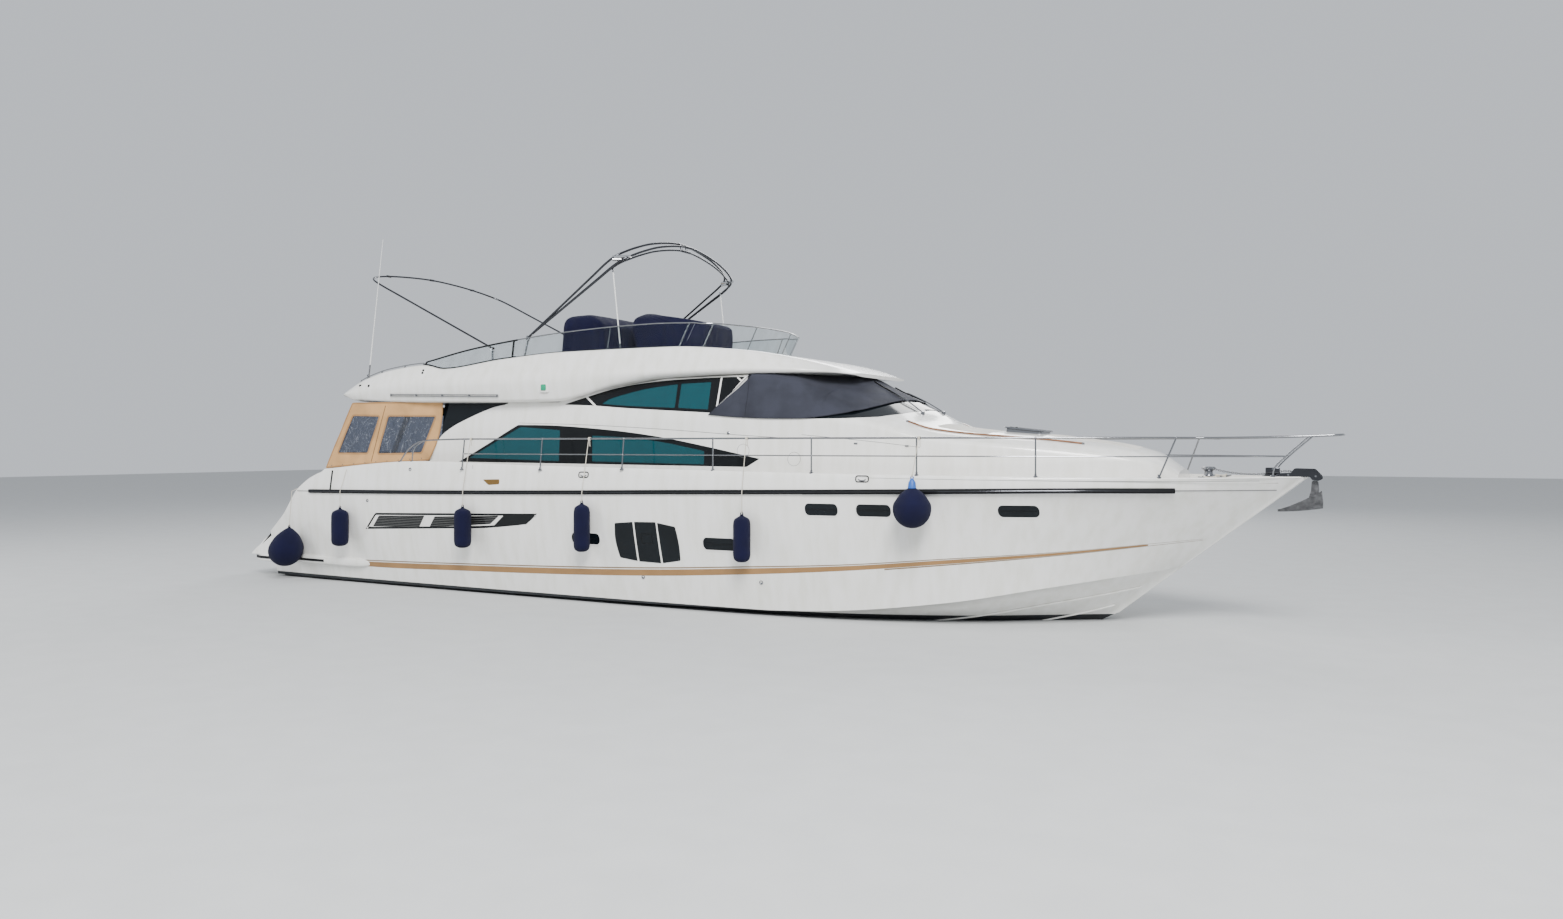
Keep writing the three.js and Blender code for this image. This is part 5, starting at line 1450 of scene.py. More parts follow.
def make_cover_edges():
    """The cover's hem and seams."""
    made = Shape()
    rows = cover_half()
    for side in (-1, 1):
        def shown(points):
            return [Vector((p.x, abs(p.y) * side, p.z)) for p in points]

        made.tube(shown([row[0] for row, _ in rows]), 0.007, 6)
        made.tube(shown([cover_point(1.39 + 0.67 * k / 20, 3.15 + 0.635 * k / 20) for k in range(21)]),
                  0.006, 6)
        made.tube(shown([cover_point(COVER_CORNER, z) for z in spread(3.10, 3.77, 16)]), 0.004, 6)
    return made


cover = piece("windscreen_mesh_cover", make_cover(), ["mesh"], slot="mesh_fabric",
              replaces=("windscreen_cover",), angle=60)
cover_edges = piece("windscreen_cover_hems", make_cover_edges(), ["mesh_edge"], slot="mesh_fabric")


# Flying bridge. Columns: x, half-breadth of the lower edge, then half-breadth and height of the side's
# fullest line, then the same of the coaming's top
FLY = [
    (-7.36, 1.94, 2.0, 3.625, 1.95, 3.655),
    (-7.22, 2.08, 2.15, 3.64, 2.06, 3.70),
    (-7.0, 2.17, 2.25, 3.66, 2.11, 3.79),
    (-6.64, 2.22, 2.31, 3.70, 2.14, 3.93),
    (-5.86, 2.24, 2.34, 3.75, 2.17, 4.10),
    (-5.03, 2.24, 2.34, 3.78, 2.17, 4.17),
    (-4.5, 2.24, 2.34, 3.79, 2.16, 4.08),
    (-3.1, 2.22, 2.315, 3.8, 2.11, 4.22),
    (-1.7, 2.18, 2.265, 3.81, 2.05, 4.305),
    (0.5, 2.06, 2.13, 3.86, 1.92, 4.32),
    (1.9, 1.9, 1.95, 3.89, 1.72, 4.22),
    (2.7, 1.7, 1.73, 3.88, 1.46, 4.08),
    (3.25, 1.42, 1.43, 3.85, 1.15, 3.94),
    (3.6, 1.08, 1.08, 3.81, 0.85, 3.83),
]


def roof_z(x):
    return pchip(ROOF_LINE, x)[0]


def fly_half(x):
    """One side of a section from the middle of the underside round to the middle of the top."""
    low_y, side_y, side_z, top_y, top_z = pchip(FLY, x)
    floor = min(roof_z(x), side_z - 0.04)
    corners = [(0.02, floor), (low_y - 0.3, floor), (low_y, floor + 0.02), (side_y, side_z),
               (top_y, top_z), (top_y - 0.3, top_z), (0.02, top_z)]
    line = rounded(corners, [0, 0.1, 0.06, 0.14, 0.07, 0.05, 0], 5, closed=False)
    return [Vector((x, p[0], p[1])) for p in line]


def fly_loft():
    count = 108
    rings = []
    for k in range(count + 1):
        half = fly_half(FLY[0][0] + (FLY[-1][0] - FLY[0][0]) * k / count)
        rings.append(half + flipped(half))
    return Shape().loft(rings)


COAMING = 0.235  # from the coaming's top edge in to the well


def fly_well(aft, fore, floor):
    """What a deck's well takes out of the moulding."""
    edge = []
    x = aft
    while x <= fore + 1e-6:
        edge.append((x, pchip(FLY, x)[3] - COAMING))
        x += (fore - aft) / 40
    line = [*edge, *[(x, -y) for x, y in reversed(edge)]]
    return Shape().prism(rounded(line, [0.25 if k in (0, len(edge) - 1, len(edge), len(line) - 1) else 0
                                        for k in range(len(line))], 6), "z", floor, 5.0)


def make_fly():
    return carve(fly_loft(), [fly_well(-6.8, 0.9, 3.85), fly_well(-6.8, -1.15, 3.6)])


piece("flybridge_moulding", make_fly(), ["gelcoat"], slot="gelcoat", replaces=("flybridge",))


# Fittings of the flying bridge
FLY_TREE = tree_of(fly_loft())


def fly_side(x, z):
    """The flying bridge's starboard side at x, z."""
    place, _, _, _ = FLY_TREE.ray_cast(Vector((x, -4, z)), Vector((0, 1, 0)))
    return place.y if place else -2.2


def fly_top(x):
    """The height of the coaming's top at x."""
    return pchip(FLY, x)[4]


# Clear screens round the coaming. Columns: x, half-breadth and height of the top, how far it leans forward
SCREEN_LINE = [(-5.0, 2.08, 4.23, 0.0), (-3.9, 2.055, 4.43, 0.0), (-2.85, 2.015, 4.56, 0.01),
               (-1.65, 1.955, 4.665, 0.02), (-0.6, 1.895, 4.715, 0.04), (0.15, 1.84, 4.73, 0.11),
               (0.7, 1.72, 4.72, 0.2)]
SCREEN_FRONT = [(0.71, 1.71), (0.98, 1.56), (1.19, 1.05), (1.34, 0.5), (1.38, 0.0)]
SCREEN_T = 0.010
SCREEN_LEAN = 0.040
FRONT_RAKE, FRONT_TOP = 0.21, 4.70


def side_rows():
    """Foot and top of the starboard screen from aft to forward."""
    rows = []
    for x in spread(-5.0, 0.69, 57):
        y, top, rake = pchip(SCREEN_LINE, x)
        rows.append((Vector((x, -y, fly_top(x) - 0.004)), Vector((x + rake, -y + SCREEN_LEAN, top))))
    return rows


def front_rows():
    """Foot and top of the front screen from starboard to port."""
    plan = [(x, -y) for x, y in SCREEN_FRONT] + [(x, y) for x, y in reversed(SCREEN_FRONT[:-1])]
    rows = []
    for p in spline(plan, 8):
        rows.append((Vector((p.x, p.y, fly_top(p.x) - 0.004)),
                     Vector((p.x + FRONT_RAKE, p.y, FRONT_TOP))))
    return rows


def screen_sheet(rows):
    """A clear sheet of even thickness through rows of foot and top."""
    rings = []
    for i, (foot, top) in enumerate(rows):
        along = rows[min(i + 1, len(rows) - 1)][0] - rows[max(i - 1, 0)][0]
        out = Vector((along.y, -along.x, 0)).normalized() * SCREEN_T
        rings.append([foot, foot + out, top + out, top])
    return Shape().loft(rings)


def rows_between(rows, start, end):
    return [row for row in rows if start <= row[0].x <= end]


POST_FOOT = [(0.03, 0.002), (0.03, 0.008), (0.018, 0.016), (0, 0.016)]


def make_screen_frame():
    """Dark trim aft, gaskets under the screens, a bright rail on their tops, and posts behind them."""
    made = Shape()
    aft = rows_between(side_rows(), -5.1, -2.8)
    fore = rows_between(side_rows(), -2.86, 0.8)
    for sign in (-1, 1):
        part = Shape()
        part.tube([top + Vector((0, -0.005, 0.002)) for _, top in aft], 0.017, 8, 1)
        part.tube([foot + Vector((0, -0.012, 0.012)) for foot, _ in aft], 0.018, 8, 1)
        part.tube([foot + Vector((0, -0.005, 0.006)) for foot, _ in fore], 0.013, 8, 1)
        part.tube([aft[0][0] + Vector((-0.004, -0.012, 0.012)), aft[0][1] + Vector((-0.004, -0.005, 0))],
                  0.019, 8, 1)
        for x, radius, mat in ((-2.86, 0.020, 1), (-0.8, 0.011, 0), (0.62, 0.012, 0)):
            foot, top = min(side_rows(), key=lambda row: abs(row[0].x - x))
            inner = Vector((0, 0.016, 0))
            part.tube([foot + inner, top + inner], radius, 10, mat)
            part.lathe(POST_FOOT, foot + inner, (0, 0, 1), 14, mat)
        made.join(part.side(sign))
    front = front_rows()
    rail = [top + Vector((0, -0.004, 0.005)) for _, top in fore]
    rail += [top + Vector((0.005, 0, 0.006)) for _, top in front[2:-2]]
    rail += flipped([top + Vector((0, -0.004, 0.005)) for _, top in fore])
    made.tube(rail, 0.012, 10, 0)
    made.tube([foot + Vector((0.005, 0, 0.006)) for foot, _ in front], 0.009, 8, 1)
    for i in (8, 22, len(front) - 23, len(front) - 9):
        foot, top = front[i]
        back = Vector((-0.016, 0, 0))
        made.tube([foot + back, top + back], 0.011, 10, 0)
        made.lathe(POST_FOOT, foot + back, (0, 0, 1), 14, 0)
    return made


pair("fly_screen_sheet", lambda s: screen_sheet(side_rows()).side(s), ["acrylic"], "clear_acrylic",
     "fly_screen")
piece("fly_screen_front_sheet", screen_sheet(front_rows()), ["acrylic"], slot="clear_acrylic",
      replaces=("fly_screen_front",))
piece("fly_screen_frame", make_screen_frame(), ["stainless", "black"], slot="stainless")


# Feet of the awning's bows. Columns: x and z of the pin, x and z of the upper corner, height of the crown
FORE_BOW = (-2.62, 4.62, -0.33, 6.01, 6.37)
AFT_BOW = (-3.5, 4.45, -6.96, 6.08, 6.20)
BOW_Y = 1.88


def make_bow_feet(sign):
    made = Shape()
    for (pin_x, pin_z, *_), foot_x in ((FORE_BOW, -2.79), (AFT_BOW, -3.48)):
        low = Vector((foot_x, -BOW_Y, 4.0))
        high = Vector((pin_x, -BOW_Y, pin_z))
        along = (high - low).normalized()
        seat = low + along * ((fly_top(foot_x) - 4.0) / along.z)
        made.lathe([(0.055, -0.01), (0.055, 0.006), (0.046, 0.012), (0.024, 0.016), (0, 0.016)], seat,
                   (0, 0, 1), 20)
        made.tube([seat, high - along * 0.062], 0.019, 14)
        made.tube([high - along * 0.075, high - along * 0.05], [0.024, 0.024], 14)
        for offset in (-0.031, 0.031):
            cheek = [Vector((pin_x, 0, pin_z)) + Vector((math.cos(a), 0, math.sin(a))) * 0.027
                     for a in angles(20)]
            made.prism([(p.x, p.z) for p in cheek], "y", -BOW_Y + offset - 0.003, -BOW_Y + offset + 0.003)
            base = high - along * 0.056
            made.tube([base + Vector((0, offset, 0)), high + Vector((0, offset, 0))], 0.003, 6)
            side = along.cross(Vector((0, 1, 0))).normalized() * 0.016
            plate = [base + side, base - side, high - side, high + side]
            made.prism([(p.x, p.z) for p in plate], "y", -BOW_Y + offset - 0.0028,
                       -BOW_Y + offset + 0.0028)
        bridge = high - along * 0.054
        made.tube([bridge + Vector((0, -0.034, 0)), bridge + Vector((0, 0.034, 0))], 0.012, 10)
    return made.side(sign)


pair("bimini_feet", make_bow_feet, ["stainless"], "stainless")


# Small things on the coaming's sides: rails, lights, vents, drains
RAIL_X = (-5.70, -3.03)


def make_side_rails(sign):
    """Twin bars under the lip with their brackets, and a low rail on the coaming."""
    made = Shape()
    for z0, z1 in ((3.612, 3.548), (3.582, 3.516)):
        line = [(x, fly_side(x, z) - 0.022, z) for x, z in zip(spread(*RAIL_X, 24), spread(z0, z1, 24))]
        made.tube(line, 0.008, 8)
    for x, z in zip(spread(*RAIL_X, 4), spread(3.597, 3.532, 4)):
        y = fly_side(x, z)
        made.block((x - 0.012, y - 0.032, z - 0.028), (x + 0.012, y + 0.01, z + 0.028), 0.006, 2)
    top = []
    for x in spread(-6.78, -5.02, 14):
        top.append((x, -pchip(FLY, x)[3] + 0.06, fly_top(x) + 0.034))
    made.tube(top, 0.011, 8)
    for k in (0, 5, 10, 14):
        x, y, z = top[k]
        made.tube([(x, y, z), (x, y, z - 0.05)], 0.009, 8)
        made.lathe([(0.024, -0.036), (0.024, -0.028), (0.012, -0.02), (0, -0.02)], (x, y, z), (0, 0, 1),
                   12)
    return made.side(sign)


def make_side_fittings(sign):
    made = Shape()
    for x, z, r in ((-4.93, 4.055, 0.017), (-4.93, 4.005, 0.017), (-6.33, 3.79, 0.019),
                    (-6.62, 3.80, 0.02)):
        y = fly_side(x, z)
        made.lathe([(r * 1.5, -0.01), (r * 1.5, 0.004), (r, 0.008), (r * 0.8, 0.004), (0, 0.004)],
                   (x, y, z), (0, -1, 0.1), 16)
    return made.side(sign)


def make_nav_light(sign):
    """A lens in its moulded housing."""
    y = fly_side(-1.95, 3.66)
    made = Shape()
    made.block((-2.045, y - 0.018, 3.565), (-1.855, y + 0.03, 3.755), 0.03, 3, 0)
    made.block((-2.008, y - 0.036, 3.602), (-1.892, y + 0.01, 3.718), 0.02, 3, 1)
    return made.side(sign)


pair("fly_side_rails", make_side_rails, ["stainless"], "stainless")
pair("fly_side_fittings", make_side_fittings, ["rubber"], "rubber")
for side, sign in SIDES:
    piece(f"side_light_{side}", make_nav_light(sign),
          ["gelcoat", "green_lens" if sign < 0 else "red_lens"], slot="clear_acrylic")


# Decks of the flying bridge: planked panels, and a step between the two levels
def well_plan(aft, fore, inset_by):
    """The floor of a well in plan, inside its walls."""
    edge = [(x, pchip(FLY, x)[3] - COAMING - inset_by) for x in spread(aft, fore, 20)]
    return [*edge, *[(x, -y) for x, y in reversed(edge)]]


def panel(shape, outline, z, radius, height=0.004, mat=0, z_low=None):
    """A low raised panel with a soft edge."""
    line = rounded(outline, radius, 5)
    rings = []
    for h, pull in ((0.0 if z_low is None else z_low - z, 0.0), (height * 0.6, 0.0), (height, 0.003)):
        rings.append([(p[0], p[1], z + h) for p in (inset(line, pull) if pull else line)])
    return shape.loft(rings, mat)


def make_fly_decks():
    made = Shape()
    for aft, fore, z in ((-6.74, -1.20, 3.598), (-1.10, 0.84, 3.848)):
        made.prism(rounded(well_plan(aft, fore, 0.05), 0.12, 4), "z", z, z + 0.0055)
    return made


def make_fly_step():
    made = Shape()
    made.block((-1.52, 0.95, 3.601), (-1.152, 1.62, 3.725), 0.02, 3, 0)
    made.block((-1.50, 0.98, 3.722), (-1.17, 1.59, 3.731), 0.004, 2, 1)
    return made


piece("fly_deck_panels", make_fly_decks(), ["teak"], slot="teak")
piece("fly_step", make_fly_step(), ["gelcoat", "teak"], slot="gelcoat")


# Fitted covers over the helm console and the seats, with folds that grow towards the hem.
# Columns: height, aft and forward x, how far the ends pull in
CONSOLE_COVER = [(3.875, -1.03, 0.42, 0.0), (4.2, -1.06, 0.41, 0.0), (4.58, -1.16, 0.40, 0.006),
                 (4.66, -1.19, 0.40, 0.012), (4.80, -1.24, 0.40, 0.025), (4.87, -1.24, 0.33, 0.04),
                 (4.94, -1.24, 0.02, 0.07), (5.01, -1.23, -0.36, 0.12), (5.06, -1.22, -0.66, 0.20),
                 (5.11, -1.21, -0.92, 0.32), (5.14, -1.20, -1.04, 0.43)]
SEAT_COVER = [(3.625, -2.53, -1.54, 0.0), (4.2, -2.525, -1.54, 0.0), (4.5, -2.52, -1.54, 0.004),
              (4.86, -2.51, -1.56, 0.012), (4.94, -2.50, -1.62, 0.025), (5.01, -2.47, -1.74, 0.05),
              (5.06, -2.43, -1.86, 0.11), (5.09, -2.37, -1.96, 0.20), (5.10, -2.30, -2.04, 0.33)]


def resample(points, count):
    """Evenly spaced points round a closed outline."""
    pts = [Vector((p[0], p[1])) for p in points]
    pts.append(pts[0])
    lengths = [0.0]
    for a, b in zip(pts, pts[1:]):
        lengths.append(lengths[-1] + (b - a).length)
    made, i = [], 0
    for k in range(count):
        want = lengths[-1] * k / count
        while lengths[i + 1] < want:
            i += 1
        share = (want - lengths[i]) / max(lengths[i + 1] - lengths[i], 1e-9)
        made.append(pts[i].lerp(pts[i + 1], share))
    return made


def cover_shell(table, y0, y1, seed, count=150, levels=46):
    """Rings of a loose cover from its hem up to its crown."""
    low, high = table[0][0], table[-1][0]
    middle = (y0 + y1) / 2
    rings = []
    for k in range(levels + 1):
        share = 1 - (1 - k / levels) ** 1.6
        z = low + (high - low) * share
        aft, fore, pull = pchip(table, z)
        corners = [(aft, middle), (aft, y0 + pull), (fore, y0 + pull), (fore, y1 - pull),
                   (aft, y1 - pull)]
        ring = resample(rounded(corners, [0, 0.09, 0.09, 0.09, 0.09], 5), count)
        depth = (1 - share) ** 1.3
        made = []
        for i, p in enumerate(ring):
            along = (ring[(i + 1) % count] - ring[i - 1]).normalized()
            out = Vector((along.y, -along.x))
            if out.dot(p - Vector(((aft + fore) / 2, middle))) < 0:
                out = -out
            around = i / count * 2 * math.pi
            warp = noise.noise(Vector((math.cos(around) * 2 + seed, math.sin(around) * 2, z * 0.6))) * 2.2
            fold = math.sin(around * 17 + warp * 3.0) * (0.004 + 0.016 * depth)
            slack = noise.noise(Vector((p.x * 3 + seed, p.y * 3, z * 4))) * 0.012
            moved = p + out * (fold + slack)
            drop = noise.noise(Vector((p.x * 2.3, p.y * 2.3, seed))) * 0.012 * share
            made.append(Vector((moved.x, moved.y, z + drop)))
        rings.append(made)
    return rings


def cover_mesh(rings):
    """The cover's cloth: its rings, and a crown closed across from side to side."""
    count = len(rings[0])
    verts = [p for ring in rings for p in ring]
    faces = []
    for r in range(len(rings) - 1):
        for i in range(count):
            j = (i + 1) % count
            faces.append([r * count + i, r * count + j, (r + 1) * count + j, (r + 1) * count + i])
    top = len(rings) - 1
    for i in range(1, count // 2):
        a, b = top * count + i, top * count + (i + 1)
        c, d = top * count + count - i - 1, top * count + count - i
        faces.append([a, b, c, d] if b != c else [a, b, d])
    faces.append([top * count, top * count + 1, top * count + count - 1])
    return thick_sheet(verts, faces, 0.0025)


def make_cover_hem(rings):
    """A roped hem and one seam above it."""
    made = Shape().tube([p + Vector((0, 0, 0.004)) for p in rings[0]], 0.006, 6, 0, closed=True)
    band = len(rings) // 5
    return made.tube(rings[band], 0.0035, 5, 0, closed=True)


def add_cover(name, node, table, y0, y1, seed):
    rings = cover_shell(table, y0, y1, seed)
    cloth = piece(name, cover_mesh(rings), ["navy"], slot="navy_fabric", replaces=(node,), angle=60)
    hem = piece(name + "_hem", make_cover_hem(rings), ["navy_edge"], slot="navy_fabric")
    return cloth, hem


# Each cover with its hem, the cloth's flat width and length, and its flat area
COVERS = [(*add_cover("helm_console_cover", "fly_console", CONSOLE_COVER, -0.64, 0.44, 1.0), (3.4, 3.4),
           7.3),
          (*add_cover("fly_seat_cover", "fly_seat", SEAT_COVER, -1.09, 0.89, 5.0), (4.1, 4.4), 9.8)]


# Whip aerial on its ratchet mount, with its thin lead beside it
def make_whip():
    foot, tip = Vector((-6.64, -2.01, 3.945)), Vector((-6.24, -2.01, 6.70))
    made = Shape()
    made.lathe([(0.05, -0.012), (0.05, 0.008), (0.04, 0.016), (0.026, 0.03), (0.026, 0.07), (0, 0.075)],
               foot - Vector((0, 0, 0.01)), (0, 0, 1), 20, 1)
    made.lathe([(0.018, -0.028), (0.02, -0.02), (0.02, 0.02), (0.018, 0.028), (0, 0.03)],
               foot + Vector((0, 0, 0.075)), (0, 1, 0), 14, 1)
    along = (tip - foot).normalized()
    start = foot + along * 0.07
    made.tube([start, start + along * 0.22], 0.014, 12, 1)
    points = [start.lerp(tip, share) for share in spread(0, 1, 12)]
    return made.tube(points, spread(0.0125, 0.0045, 12), 12, 0)


piece("whip_aerial_mast", make_whip(), ["white_tube", "stainless"], slot="gelcoat",
      replaces=("whip_aerial",))


# Bimini frame, folded open without its cloth
TUBE_R = 0.020


def hoop_line(bow, steps=9):
    """A bow from its starboard pin up, across and down to its port pin."""
    pin_x, pin_z, end_x, end_z, crown = bow
    rise = crown - end_z

    def at(part, y, lift=0.0):
        return Vector((pin_x + (end_x - pin_x) * part, y, pin_z + (end_z - pin_z) * part + lift))

    half = [at(0, -BOW_Y), at(0.35, -BOW_Y), at(0.7, -BOW_Y), at(0.84, -BOW_Y), at(0.92, -BOW_Y + 0.05),
            at(0.965, -BOW_Y + 0.19, rise * 0.06), at(0.99, -BOW_Y + 0.46, rise * 0.27),
            at(1, -BOW_Y + 0.98, rise * 0.66)]
    return spline([*half, at(1, 0, rise), *flipped(half)], steps)


def bow_boss(shape, pin_x, pin_z):
    for y in (-BOW_Y, BOW_Y):
        shape.lathe([(0.018, -0.026), (0.025, -0.022), (0.0255, 0.0), (0.025, 0.022), (0.018, 0.026),
                     (0, 0.026)],
                    (pin_x, y, pin_z), (0, 1, 0), 20)
    return shape


def make_forward_bows():
    made = bow_boss(Shape(), FORE_BOW[0], FORE_BOW[1])
    ends = ((-0.33, 6.01, 6.36, TUBE_R), (-0.50, 6.09, 6.43, TUBE_R), (-0.40, 5.945, 6.29, 0.017))
    lines = []
    for end_x, end_z, crown, radius in ends:
        line = hoop_line((FORE_BOW[0], FORE_BOW[1], end_x, end_z, crown))
        lines.append(line)
        made.tube(line, radius, 14)
    for sign in (-1, 1):
        for part in (0.925, 0.96):
            spots = []
            height = FORE_BOW[1] + (FORE_BOW[3] - FORE_BOW[1]) * part
            for line in lines:
                near = [p for p in line if p.y * sign > 0]
                spots.append(min(near, key=lambda p: abs(p.z - height)))
            spots.sort(key=lambda p: p.z)
            # Clamps in the second finish: stainless brightened as painted highlight
            made.tube([spots[0] - Vector((0.03, 0, -0.004)), spots[-1] + Vector((0.03, 0, -0.004))],
                      0.029, 14, 1)
    centre = [line[len(line) // 2] for line in lines]
    centre.sort(key=lambda p: p.z)
    for y in (-0.09, 0.09):
        offset = Vector((0, y, 0))
        made.tube([centre[0] + offset - Vector((0.03, 0, 0)), centre[-1] + offset + Vector((0.03, 0, 0))],
                  0.019, 12)
    for p in centre:
        made.tube([p + Vector((0, -0.13, -0.001)), p + Vector((0, 0.13, -0.001))], TUBE_R + 0.0045, 12)
    return made


def make_aft_bow():
    made = bow_boss(Shape(), AFT_BOW[0], AFT_BOW[1])
    line = hoop_line(AFT_BOW)
    made.tube(line, TUBE_R - 0.002, 14)
    for y in (-1.2, 0.0, 1.2):
        p = min(line, key=lambda q: abs(q.y - y))
        made.tube([p + Vector((0, -0.05, 0)), p + Vector((0, 0.05, 0))], TUBE_R + 0.004, 12)
    return made


# The tubes are stainless darkened as painted dark reflection; their clamps are stainless brightened as
# painted highlight
piece("bimini_forward_tubes", make_forward_bows(), ["stainless_painted_shade", "stainless_painted_highlight"],
      body="bimini_forward_bows", slot="stainless", replaces=("bimini_forward_bows",))
piece("bimini_aft_tube", make_aft_bow(), ["stainless_painted_shade"], body="bimini_aft_bow", slot="stainless",
      replaces=("bimini_aft_bow",))


STRUT_TOP_X, STRUT_FOOT_X, STRUT_Y = -0.75, -0.58, -1.82


def make_strut(sign):
    pin_x, pin_z, end_x, end_z, _ = FORE_BOW
    top_z = pin_z + (STRUT_TOP_X - pin_x) * (end_z - pin_z) / (end_x - pin_x)
    top = Vector((STRUT_TOP_X, STRUT_Y, top_z))
    foot = Vector((STRUT_FOOT_X, STRUT_Y, fly_top(STRUT_FOOT_X) + 0.013))
    along = (foot - top).normalized()
    made = Shape()
    made.tube([top + along * 0.05, foot - along * 0.06], 0.0115, 12, 0)
    made.tube([top - along * 0.004, top + along * 0.07], 0.0145, 12, 1)
    made.tube([foot - along * 0.09, foot - along * 0.01, foot], [0.015, 0.015, 0.009], 12, 1)
    made.lathe([(0.014, -0.013), (0.014, 0.040), (0.010, 0.0425), (0, 0.0425)], top, (0, -1, 0), 14, 1)
    return made.side(sign)


for side, sign in SIDES:
    piece(f"bimini_strut_tube_{side}", make_strut(sign), ["white_tube", "stainless"],
          body=f"bimini_strut_{side}", slot="white_tube", replaces=(f"bimini_strut_{side}",))


def make_strut_sockets(sign):
    made = Shape()
    made.lathe([(0.036, -0.01), (0.036, 0.003), (0.030, 0.006), (0.0, 0.006)],
               (STRUT_FOOT_X, STRUT_Y, fly_top(STRUT_FOOT_X)), (0, 0, 1), 18)
    return made.side(sign)


pair("strut_sockets", make_strut_sockets, ["stainless"], "stainless")


# Guard rails, their stanchions, and the pulpit round the bow
RAIL_TOP, RAIL_MIDDLE = 2.74, 2.47
RAIL_JOINT = 8.9
RAIL_FOOT = [(0.034, -0.012), (0.034, 0.004), (0.026, 0.010), (0, 0.012)]
# The x of each stanchion's top and of its foot
STANCHIONS = [(-3.6, -3.6), (-1.76, -1.76), (0.0, 0.0), (1.75, 1.75), (3.5, 3.5), (5.17, 5.17),
              (6.85, 6.85), (8.66, 8.44)]


def rail_point(x, z):
    return Vector((x, -(at_x(SHEER, x).y - 0.04), z))


def rail_base(x):
    return rail_point(x, at_x(SHEER, x).z)


def stanchion_foot(x):
    """Forward the feet stand on the sheer; aft they stand lower, on the outside of the coaming."""
    foot = rail_base(x)
    drop = min(max(0.13 * (1 - (x + 3.6) / 4.6), 0.0), 0.13)
    if drop > 0.004:
        foot = Vector((x, min(foot.y, surface_y(x, foot.z - drop) - 0.012), foot.z - drop))
    return foot


def rail_tops():
    """The whole top rail from its aft end to the middle of the pulpit."""
    pts = [rail_base(-5.26), rail_point(-5.05, 2.54), rail_point(-4.83, 2.665), rail_point(-4.60, 2.712),
           rail_point(-4.25, 2.728), rail_point(-3.6, 2.74)]
    x = -2.8
    while x < 9.4:
        pts.append(rail_point(x, RAIL_TOP))
        x += 0.6
    pts += [Vector((10.2, -0.4, 2.76)), Vector((10.71, -0.32, 2.78)), Vector((10.762, -0.24, 2.785)),
            Vector((10.77, -0.12, 2.785)), Vector((10.77, 0, 2.785))]
    return spline(pts, 6)


def split_at(line, x):
    """The parts of a line before and after x, which meet there."""
    before = [p for p in line if p.x < x - 0.01]
    after = [p for p in line if p.x > x + 0.01]
    a, b = before[-1], after[0]
    middle = a.lerp(b, (x - a.x) / (b.x - a.x))
    return [*before, middle], [middle, *after]


def ball(shape, centre, radius, mat=0):
    profile = [(radius * math.sin(k * math.pi / 8),
                -radius * math.cos(k * math.pi / 8)) for k in range(9)]
    return shape.lathe(profile, centre, (0, 0, 1), 14, mat)


def make_guard_rail(sign):
    made = Shape()
    line, _ = split_at(rail_tops(), RAIL_JOINT)
    made.tube(line, 0.0145, 12)
    middle = [rail_point(x, RAIL_MIDDLE) for x in spread(-3.6, RAIL_JOINT, 90)]
    made.tube(middle, 0.0095, 10)
    for top_x, foot_x in STANCHIONS:
        foot, top = stanchion_foot(foot_x), rail_point(top_x, RAIL_TOP)
        made.tube([foot - Vector((0, 0, 0.01)), top - (top - foot).normalized() * 0.006], 0.0125, 12)
        made.lathe([(0.036, -0.012), (0.036, 0.005), (0.030, 0.010), (0.018, 0.014), (0.017, 0.045),
                    (0, 0.045)],
                   foot, (0, 0, 1), 18)
        ball(made, top, 0.021)
        share = (RAIL_MIDDLE - foot.z) / (top.z - foot.z)
        ball(made, foot.lerp(top, share), 0.017)
    made.lathe(RAIL_FOOT, rail_base(-5.26), (0, 0, 1), 18)
    brace = spline([rail_base(-4.94), rail_point(-4.93, 2.44), rail_point(-4.89, 2.55),
                    rail_point(-4.80, 2.63), rail_point(-4.66, 2.70)], 6)
    made.tube(brace, 0.0115, 10)
    made.lathe(RAIL_FOOT, rail_base(-4.94), (0, 0, 1), 18)
    return made.side(sign)


def make_pulpit():
    made = Shape()
    _, half = split_at(rail_tops(), RAIL_JOINT + 0.0005)
    whole = half[:-1] + flipped(half)
    made.tube(whole, 0.0145, 12)
    for sign in (-1, 1):
        part = Shape()
        part.tube([half[0], half[0] + Vector((0.10, 0.035, 0))], 0.0185, 12)
        leg = spline([(9.86, -0.30, 2.17), (9.885, -0.305, 2.30), (10.02, -0.33, 2.46),
                      (10.34, -0.372, 2.757)], 7)
        part.tube(leg, 0.0125, 12)
        part.lathe([(0.036, -0.012), (0.036, 0.006), (0.028, 0.012), (0, 0.014)], (9.86, -0.30, 2.185),
                   (0, 0, 1), 18)
        middle = spline([rail_point(RAIL_JOINT + 0.0005, RAIL_MIDDLE), rail_point(9.45, RAIL_MIDDLE),
                         (9.85, -0.45, RAIL_MIDDLE), (10.03, -0.332, RAIL_MIDDLE)], 7)
        part.tube(middle, 0.0095, 10)
        made.join(part.side(sign))
    return made


pair("guard_rail_tubes", make_guard_rail, ["stainless"], "stainless", "guard_rail")
piece("pulpit_tubes", make_pulpit(), ["stainless"], slot="stainless", replaces=("pulpit",))


# Cleats, fairleads, deck fillers, and belayed ends of rope on the bow cleats
BOW_CLEAT, BOW_CLEAT_TURN = Vector((9.05, -0.62, DECK_Z + 0.004)), 0.45


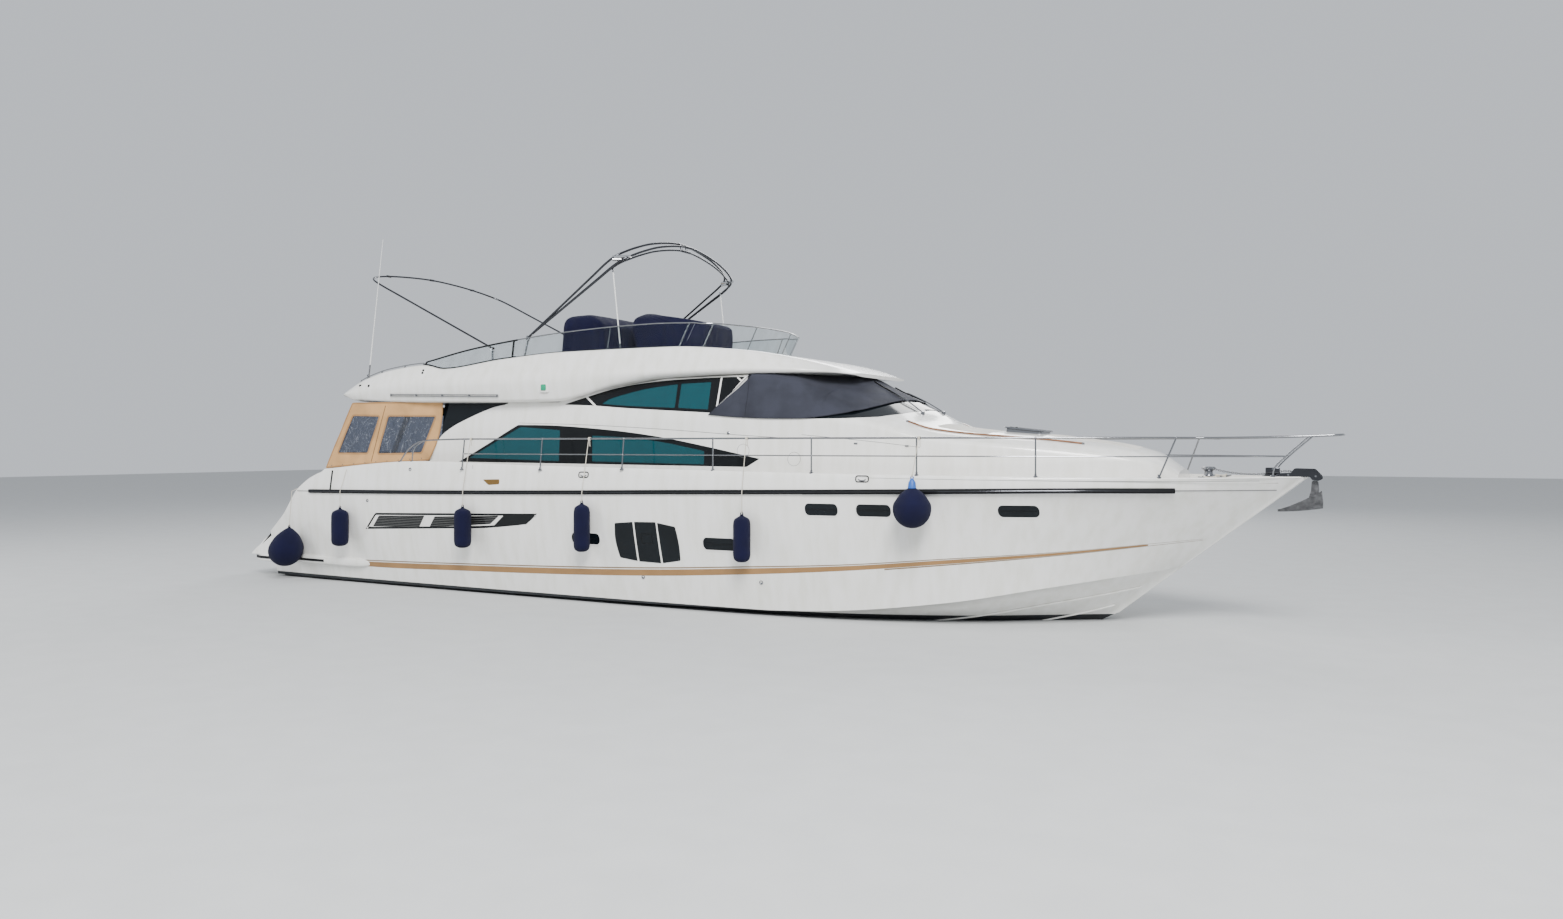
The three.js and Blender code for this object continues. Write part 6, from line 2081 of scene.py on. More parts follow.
def cleat(shape, place, turn, length=0.30, mat=0):
    """A horned cleat on two feet. turn is its heading."""
    spin = Matrix.Translation(place) @ Matrix.Rotation(turn, 4, "Z")
    part = Shape()
    horn = [(-length / 2, 0, 0.088), (-length * 0.36, 0, 0.078), (-length * 0.18, 0, 0.070),
            (0, 0, 0.068), (length * 0.18, 0, 0.070), (length * 0.36, 0, 0.078), (length / 2, 0, 0.088)]
    part.tube(horn, [0.009, 0.014, 0.018, 0.019, 0.018, 0.014, 0.009], 12)
    for x in (-length * 0.15, length * 0.15):
        part.tube([(x, 0, 0.0), (x, 0, 0.02), (x, 0, 0.068)], [0.024, 0.016, 0.013], 12)
    part.block((-length * 0.27, -0.03, -0.006), (length * 0.27, 0.03, 0.007), 0.006, 2)
    shape.join(part.moved(spin), mat)
    return shape


def fairlead(shape, x, z):
    """A ring let into the bulwark, with a curved bar across its lower half."""
    ring = rounded([(x - 0.10, z - 0.045), (x + 0.10, z - 0.045), (x + 0.10, z + 0.045),
                    (x - 0.10, z + 0.045)],
                   0.035, 4)
    shape.tube([(p[0], surface_y(p[0], p[1]) - 0.004, p[1]) for p in ring], 0.009, 8, 1, closed=True)
    inner = [(x - 0.06, z - 0.005), (x - 0.03, z - 0.022), (x + 0.03, z - 0.022), (x + 0.06, z - 0.005)]
    shape.tube([(p[0], surface_y(p[0], p[1]) - 0.006, p[1]) for p in spline(inner, 4)], 0.008, 8, 0)
    return shape


def make_deck_gear(sign):
    made = Shape()
    for x in (-0.8, 4.35):
        fairlead(made, x, 2.125)
        foot = rail_point(x, DECK_Z) + Vector((0, 0.16, 0.004))
        cleat(made, foot, 0.05 if x > 0 else 0.0)
    cleat(made, BOW_CLEAT, BOW_CLEAT_TURN, 0.34)
    cleat(made, Vector((-7.18, -2.2, at_x(SHEER, -7.18).z + 0.002)), 0.0, 0.30)
    for x, y in ((-3.9, -2.34), (1.0, -2.33)):
        made.lathe([(0.052, -0.004), (0.052, 0.003), (0.044, 0.006), (0.030, 0.006), (0.028, 0.004),
                    (0, 0.004)],
                   (x, y, DECK_Z), (0, 0, 1), 24)
    return made.side(sign)


pair("deck_fittings", make_deck_gear, ["stainless", "rubber"], "stainless")


def make_belays(sign):
    """Figure-of-eight turns left on the bow cleat."""
    made = Shape()
    spin = Matrix.Translation(BOW_CLEAT) @ Matrix.Rotation(BOW_CLEAT_TURN, 4, "Z")
    line = []
    turns = 3
    for k in range(turns * 24 + 1):
        a = 2 * math.pi * k / 24
        lift = 0.036 + 0.020 * (k / 24)
        line.append(spin @ Vector((0.085 * math.cos(a), 0.034 * math.sin(2 * a) * 1.1,
                                   lift + 0.008 * math.cos(2 * a))))
    made.tube(line, 0.0085, 8)
    return made.side(sign)


pair("belayed_rope", make_belays, ["rope"], "rope")


# Toe moulding along the deck's edge and joints on the foredeck, as thin lines in the shadow finish, and a
# black patch of painted shade for a slot aft
def make_toe_lines(sign):
    made = Shape()
    line = starboard_line(SHEER, -3.35, 9.7, 110, 0.055, -0.003)
    sweep(made, line, [(-0.006, -0.003), (0.0035, -0.0025), (0.0035, 0.0025), (-0.006, 0.003)], 0)
    side = [Vector((-3.35, surface_y(-3.35, z) - 0.001, z)) for z in (2.20, 2.235, 2.27)]
    made.tube(side, 0.003, 5, 0)
    # Black patch on the skin: painted shade for the slot's dark inside
    made.join(on_hull([(-7.135, 2.13), (-7.095, 2.13), (-7.085, 1.75), (-7.125, 1.75)], 0.006), 1)
    return made.side(sign)


pair("deck_edge_lines", make_toe_lines, ["shadow", "black"], "gelcoat")


# Side decks: non-skid panels along both sides and on the coachroof
def make_side_deck_panels(sign):
    made = Shape()
    spans = [(-3.2, -1.05), (-0.95, 1.2), (1.3, 3.4), (3.5, 5.4), (5.5, 7.1)]
    for x0, x1 in spans:
        outer = [(x, -(at_x(SHEER, x).y - 0.14)) for x in spread(x0, x1, 12)]
        inner = [(x, -(pchip(HOUSE, x)[0] + 0.05)) for x, _ in reversed(outer)]
        if outer[6][1] > inner[6][1] - 0.06:
            continue
        panel(made, [*outer, *inner], DECK_Z, 0.03, 0.005, 0)
    return made.side(sign)


def make_roof_panels():
    """Non-skid patches that follow the coachroof's crown."""
    made = Shape()
    for x0, x1, y0, y1 in ((4.95, 5.80, -0.86, -0.10), (4.95, 5.80, 0.10, 0.86),
                           (6.62, 8.0, -0.42, 0.42)):
        rings = []
        for i in range(15):
            x = x0 + (x1 - x0) * i / 14
            edge = 0.04 if i in (0, 14) else 0.0
            ring = []
            for k in range(13):
                y = y0 + edge + (y1 - y0 - 2 * edge) * k / 12
                ring.append(house_top(x, y, 0.004))
            back = [p - Vector((0, 0, 0.012)) for p in reversed(ring)]
            rings.append(ring + back)
        made.loft(rings)
    return made


pair("side_deck_panels", make_side_deck_panels, ["nonskid"], "gelcoat")
piece("coachroof_panels", make_roof_panels(), ["nonskid"], slot="gelcoat")


# Anchor on its roller, its chain and the windlass
TIP_Z = 2.1803


def make_roller():
    made = Shape()
    made.block((9.70, -0.094, TIP_Z), (10.34, 0.094, TIP_Z + 0.009), 0.003, 1)
    cheek = rounded([(9.72, TIP_Z), (9.74, TIP_Z + 0.034), (10.08, TIP_Z + 0.05), (10.13, TIP_Z + 0.118),
                     (10.40, TIP_Z + 0.112), (10.492, TIP_Z + 0.012), (10.496, TIP_Z - 0.035),
                     (10.455, TIP_Z - 0.057), (10.37, TIP_Z - 0.055), (10.33, TIP_Z)], 0.02, 3)
    # The cheeks take stainless darkened as painted shade
    for y in (-0.0945, 0.0865):
        made.prism(cheek, "y", y, y + 0.008, 2)
    for x, z, radius in ((10.41, TIP_Z + 0.008, 0.036), (10.05, TIP_Z + 0.024, 0.022)):
        made.lathe([(0.012, -0.084), (radius, -0.082), (radius, -0.03), (radius * 0.7, 0.0),
                    (radius, 0.03), (radius, 0.082), (0.012, 0.084)], (x, 0, z), (0, 1, 0), 20, 1)
        for y in (-0.0985, 0.0905):
            made.lathe([(0.014, 0.0), (0.014, 0.006), (0.009, 0.008), (0, 0.008)], (x, y, z), (0, 1, 0),
                       12)
    # The chain stopper's plates, also in stainless darkened as painted shade
    for y in (-0.062, 0.040):
        made.block((9.74, y, TIP_Z + 0.008), (9.93, y + 0.022, TIP_Z + 0.125), 0.012, 2, 2)
    made.tube([(9.84, -0.075, TIP_Z + 0.105), (9.84, 0.075, TIP_Z + 0.105)], 0.010, 12)
    return made


def make_anchor():
    made = Shape()
    shank = rounded([(10.355, 2.118), (10.440, 2.118), (10.452, 1.99), (10.435, 1.88), (10.39, 1.78),
                     (10.26, 1.76), (10.31, 1.86), (10.345, 1.97)], 0.02, 4)
    rings = []
    for y, pull in ((-0.014, 0.006), (-0.009, 0.0), (0.009, 0.0), (0.014, 0.006)):
        rings.append([(p[0], y, p[1]) for p in (inset(shank, pull) if pull else shank)])
    made.loft(rings)
    rings = []
    for k in range(19):
        s = k / 18
        x = 9.902 + 0.60 * s
        spine = 1.662 + 0.012 * s + 0.05 * s * s
        half = 0.008 + 0.121 * math.sin(s * math.pi / 2) ** 0.9
        wing = 0.014 + 0.225 * s**1.15
        thick = 0.010 + 0.010 * (1 - s)
        ring = [(x - 0.02 * s, -half, spine + wing), (x, -half * 0.5, spine + wing * 0.32), (x, 0, spine),
                (x, half * 0.5, spine + wing * 0.32), (x - 0.02 * s, half, spine + wing)]
        back = [(p[0], p[1] * 0.96, p[2] + thick) for p in reversed(ring)]
        rings.append(ring + back)
    made.loft(rings)
    made.block((10.30, -0.022, 1.775), (10.40, 0.022, 1.835), 0.012, 2)
    made.lathe([(0.012, -0.026), (0.012, 0.026)], (10.405, 0, 2.085), (0, 1, 0), 12)
    return made


def chain_link(shape, centre, along, flat, length=0.040, wire=0.0045):
    """One oval link."""
    side = Vector((0, 1, 0)) if flat else along.cross(Vector((0, 1, 0))).normalized()
    line = []
    for a in angles(16):
        straight = (length / 2 - 0.011) * (1 if math.cos(a) > 0 else -1)
        line.append(centre + along * (math.cos(a) * 0.011 + straight) + side * math.sin(a) * 0.0115)
    return shape.tube(line, wire, 6, 0, closed=True)


def make_chain():
    made = Shape()
    path = spline([(9.02, 0.0, 2.28), (9.2, 0.0, 2.235), (9.6, 0.0, 2.203), (10.0, 0.0, 2.255),
                   (10.2, 0, 2.243), (10.42, 0.0, 2.234), (10.463, 0, 2.19), (10.438, 0, 2.135),
                   (10.41, 0, 2.10)], 40)
    pitch = 0.030
    distance, want, links = 0.0, 0.0, 0
    for a, b in zip(path, path[1:]):
        step = (b - a).length
        while want <= distance + step:
            p = a.lerp(b, (want - distance) / max(step, 1e-9))
            chain_link(made, p, (b - a).normalized(), links % 2 == 0)
            links += 1
            want += pitch
        distance += step
    return made


def make_windlass():
    made = Shape()
    z = DECK_Z + 0.0003
    made.block((8.76, -0.13, z), (9.14, 0.13, z + 0.038), 0.018, 3)
    drum = [(0.095, 0.038), (0.098, 0.05), (0.094, 0.088), (0.070, 0.098), (0.060, 0.13), (0.060, 0.158),
            (0.076, 0.176), (0.094, 0.19), (0.094, 0.222), (0.082, 0.23), (0.03, 0.232), (0, 0.232)]
    made.lathe([(r, h + z) for r, h in drum], (8.95, 0, 0), (0, 0, 1), 36)
    for a in angles(8):
        p = Vector((8.95 + 0.093 * math.cos(a), 0.093 * math.sin(a), z + 0.205))
        made.block(p - Vector((0.008, 0.008, 0.014)), p + Vector((0.008, 0.008, 0.014)), 0.004, 2)
    for y in (-0.30, -0.42):
        made.lathe([(0.045, 0.0), (0.045, 0.008), (0.038, 0.012), (0.03, 0.018), (0, 0.02)], (8.72, y, z),
                   (0, 0, 1), 20, 1)
    return made


piece("bow_roller_cheeks", make_roller(), ["stainless", "rubber", "stainless_painted_shade"], slot="stainless",
      replaces=("bow_roller",))
piece("anchor_plough", make_anchor(), ["galvanised"], slot="stainless", replaces=("anchor",))
piece("anchor_chain", make_chain(), ["galvanised"], slot="stainless")
piece("windlass_drum", make_windlass(), ["stainless", "rubber"], slot="stainless", replaces=("windlass",))


# Foredeck hatch: frame on the coachroof, smoked lid in a bright rim
HATCH_PLACE = Matrix.Translation((6.2, 0, 2.853)) @ Matrix.Rotation(math.radians(6), 4, "Y")


def square(half, radius):
    return rounded([(-half, -half), (half, -half), (half, half), (-half, half)], radius, 6)


def make_hatch_frame():
    outer, inner = square(0.29, 0.05), square(0.262, 0.035)
    made = Shape()
    n = len(outer)
    rings = [[(p[0], p[1], -0.08) for p in outer], [(p[0], p[1], 0.012) for p in outer],
             [(p[0] * 0.985, p[1] * 0.985, 0.021) for p in outer], [(p[0], p[1], 0.021) for p in inner],
             [(p[0], p[1], -0.08) for p in inner]]
    verts = [p for ring in rings for p in ring]
    faces = []
    for r in range(len(rings)):
        a, b = r * n, ((r + 1) % len(rings)) * n
        faces += [[a + i, a + (i + 1) % n, b + (i + 1) % n, b + i] for i in range(n)]
    return made.add(verts, faces).moved(HATCH_PLACE)


def make_hatch_lid():
    made = Shape()
    outer, inner = square(0.32, 0.06), square(0.288, 0.04)
    n = len(outer)
    rings = [[(p[0], p[1], 0.0225) for p in outer], [(p[0], p[1], 0.040) for p in outer],
             [(p[0] * 0.985, p[1] * 0.985, 0.048) for p in outer], [(p[0], p[1], 0.0475) for p in inner],
             [(p[0], p[1], 0.0225) for p in inner]]
    verts = [p for ring in rings for p in ring]
    faces = []
    for r in range(len(rings)):
        a, b = r * n, ((r + 1) % len(rings)) * n
        faces += [[a + i, a + (i + 1) % n, b + (i + 1) % n, b + i] for i in range(n)]
    made.add(verts, faces)
    made.prism(inset(inner, 0.0008), "z", 0.030, 0.0445, 1)
    for y in (-0.16, 0.16):
        made.block((0.285, y - 0.03, 0.024), (0.322, y + 0.03, 0.044), 0.005, 2)
        made.lathe([(0.020, 0.0), (0.020, 0.006), (0.012, 0.009), (0, 0.009)], (-0.25, y, 0.0446),
                   (0, 0, 1), 16, 2)
    return made.moved(HATCH_PLACE)


piece("foredeck_hatch_frame", make_hatch_frame(), ["stainless"], slot="stainless")
piece("foredeck_hatch_lid", make_hatch_lid(), ["stainless", "smoked", "rubber"], body="foredeck_hatch",
      slot="clear_acrylic", replaces=("foredeck_hatch",))


# Fenders in knitted covers, each on a taut line. Columns: node, x, top, bottom, radius, height at which the
# line is fast
FENDERS = [("fender_quarter", -6.68, 1.39, 0.66, 0.165, 2.15),
           ("fender_aft", -3.43, 1.50, 0.77, 0.155, RAIL_TOP),
           ("fender_midships", -0.72, 1.64, 0.82, 0.14, RAIL_TOP),
           ("fender_forward", 2.38, 1.53, 0.79, 0.14, RAIL_TOP)]
BALL_FENDERS = [("ball_fender_stern", -8.29, 0.97, 0.185, 0.335, 1.75),
                ("ball_fender_bow", 5.21, 2.03, 1.42, 0.285, RAIL_TOP)]
# Where a fender differs: how far its top leans forward, the x of its line's end, its neck's height
LEAN = {"ball_fender_stern": 0.12}
TIE_X = {"ball_fender_stern": -8.09}
NECK_HIGH = {"ball_fender_bow": 0.115}
ROPE_R = 0.0065


def cylinder_profile(top, bottom, radius):
    line = spline([(0.001, bottom + 0.004), (radius * 0.45, bottom + 0.006),
                   (radius * 0.86, bottom + 0.045), (radius * 0.985, bottom + 0.11),
                   (radius, bottom + 0.20), (radius, top - 0.22), (radius * 0.985, top - 0.13),
                   (radius * 0.84, top - 0.062), (radius * 0.38, top - 0.02), (0.026, top - 0.004),
                   (0.001, top)], 5)
    return [(max(p.x, 0.0005), p.y) for p in line]


def ball_profile(top, bottom, radius):
    centre = bottom + radius
    points = [(0.001, bottom)]
    for k in range(1, 7):
        a = -math.pi / 2 + k * math.pi / 10.5
        points.append((radius * math.cos(a), centre + radius * math.sin(a)))
    for share, up in ((0.86, 0.38), (0.67, 0.62), (0.44, 0.80), (0.20, 0.94), (0.09, 0.985)):
        points.append((radius * share, centre + (top - centre) * up))
    points.append((0.001, top))
    return [(max(p.x, 0.0005), p.y) for p in spline(points, 4)]


def fender_body(node, x, radius, profile, seed):
    """A turned body with the slight bumps and gathers of its cover."""
    low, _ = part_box(node)
    y = low[1] + radius
    made = Shape()
    sides = 40
    rings = []
    top = max(h for _, h in profile)
    lean = LEAN.get(node, 0.0)
    foot = min(h for _, h in profile)
    for r, h in profile:
        ring = []
        shift = lean * ((h - foot) / (top - foot)) ** 2
        for a in angles(sides):
            bump = noise.noise(Vector((math.cos(a) * 2 + seed, math.sin(a) * 2, h * 5))) * 0.003
            gather = 0.0025 * math.sin(a * 12) * max(0.0, 1 - (top - h) / 0.12)
            size = max(0.0005, r + (bump + gather) * min(1, r / 0.08) - 0.003)
            ring.append((x + shift + size * math.cos(a), y + size * math.sin(a), h))
        rings.append(ring)
    return made.loft(rings), y


def fender_line(x, y, top, tie, tie_x):
    rub, sheer = at_x(RUB, tie_x), at_x(SHEER, tie_x)
    points = [Vector((x, y, top))]
    if top < rub.z:
        points.append(Vector((tie_x, min(-(rub.y + 0.059), y), rub.z)))
    if tie == RAIL_TOP:
        points.append(Vector((tie_x, -(sheer.y - 0.04 + 0.024), tie)))
    else:
        up = (tie - rub.z) / (sheer.z - rub.z)
        points.append(Vector((tie_x, -(rub.y + (sheer.y - rub.y) * min(max(up, 0), 1) + 0.019), tie)))
    return points


def add_fender(row, make_profile, seed):
    node, x, top, bottom, radius, tie = row
    body, y = fender_body(node, x, radius, make_profile(top, bottom, radius), seed)
    tie_x = TIE_X.get(node, x)
    high = NECK_HIGH.get(node, 0.012)
    x += LEAN.get(node, 0.0)
    points = fender_line(x, y, top + high + 0.023, tie, tie_x)
    neck = 1
    wide = 0.031 if high < 0.05 else 0.062
    body.lathe([(wide, -0.055), (wide, -0.02), (wide * 0.87, high * 0.5), (0.028, high * 0.9),
                (0.016, high), (0, high)], (x, y, top), (0, 0, 1), 20, neck)
    eye = [(x + 0.020 * math.cos(a), y, top + high + 0.014 + 0.020 * math.sin(a)) for a in angles(16)]
    body.tube(eye, 0.009, 8, neck, closed=True)
    body.tube(points, ROPE_R, 8, 2)
    knot = points[0]
    for k in range(3):
        body.tube([knot + Vector((0.011 * math.cos(a), 0.011 * math.sin(a), 0.008 + k * 0.012))
                   for a in angles(10)], 0.006, 6, 2, closed=True)
    if tie == RAIL_TOP:
        add_hitch(body, points[-1], x)
    neck_mat = "fender_neck" if node == "ball_fender_bow" else "navy_edge"
    piece(node + "_covered", body, ["navy", neck_mat, "rope"], slot="navy_fabric", replaces=(node,))


def add_hitch(shape, end, x):
    """Turns of the line round the top rail."""
    centre = rail_point(x, RAIL_TOP)
    for k in (-1, 0, 1):
        ring = [(centre.x + k * 0.0135, centre.y + 0.0215 * math.cos(a), centre.z + 0.0215 * math.sin(a))
                for a in angles(16)]
        shape.tube(ring, ROPE_R, 8, 2, closed=True)
    tail = spline([end + Vector((0.015, 0, 0)), end + Vector((0.024, -0.004, -0.06)),
                   end + Vector((0.022, 0.0, -0.10)), end + Vector((0.028, 0.002, -0.13))], 5)
    shape.tube(tail, ROPE_R, 8, 2)


for seed, row in enumerate(FENDERS):
    add_fender(row, cylinder_profile, seed * 3.1)
for seed, row in enumerate(BALL_FENDERS):
    add_fender(row, ball_profile, 20 + seed * 3.1)


# Canvas round the cockpit: tan cloth with clear windows sewn in, cut from slightly wavy sheets
def wavy_slab(u0, u1, v0, v1, step, wave, thickness):
    """A closed sheet over u, v whose middle is pushed out by wave(u, v)."""
    nu, nv = round((u1 - u0) / step), round((v1 - v0) / step)
    layers = []
    for lift in (0.0, thickness):
        layer = []
        for i in range(nu + 1):
            for k in range(nv + 1):
                u, v = u0 + (u1 - u0) * i / nu, v0 + (v1 - v0) * k / nv
                layer.append((u, wave(u, v) + lift, v))
        layers.append(layer)
    count = (nu + 1) * (nv + 1)

    def at(i, k, layer):
        return layer * count + i * (nv + 1) + k

    faces = []
    for i in range(nu):
        for k in range(nv):
            faces.append([at(i, k, 0), at(i + 1, k, 0), at(i + 1, k + 1, 0), at(i, k + 1, 0)])
            faces.append([at(i, k, 1), at(i, k + 1, 1), at(i + 1, k + 1, 1), at(i + 1, k, 1)])
    for i in range(nu):
        for k, turn in ((0, False), (nv, True)):
            face = [at(i, k, 0), at(i, k, 1), at(i + 1, k, 1), at(i + 1, k, 0)]
            faces.append(face[::-1] if turn else face)
    for k in range(nv):
        for i, turn in ((0, True), (nu, False)):
            face = [at(i, k, 0), at(i, k, 1), at(i, k + 1, 1), at(i, k + 1, 0)]
            faces.append(face[::-1] if turn else face)
    return Shape().add(layers[0] + layers[1], faces)


def canvas_wave(u, v):
    """Soft puckers that run down between the fastenings."""
    slack = noise.noise(Vector((u * 1.1, v * 0.8, 2.0))) * 0.012
    pucker = math.sin(u * 21 + 3 * noise.noise(Vector((u, v, 7.0)))) * 0.0022
    return slack + pucker


def vinyl_wave(u, v):
    """Sharper creases in the clear sheet, leaning with the panel."""
    lean = u + v * 0.35
    crease = abs(noise.noise(Vector((lean * 4.5, v * 1.2, 5.0)))) ** 0.6 * 0.026
    fine = abs(noise.noise(Vector((lean * 12, v * 5, 9.0)))) * 0.006
    return canvas_wave(u, v) + crease + fine + 0.0005


def edge_strips(outlines, wave, width, lift, step=0.03):
    """Bound edges: thin bands that follow outlines on the sheet."""
    made = Shape()
    for outline in outlines:
        ahead = [*outline[1:], outline[0]]
        length = sum((Vector(a[:2]) - Vector(b[:2])).length for a, b in zip(outline, ahead))
        line = resample(outline, max(12, round(length / step)))
        n = len(line)
        rings = []
        for i, p in enumerate(line):
            along = (line[(i + 1) % n] - line[i - 1]).normalized()
            side = Vector((-along.y, along.x)) * width / 2
            ring = []
            for offset, h in ((-1, 0.0), (-0.7, lift), (0.7, lift), (1, 0.0)):
                q = p + side * offset
                ring.append(Vector((q.x, wave(q.x, q.y) - h - 0.0002, q.y)))
            ring += [Vector((p.x + side.x * k, wave(p.x, p.y) + 0.003,
                             p.y + side.y * k)) for k in (0.9, -0.9)]
            rings.append(ring)
        made.loft(rings, 0, closed=True)
    return made


def sheet_parts(outline, windows, box):
    """Canvas with holes, clear panes, and bindings, in the flat frame u, depth, v."""
    prism = Shape().prism(outline, "y", -1, 1)
    holes = [Shape().prism(w, "y", -1, 1) for w in windows]
    canvas = carve(wavy_slab(*box, 0.035, canvas_wave, 0.0022), [prism], "INTERSECT")
    canvas = carve(canvas, holes)
    panes = Shape()
    slab = wavy_slab(*box, 0.03, vinyl_wave, 0.0012)
    for w in windows:
        panes.join(carve(slab, [Shape().prism(inset(w, -0.012), "y", -1, 1)], "INTERSECT"))
    bindings = edge_strips(windows, canvas_wave, 0.035, 0.0015)
    bindings.join(edge_strips([inset(outline, 0.014)], canvas_wave, 0.030, 0.0022))
    return canvas, panes, bindings


SIDE_CANVAS = rounded([(-6.775, 3.472), (-6.0, 3.466), (-4.535, 3.468), (-4.54, 3.20), (-4.63, 2.76),
                       (-4.86, 2.335), (-6.45, 2.25), (-7.475, 2.165)],
                      [0.05, 0, 0.03, 0.3, 0.5, 0.05, 0.5, 0.03], 5)
SIDE_WINDOWS = [
    rounded([(-6.76, 3.225), (-6.07, 3.205), (-6.38, 2.46), (-7.16, 2.46)], 0.05, 4),
    rounded([(-5.87, 3.205), (-4.70, 3.19), (-5.05, 2.47), (-6.13, 2.45)], 0.05, 4),
]
CANVAS_Y = -2.106
CANVAS_SPREAD = 0.25
SPREAD_FROM, SPREAD_RUN = -4.6, 2.8


def to_side(shape):
    """Stands the flat panel on the coaming, wider aft than at the house."""
    made = Shape()
    for v in shape.verts:
        share = min(max((SPREAD_FROM - v.x) / SPREAD_RUN, 0.0), 1.0)
        made.verts.append(Vector((v.x, v.y + CANVAS_Y - CANVAS_SPREAD * share, v.z)))
    made.faces = [f[:] for f in shape.faces]
    made.mats = shape.mats[:]
    return made


side_canvas, side_panes, side_bindings = sheet_parts(SIDE_CANVAS, SIDE_WINDOWS, (-7.55, -4.5, 2.0, 3.6))


SNAP = [(0.010, 0.0), (0.010, 0.003), (0.006, 0.005), (0, 0.005)]


def make_snaps():
    """Fasteners along the cloth's lower edge and a zip beside the slanted strip."""
    made = Shape()
    for x in spread(-7.30, -5.05, 8):
        z = 2.21 + (x + 7.435) * 0.070
        made.lathe(SNAP,
                   (x, canvas_wave(x, z) - 0.003, z), (0, -1, 0), 12)
    zip_line = zip(spread(-5.93, -6.29, 10), spread(3.40, 2.30, 10))
    made.tube([(x, canvas_wave(x, z) - 0.0022, z) for x, z in zip_line], 0.0035, 6, 1)
    return made


def add_canopy(name, place, canvas, panes, bindings, extra, node):
    cloth = piece(f"{name}_canvas", place(canvas), ["tan"], slot="tan_canvas", replaces=(node,), angle=60)
    clear = piece(f"{name}_panes", place(panes), ["vinyl"], slot="clear_vinyl", angle=60)
    bound = piece(f"{name}_bindings", place(bindings), ["tan_edge"], slot="tan_canvas", angle=60)
    more = piece(f"{name}_fasteners", place(extra), ["stainless", "rubber"], slot="stainless")


side_extra = make_snaps()
for side, sign in SIDES:
    add_canopy(f"canopy_{side}", lambda s, g=sign: to_side(s).side(g), side_canvas, side_panes,
               side_bindings, side_extra, f"canopy_{side}")


# The after panel leans forward above the coaming. Its flat height runs up the profile
AFT_PROFILE = [(-7.485, 2.155), (-7.38, 2.35), (-6.735, 3.545)]
AFT_FLAT = [(Vector(AFT_PROFILE[1]) - Vector(AFT_PROFILE[0])).length,
            (Vector(AFT_PROFILE[2]) - Vector(AFT_PROFILE[1])).length]
AFT_LINE = [Vector(p) for p in rounded(AFT_PROFILE, 0.12, 8, closed=False)]


def aft_place(shape):
    """Bends the flat panel (y, depth, run up the profile) on to the profile."""
    lengths = [0.0]
    for a, b in zip(AFT_LINE, AFT_LINE[1:]):
        lengths.append(lengths[-1] + (b - a).length)
    made = Shape()
    for v in shape.verts:
        run = min(max(v.z, 0.0), lengths[-1] - 1e-6)
        i = max(k for k in range(len(lengths) - 1) if lengths[k] <= run)
        p = AFT_LINE[i].lerp(AFT_LINE[i + 1], (run - lengths[i]) / (lengths[i + 1] - lengths[i]))
        along = (AFT_LINE[i + 1] - AFT_LINE[i]).normalized()
        out = Vector((-along.y, along.x))
        p = p - out * v.y + along * (v.z - run)
        made.verts.append(Vector((p.x, v.x, p.y)))
    made.faces = [f[:] for f in shape.faces]
    made.mats = shape.mats[:]
    return made


AFT_TOP = sum(AFT_FLAT) - 0.11
AFT_OUTLINE = rounded([(-2.35, 0.012), (2.35, 0.012), (2.29, AFT_TOP), (-2.29, AFT_TOP)], 0.03, 3)
AFT_WINDOWS = [rounded([(y0, 0.36), (y1, 0.36), (y1, 1.28), (y0, 1.28)], 0.07, 4)
               for y0, y1 in ((-2.20, -0.80), (-0.68, 0.68), (0.80, 2.20))]
aft_canvas, aft_panes, aft_bindings = sheet_parts(AFT_OUTLINE, AFT_WINDOWS, (-2.42, 2.42, -0.03, 1.75))


def make_aft_zips():
    made = Shape()
    for y in (-0.74, 0.74):
        made.tube([(y, canvas_wave(y, v) - 0.0022, v) for v in spread(0.06, 1.46, 16)], 0.0035, 6, 1)
    for y in spread(-2.2, 2.2, 14):
        made.lathe(SNAP,
                   (y, canvas_wave(y, 0.035) - 0.003, 0.035), (0, -1, 0), 12)
    return made


add_canopy("canopy_aft", aft_place, aft_canvas, aft_panes, aft_bindings, make_aft_zips(), "canopy_aft")


# Dark glass between the swept edge and the overhang
QUARTER_SKIN = house_skin(-0.003, -0.011, -4.9, -2.7)


def make_quarter_glass(sign):
    upper = [(-4.56, 3.60), (-3.0, 3.60)]
    swept = curve(SWOOSH)
    inside = [(x, z + 0.004) for x, z in swept if x > -4.56]
    start = (-4.56, 2.86)
    outline = [*upper, (-3.0, 3.40), *[p for p in reversed(inside) if p[0] < -3.0], start]
    shape = carve(QUARTER_SKIN, [side_tool(outline)], "INTERSECT")
    return carve(shape, [above_roof(-0.002)]).side(sign)


pair("quarter_glass_pane", make_quarter_glass, ["dark_glass"], "tinted_glass", "quarter_glass")


def make_swoosh_edge(sign):
    """Rubber edge where the quarter glass meets the swept moulding."""
    made = Shape()
    pts = [(x, house_side_y(x, min(z, 3.45)), z) for x, z in curve(SWOOSH) if -4.7 < x < -3.02]
    return made.tube(pts, 0.006, 6).side(sign)


pair("quarter_glass_edge", make_swoosh_edge, ["rubber"], "black_frame")


# Cockpit, steps and transom behind the canvas
def make_treads():
    """Teak on each step, with soft edges."""
    made = Shape()
    for k, y0, y1, x, top in stairs(0.03):
        x0 = x + 0.025
        x1 = x0 + STEP_RUN - (0.04 if k < 2 else 0.03)
        panel(made, [(x0, y0), (x1, y0), (x1, y1), (x0, y1)], top + 0.001, 0.02, 0.006, 0, top - 0.004)
    return made


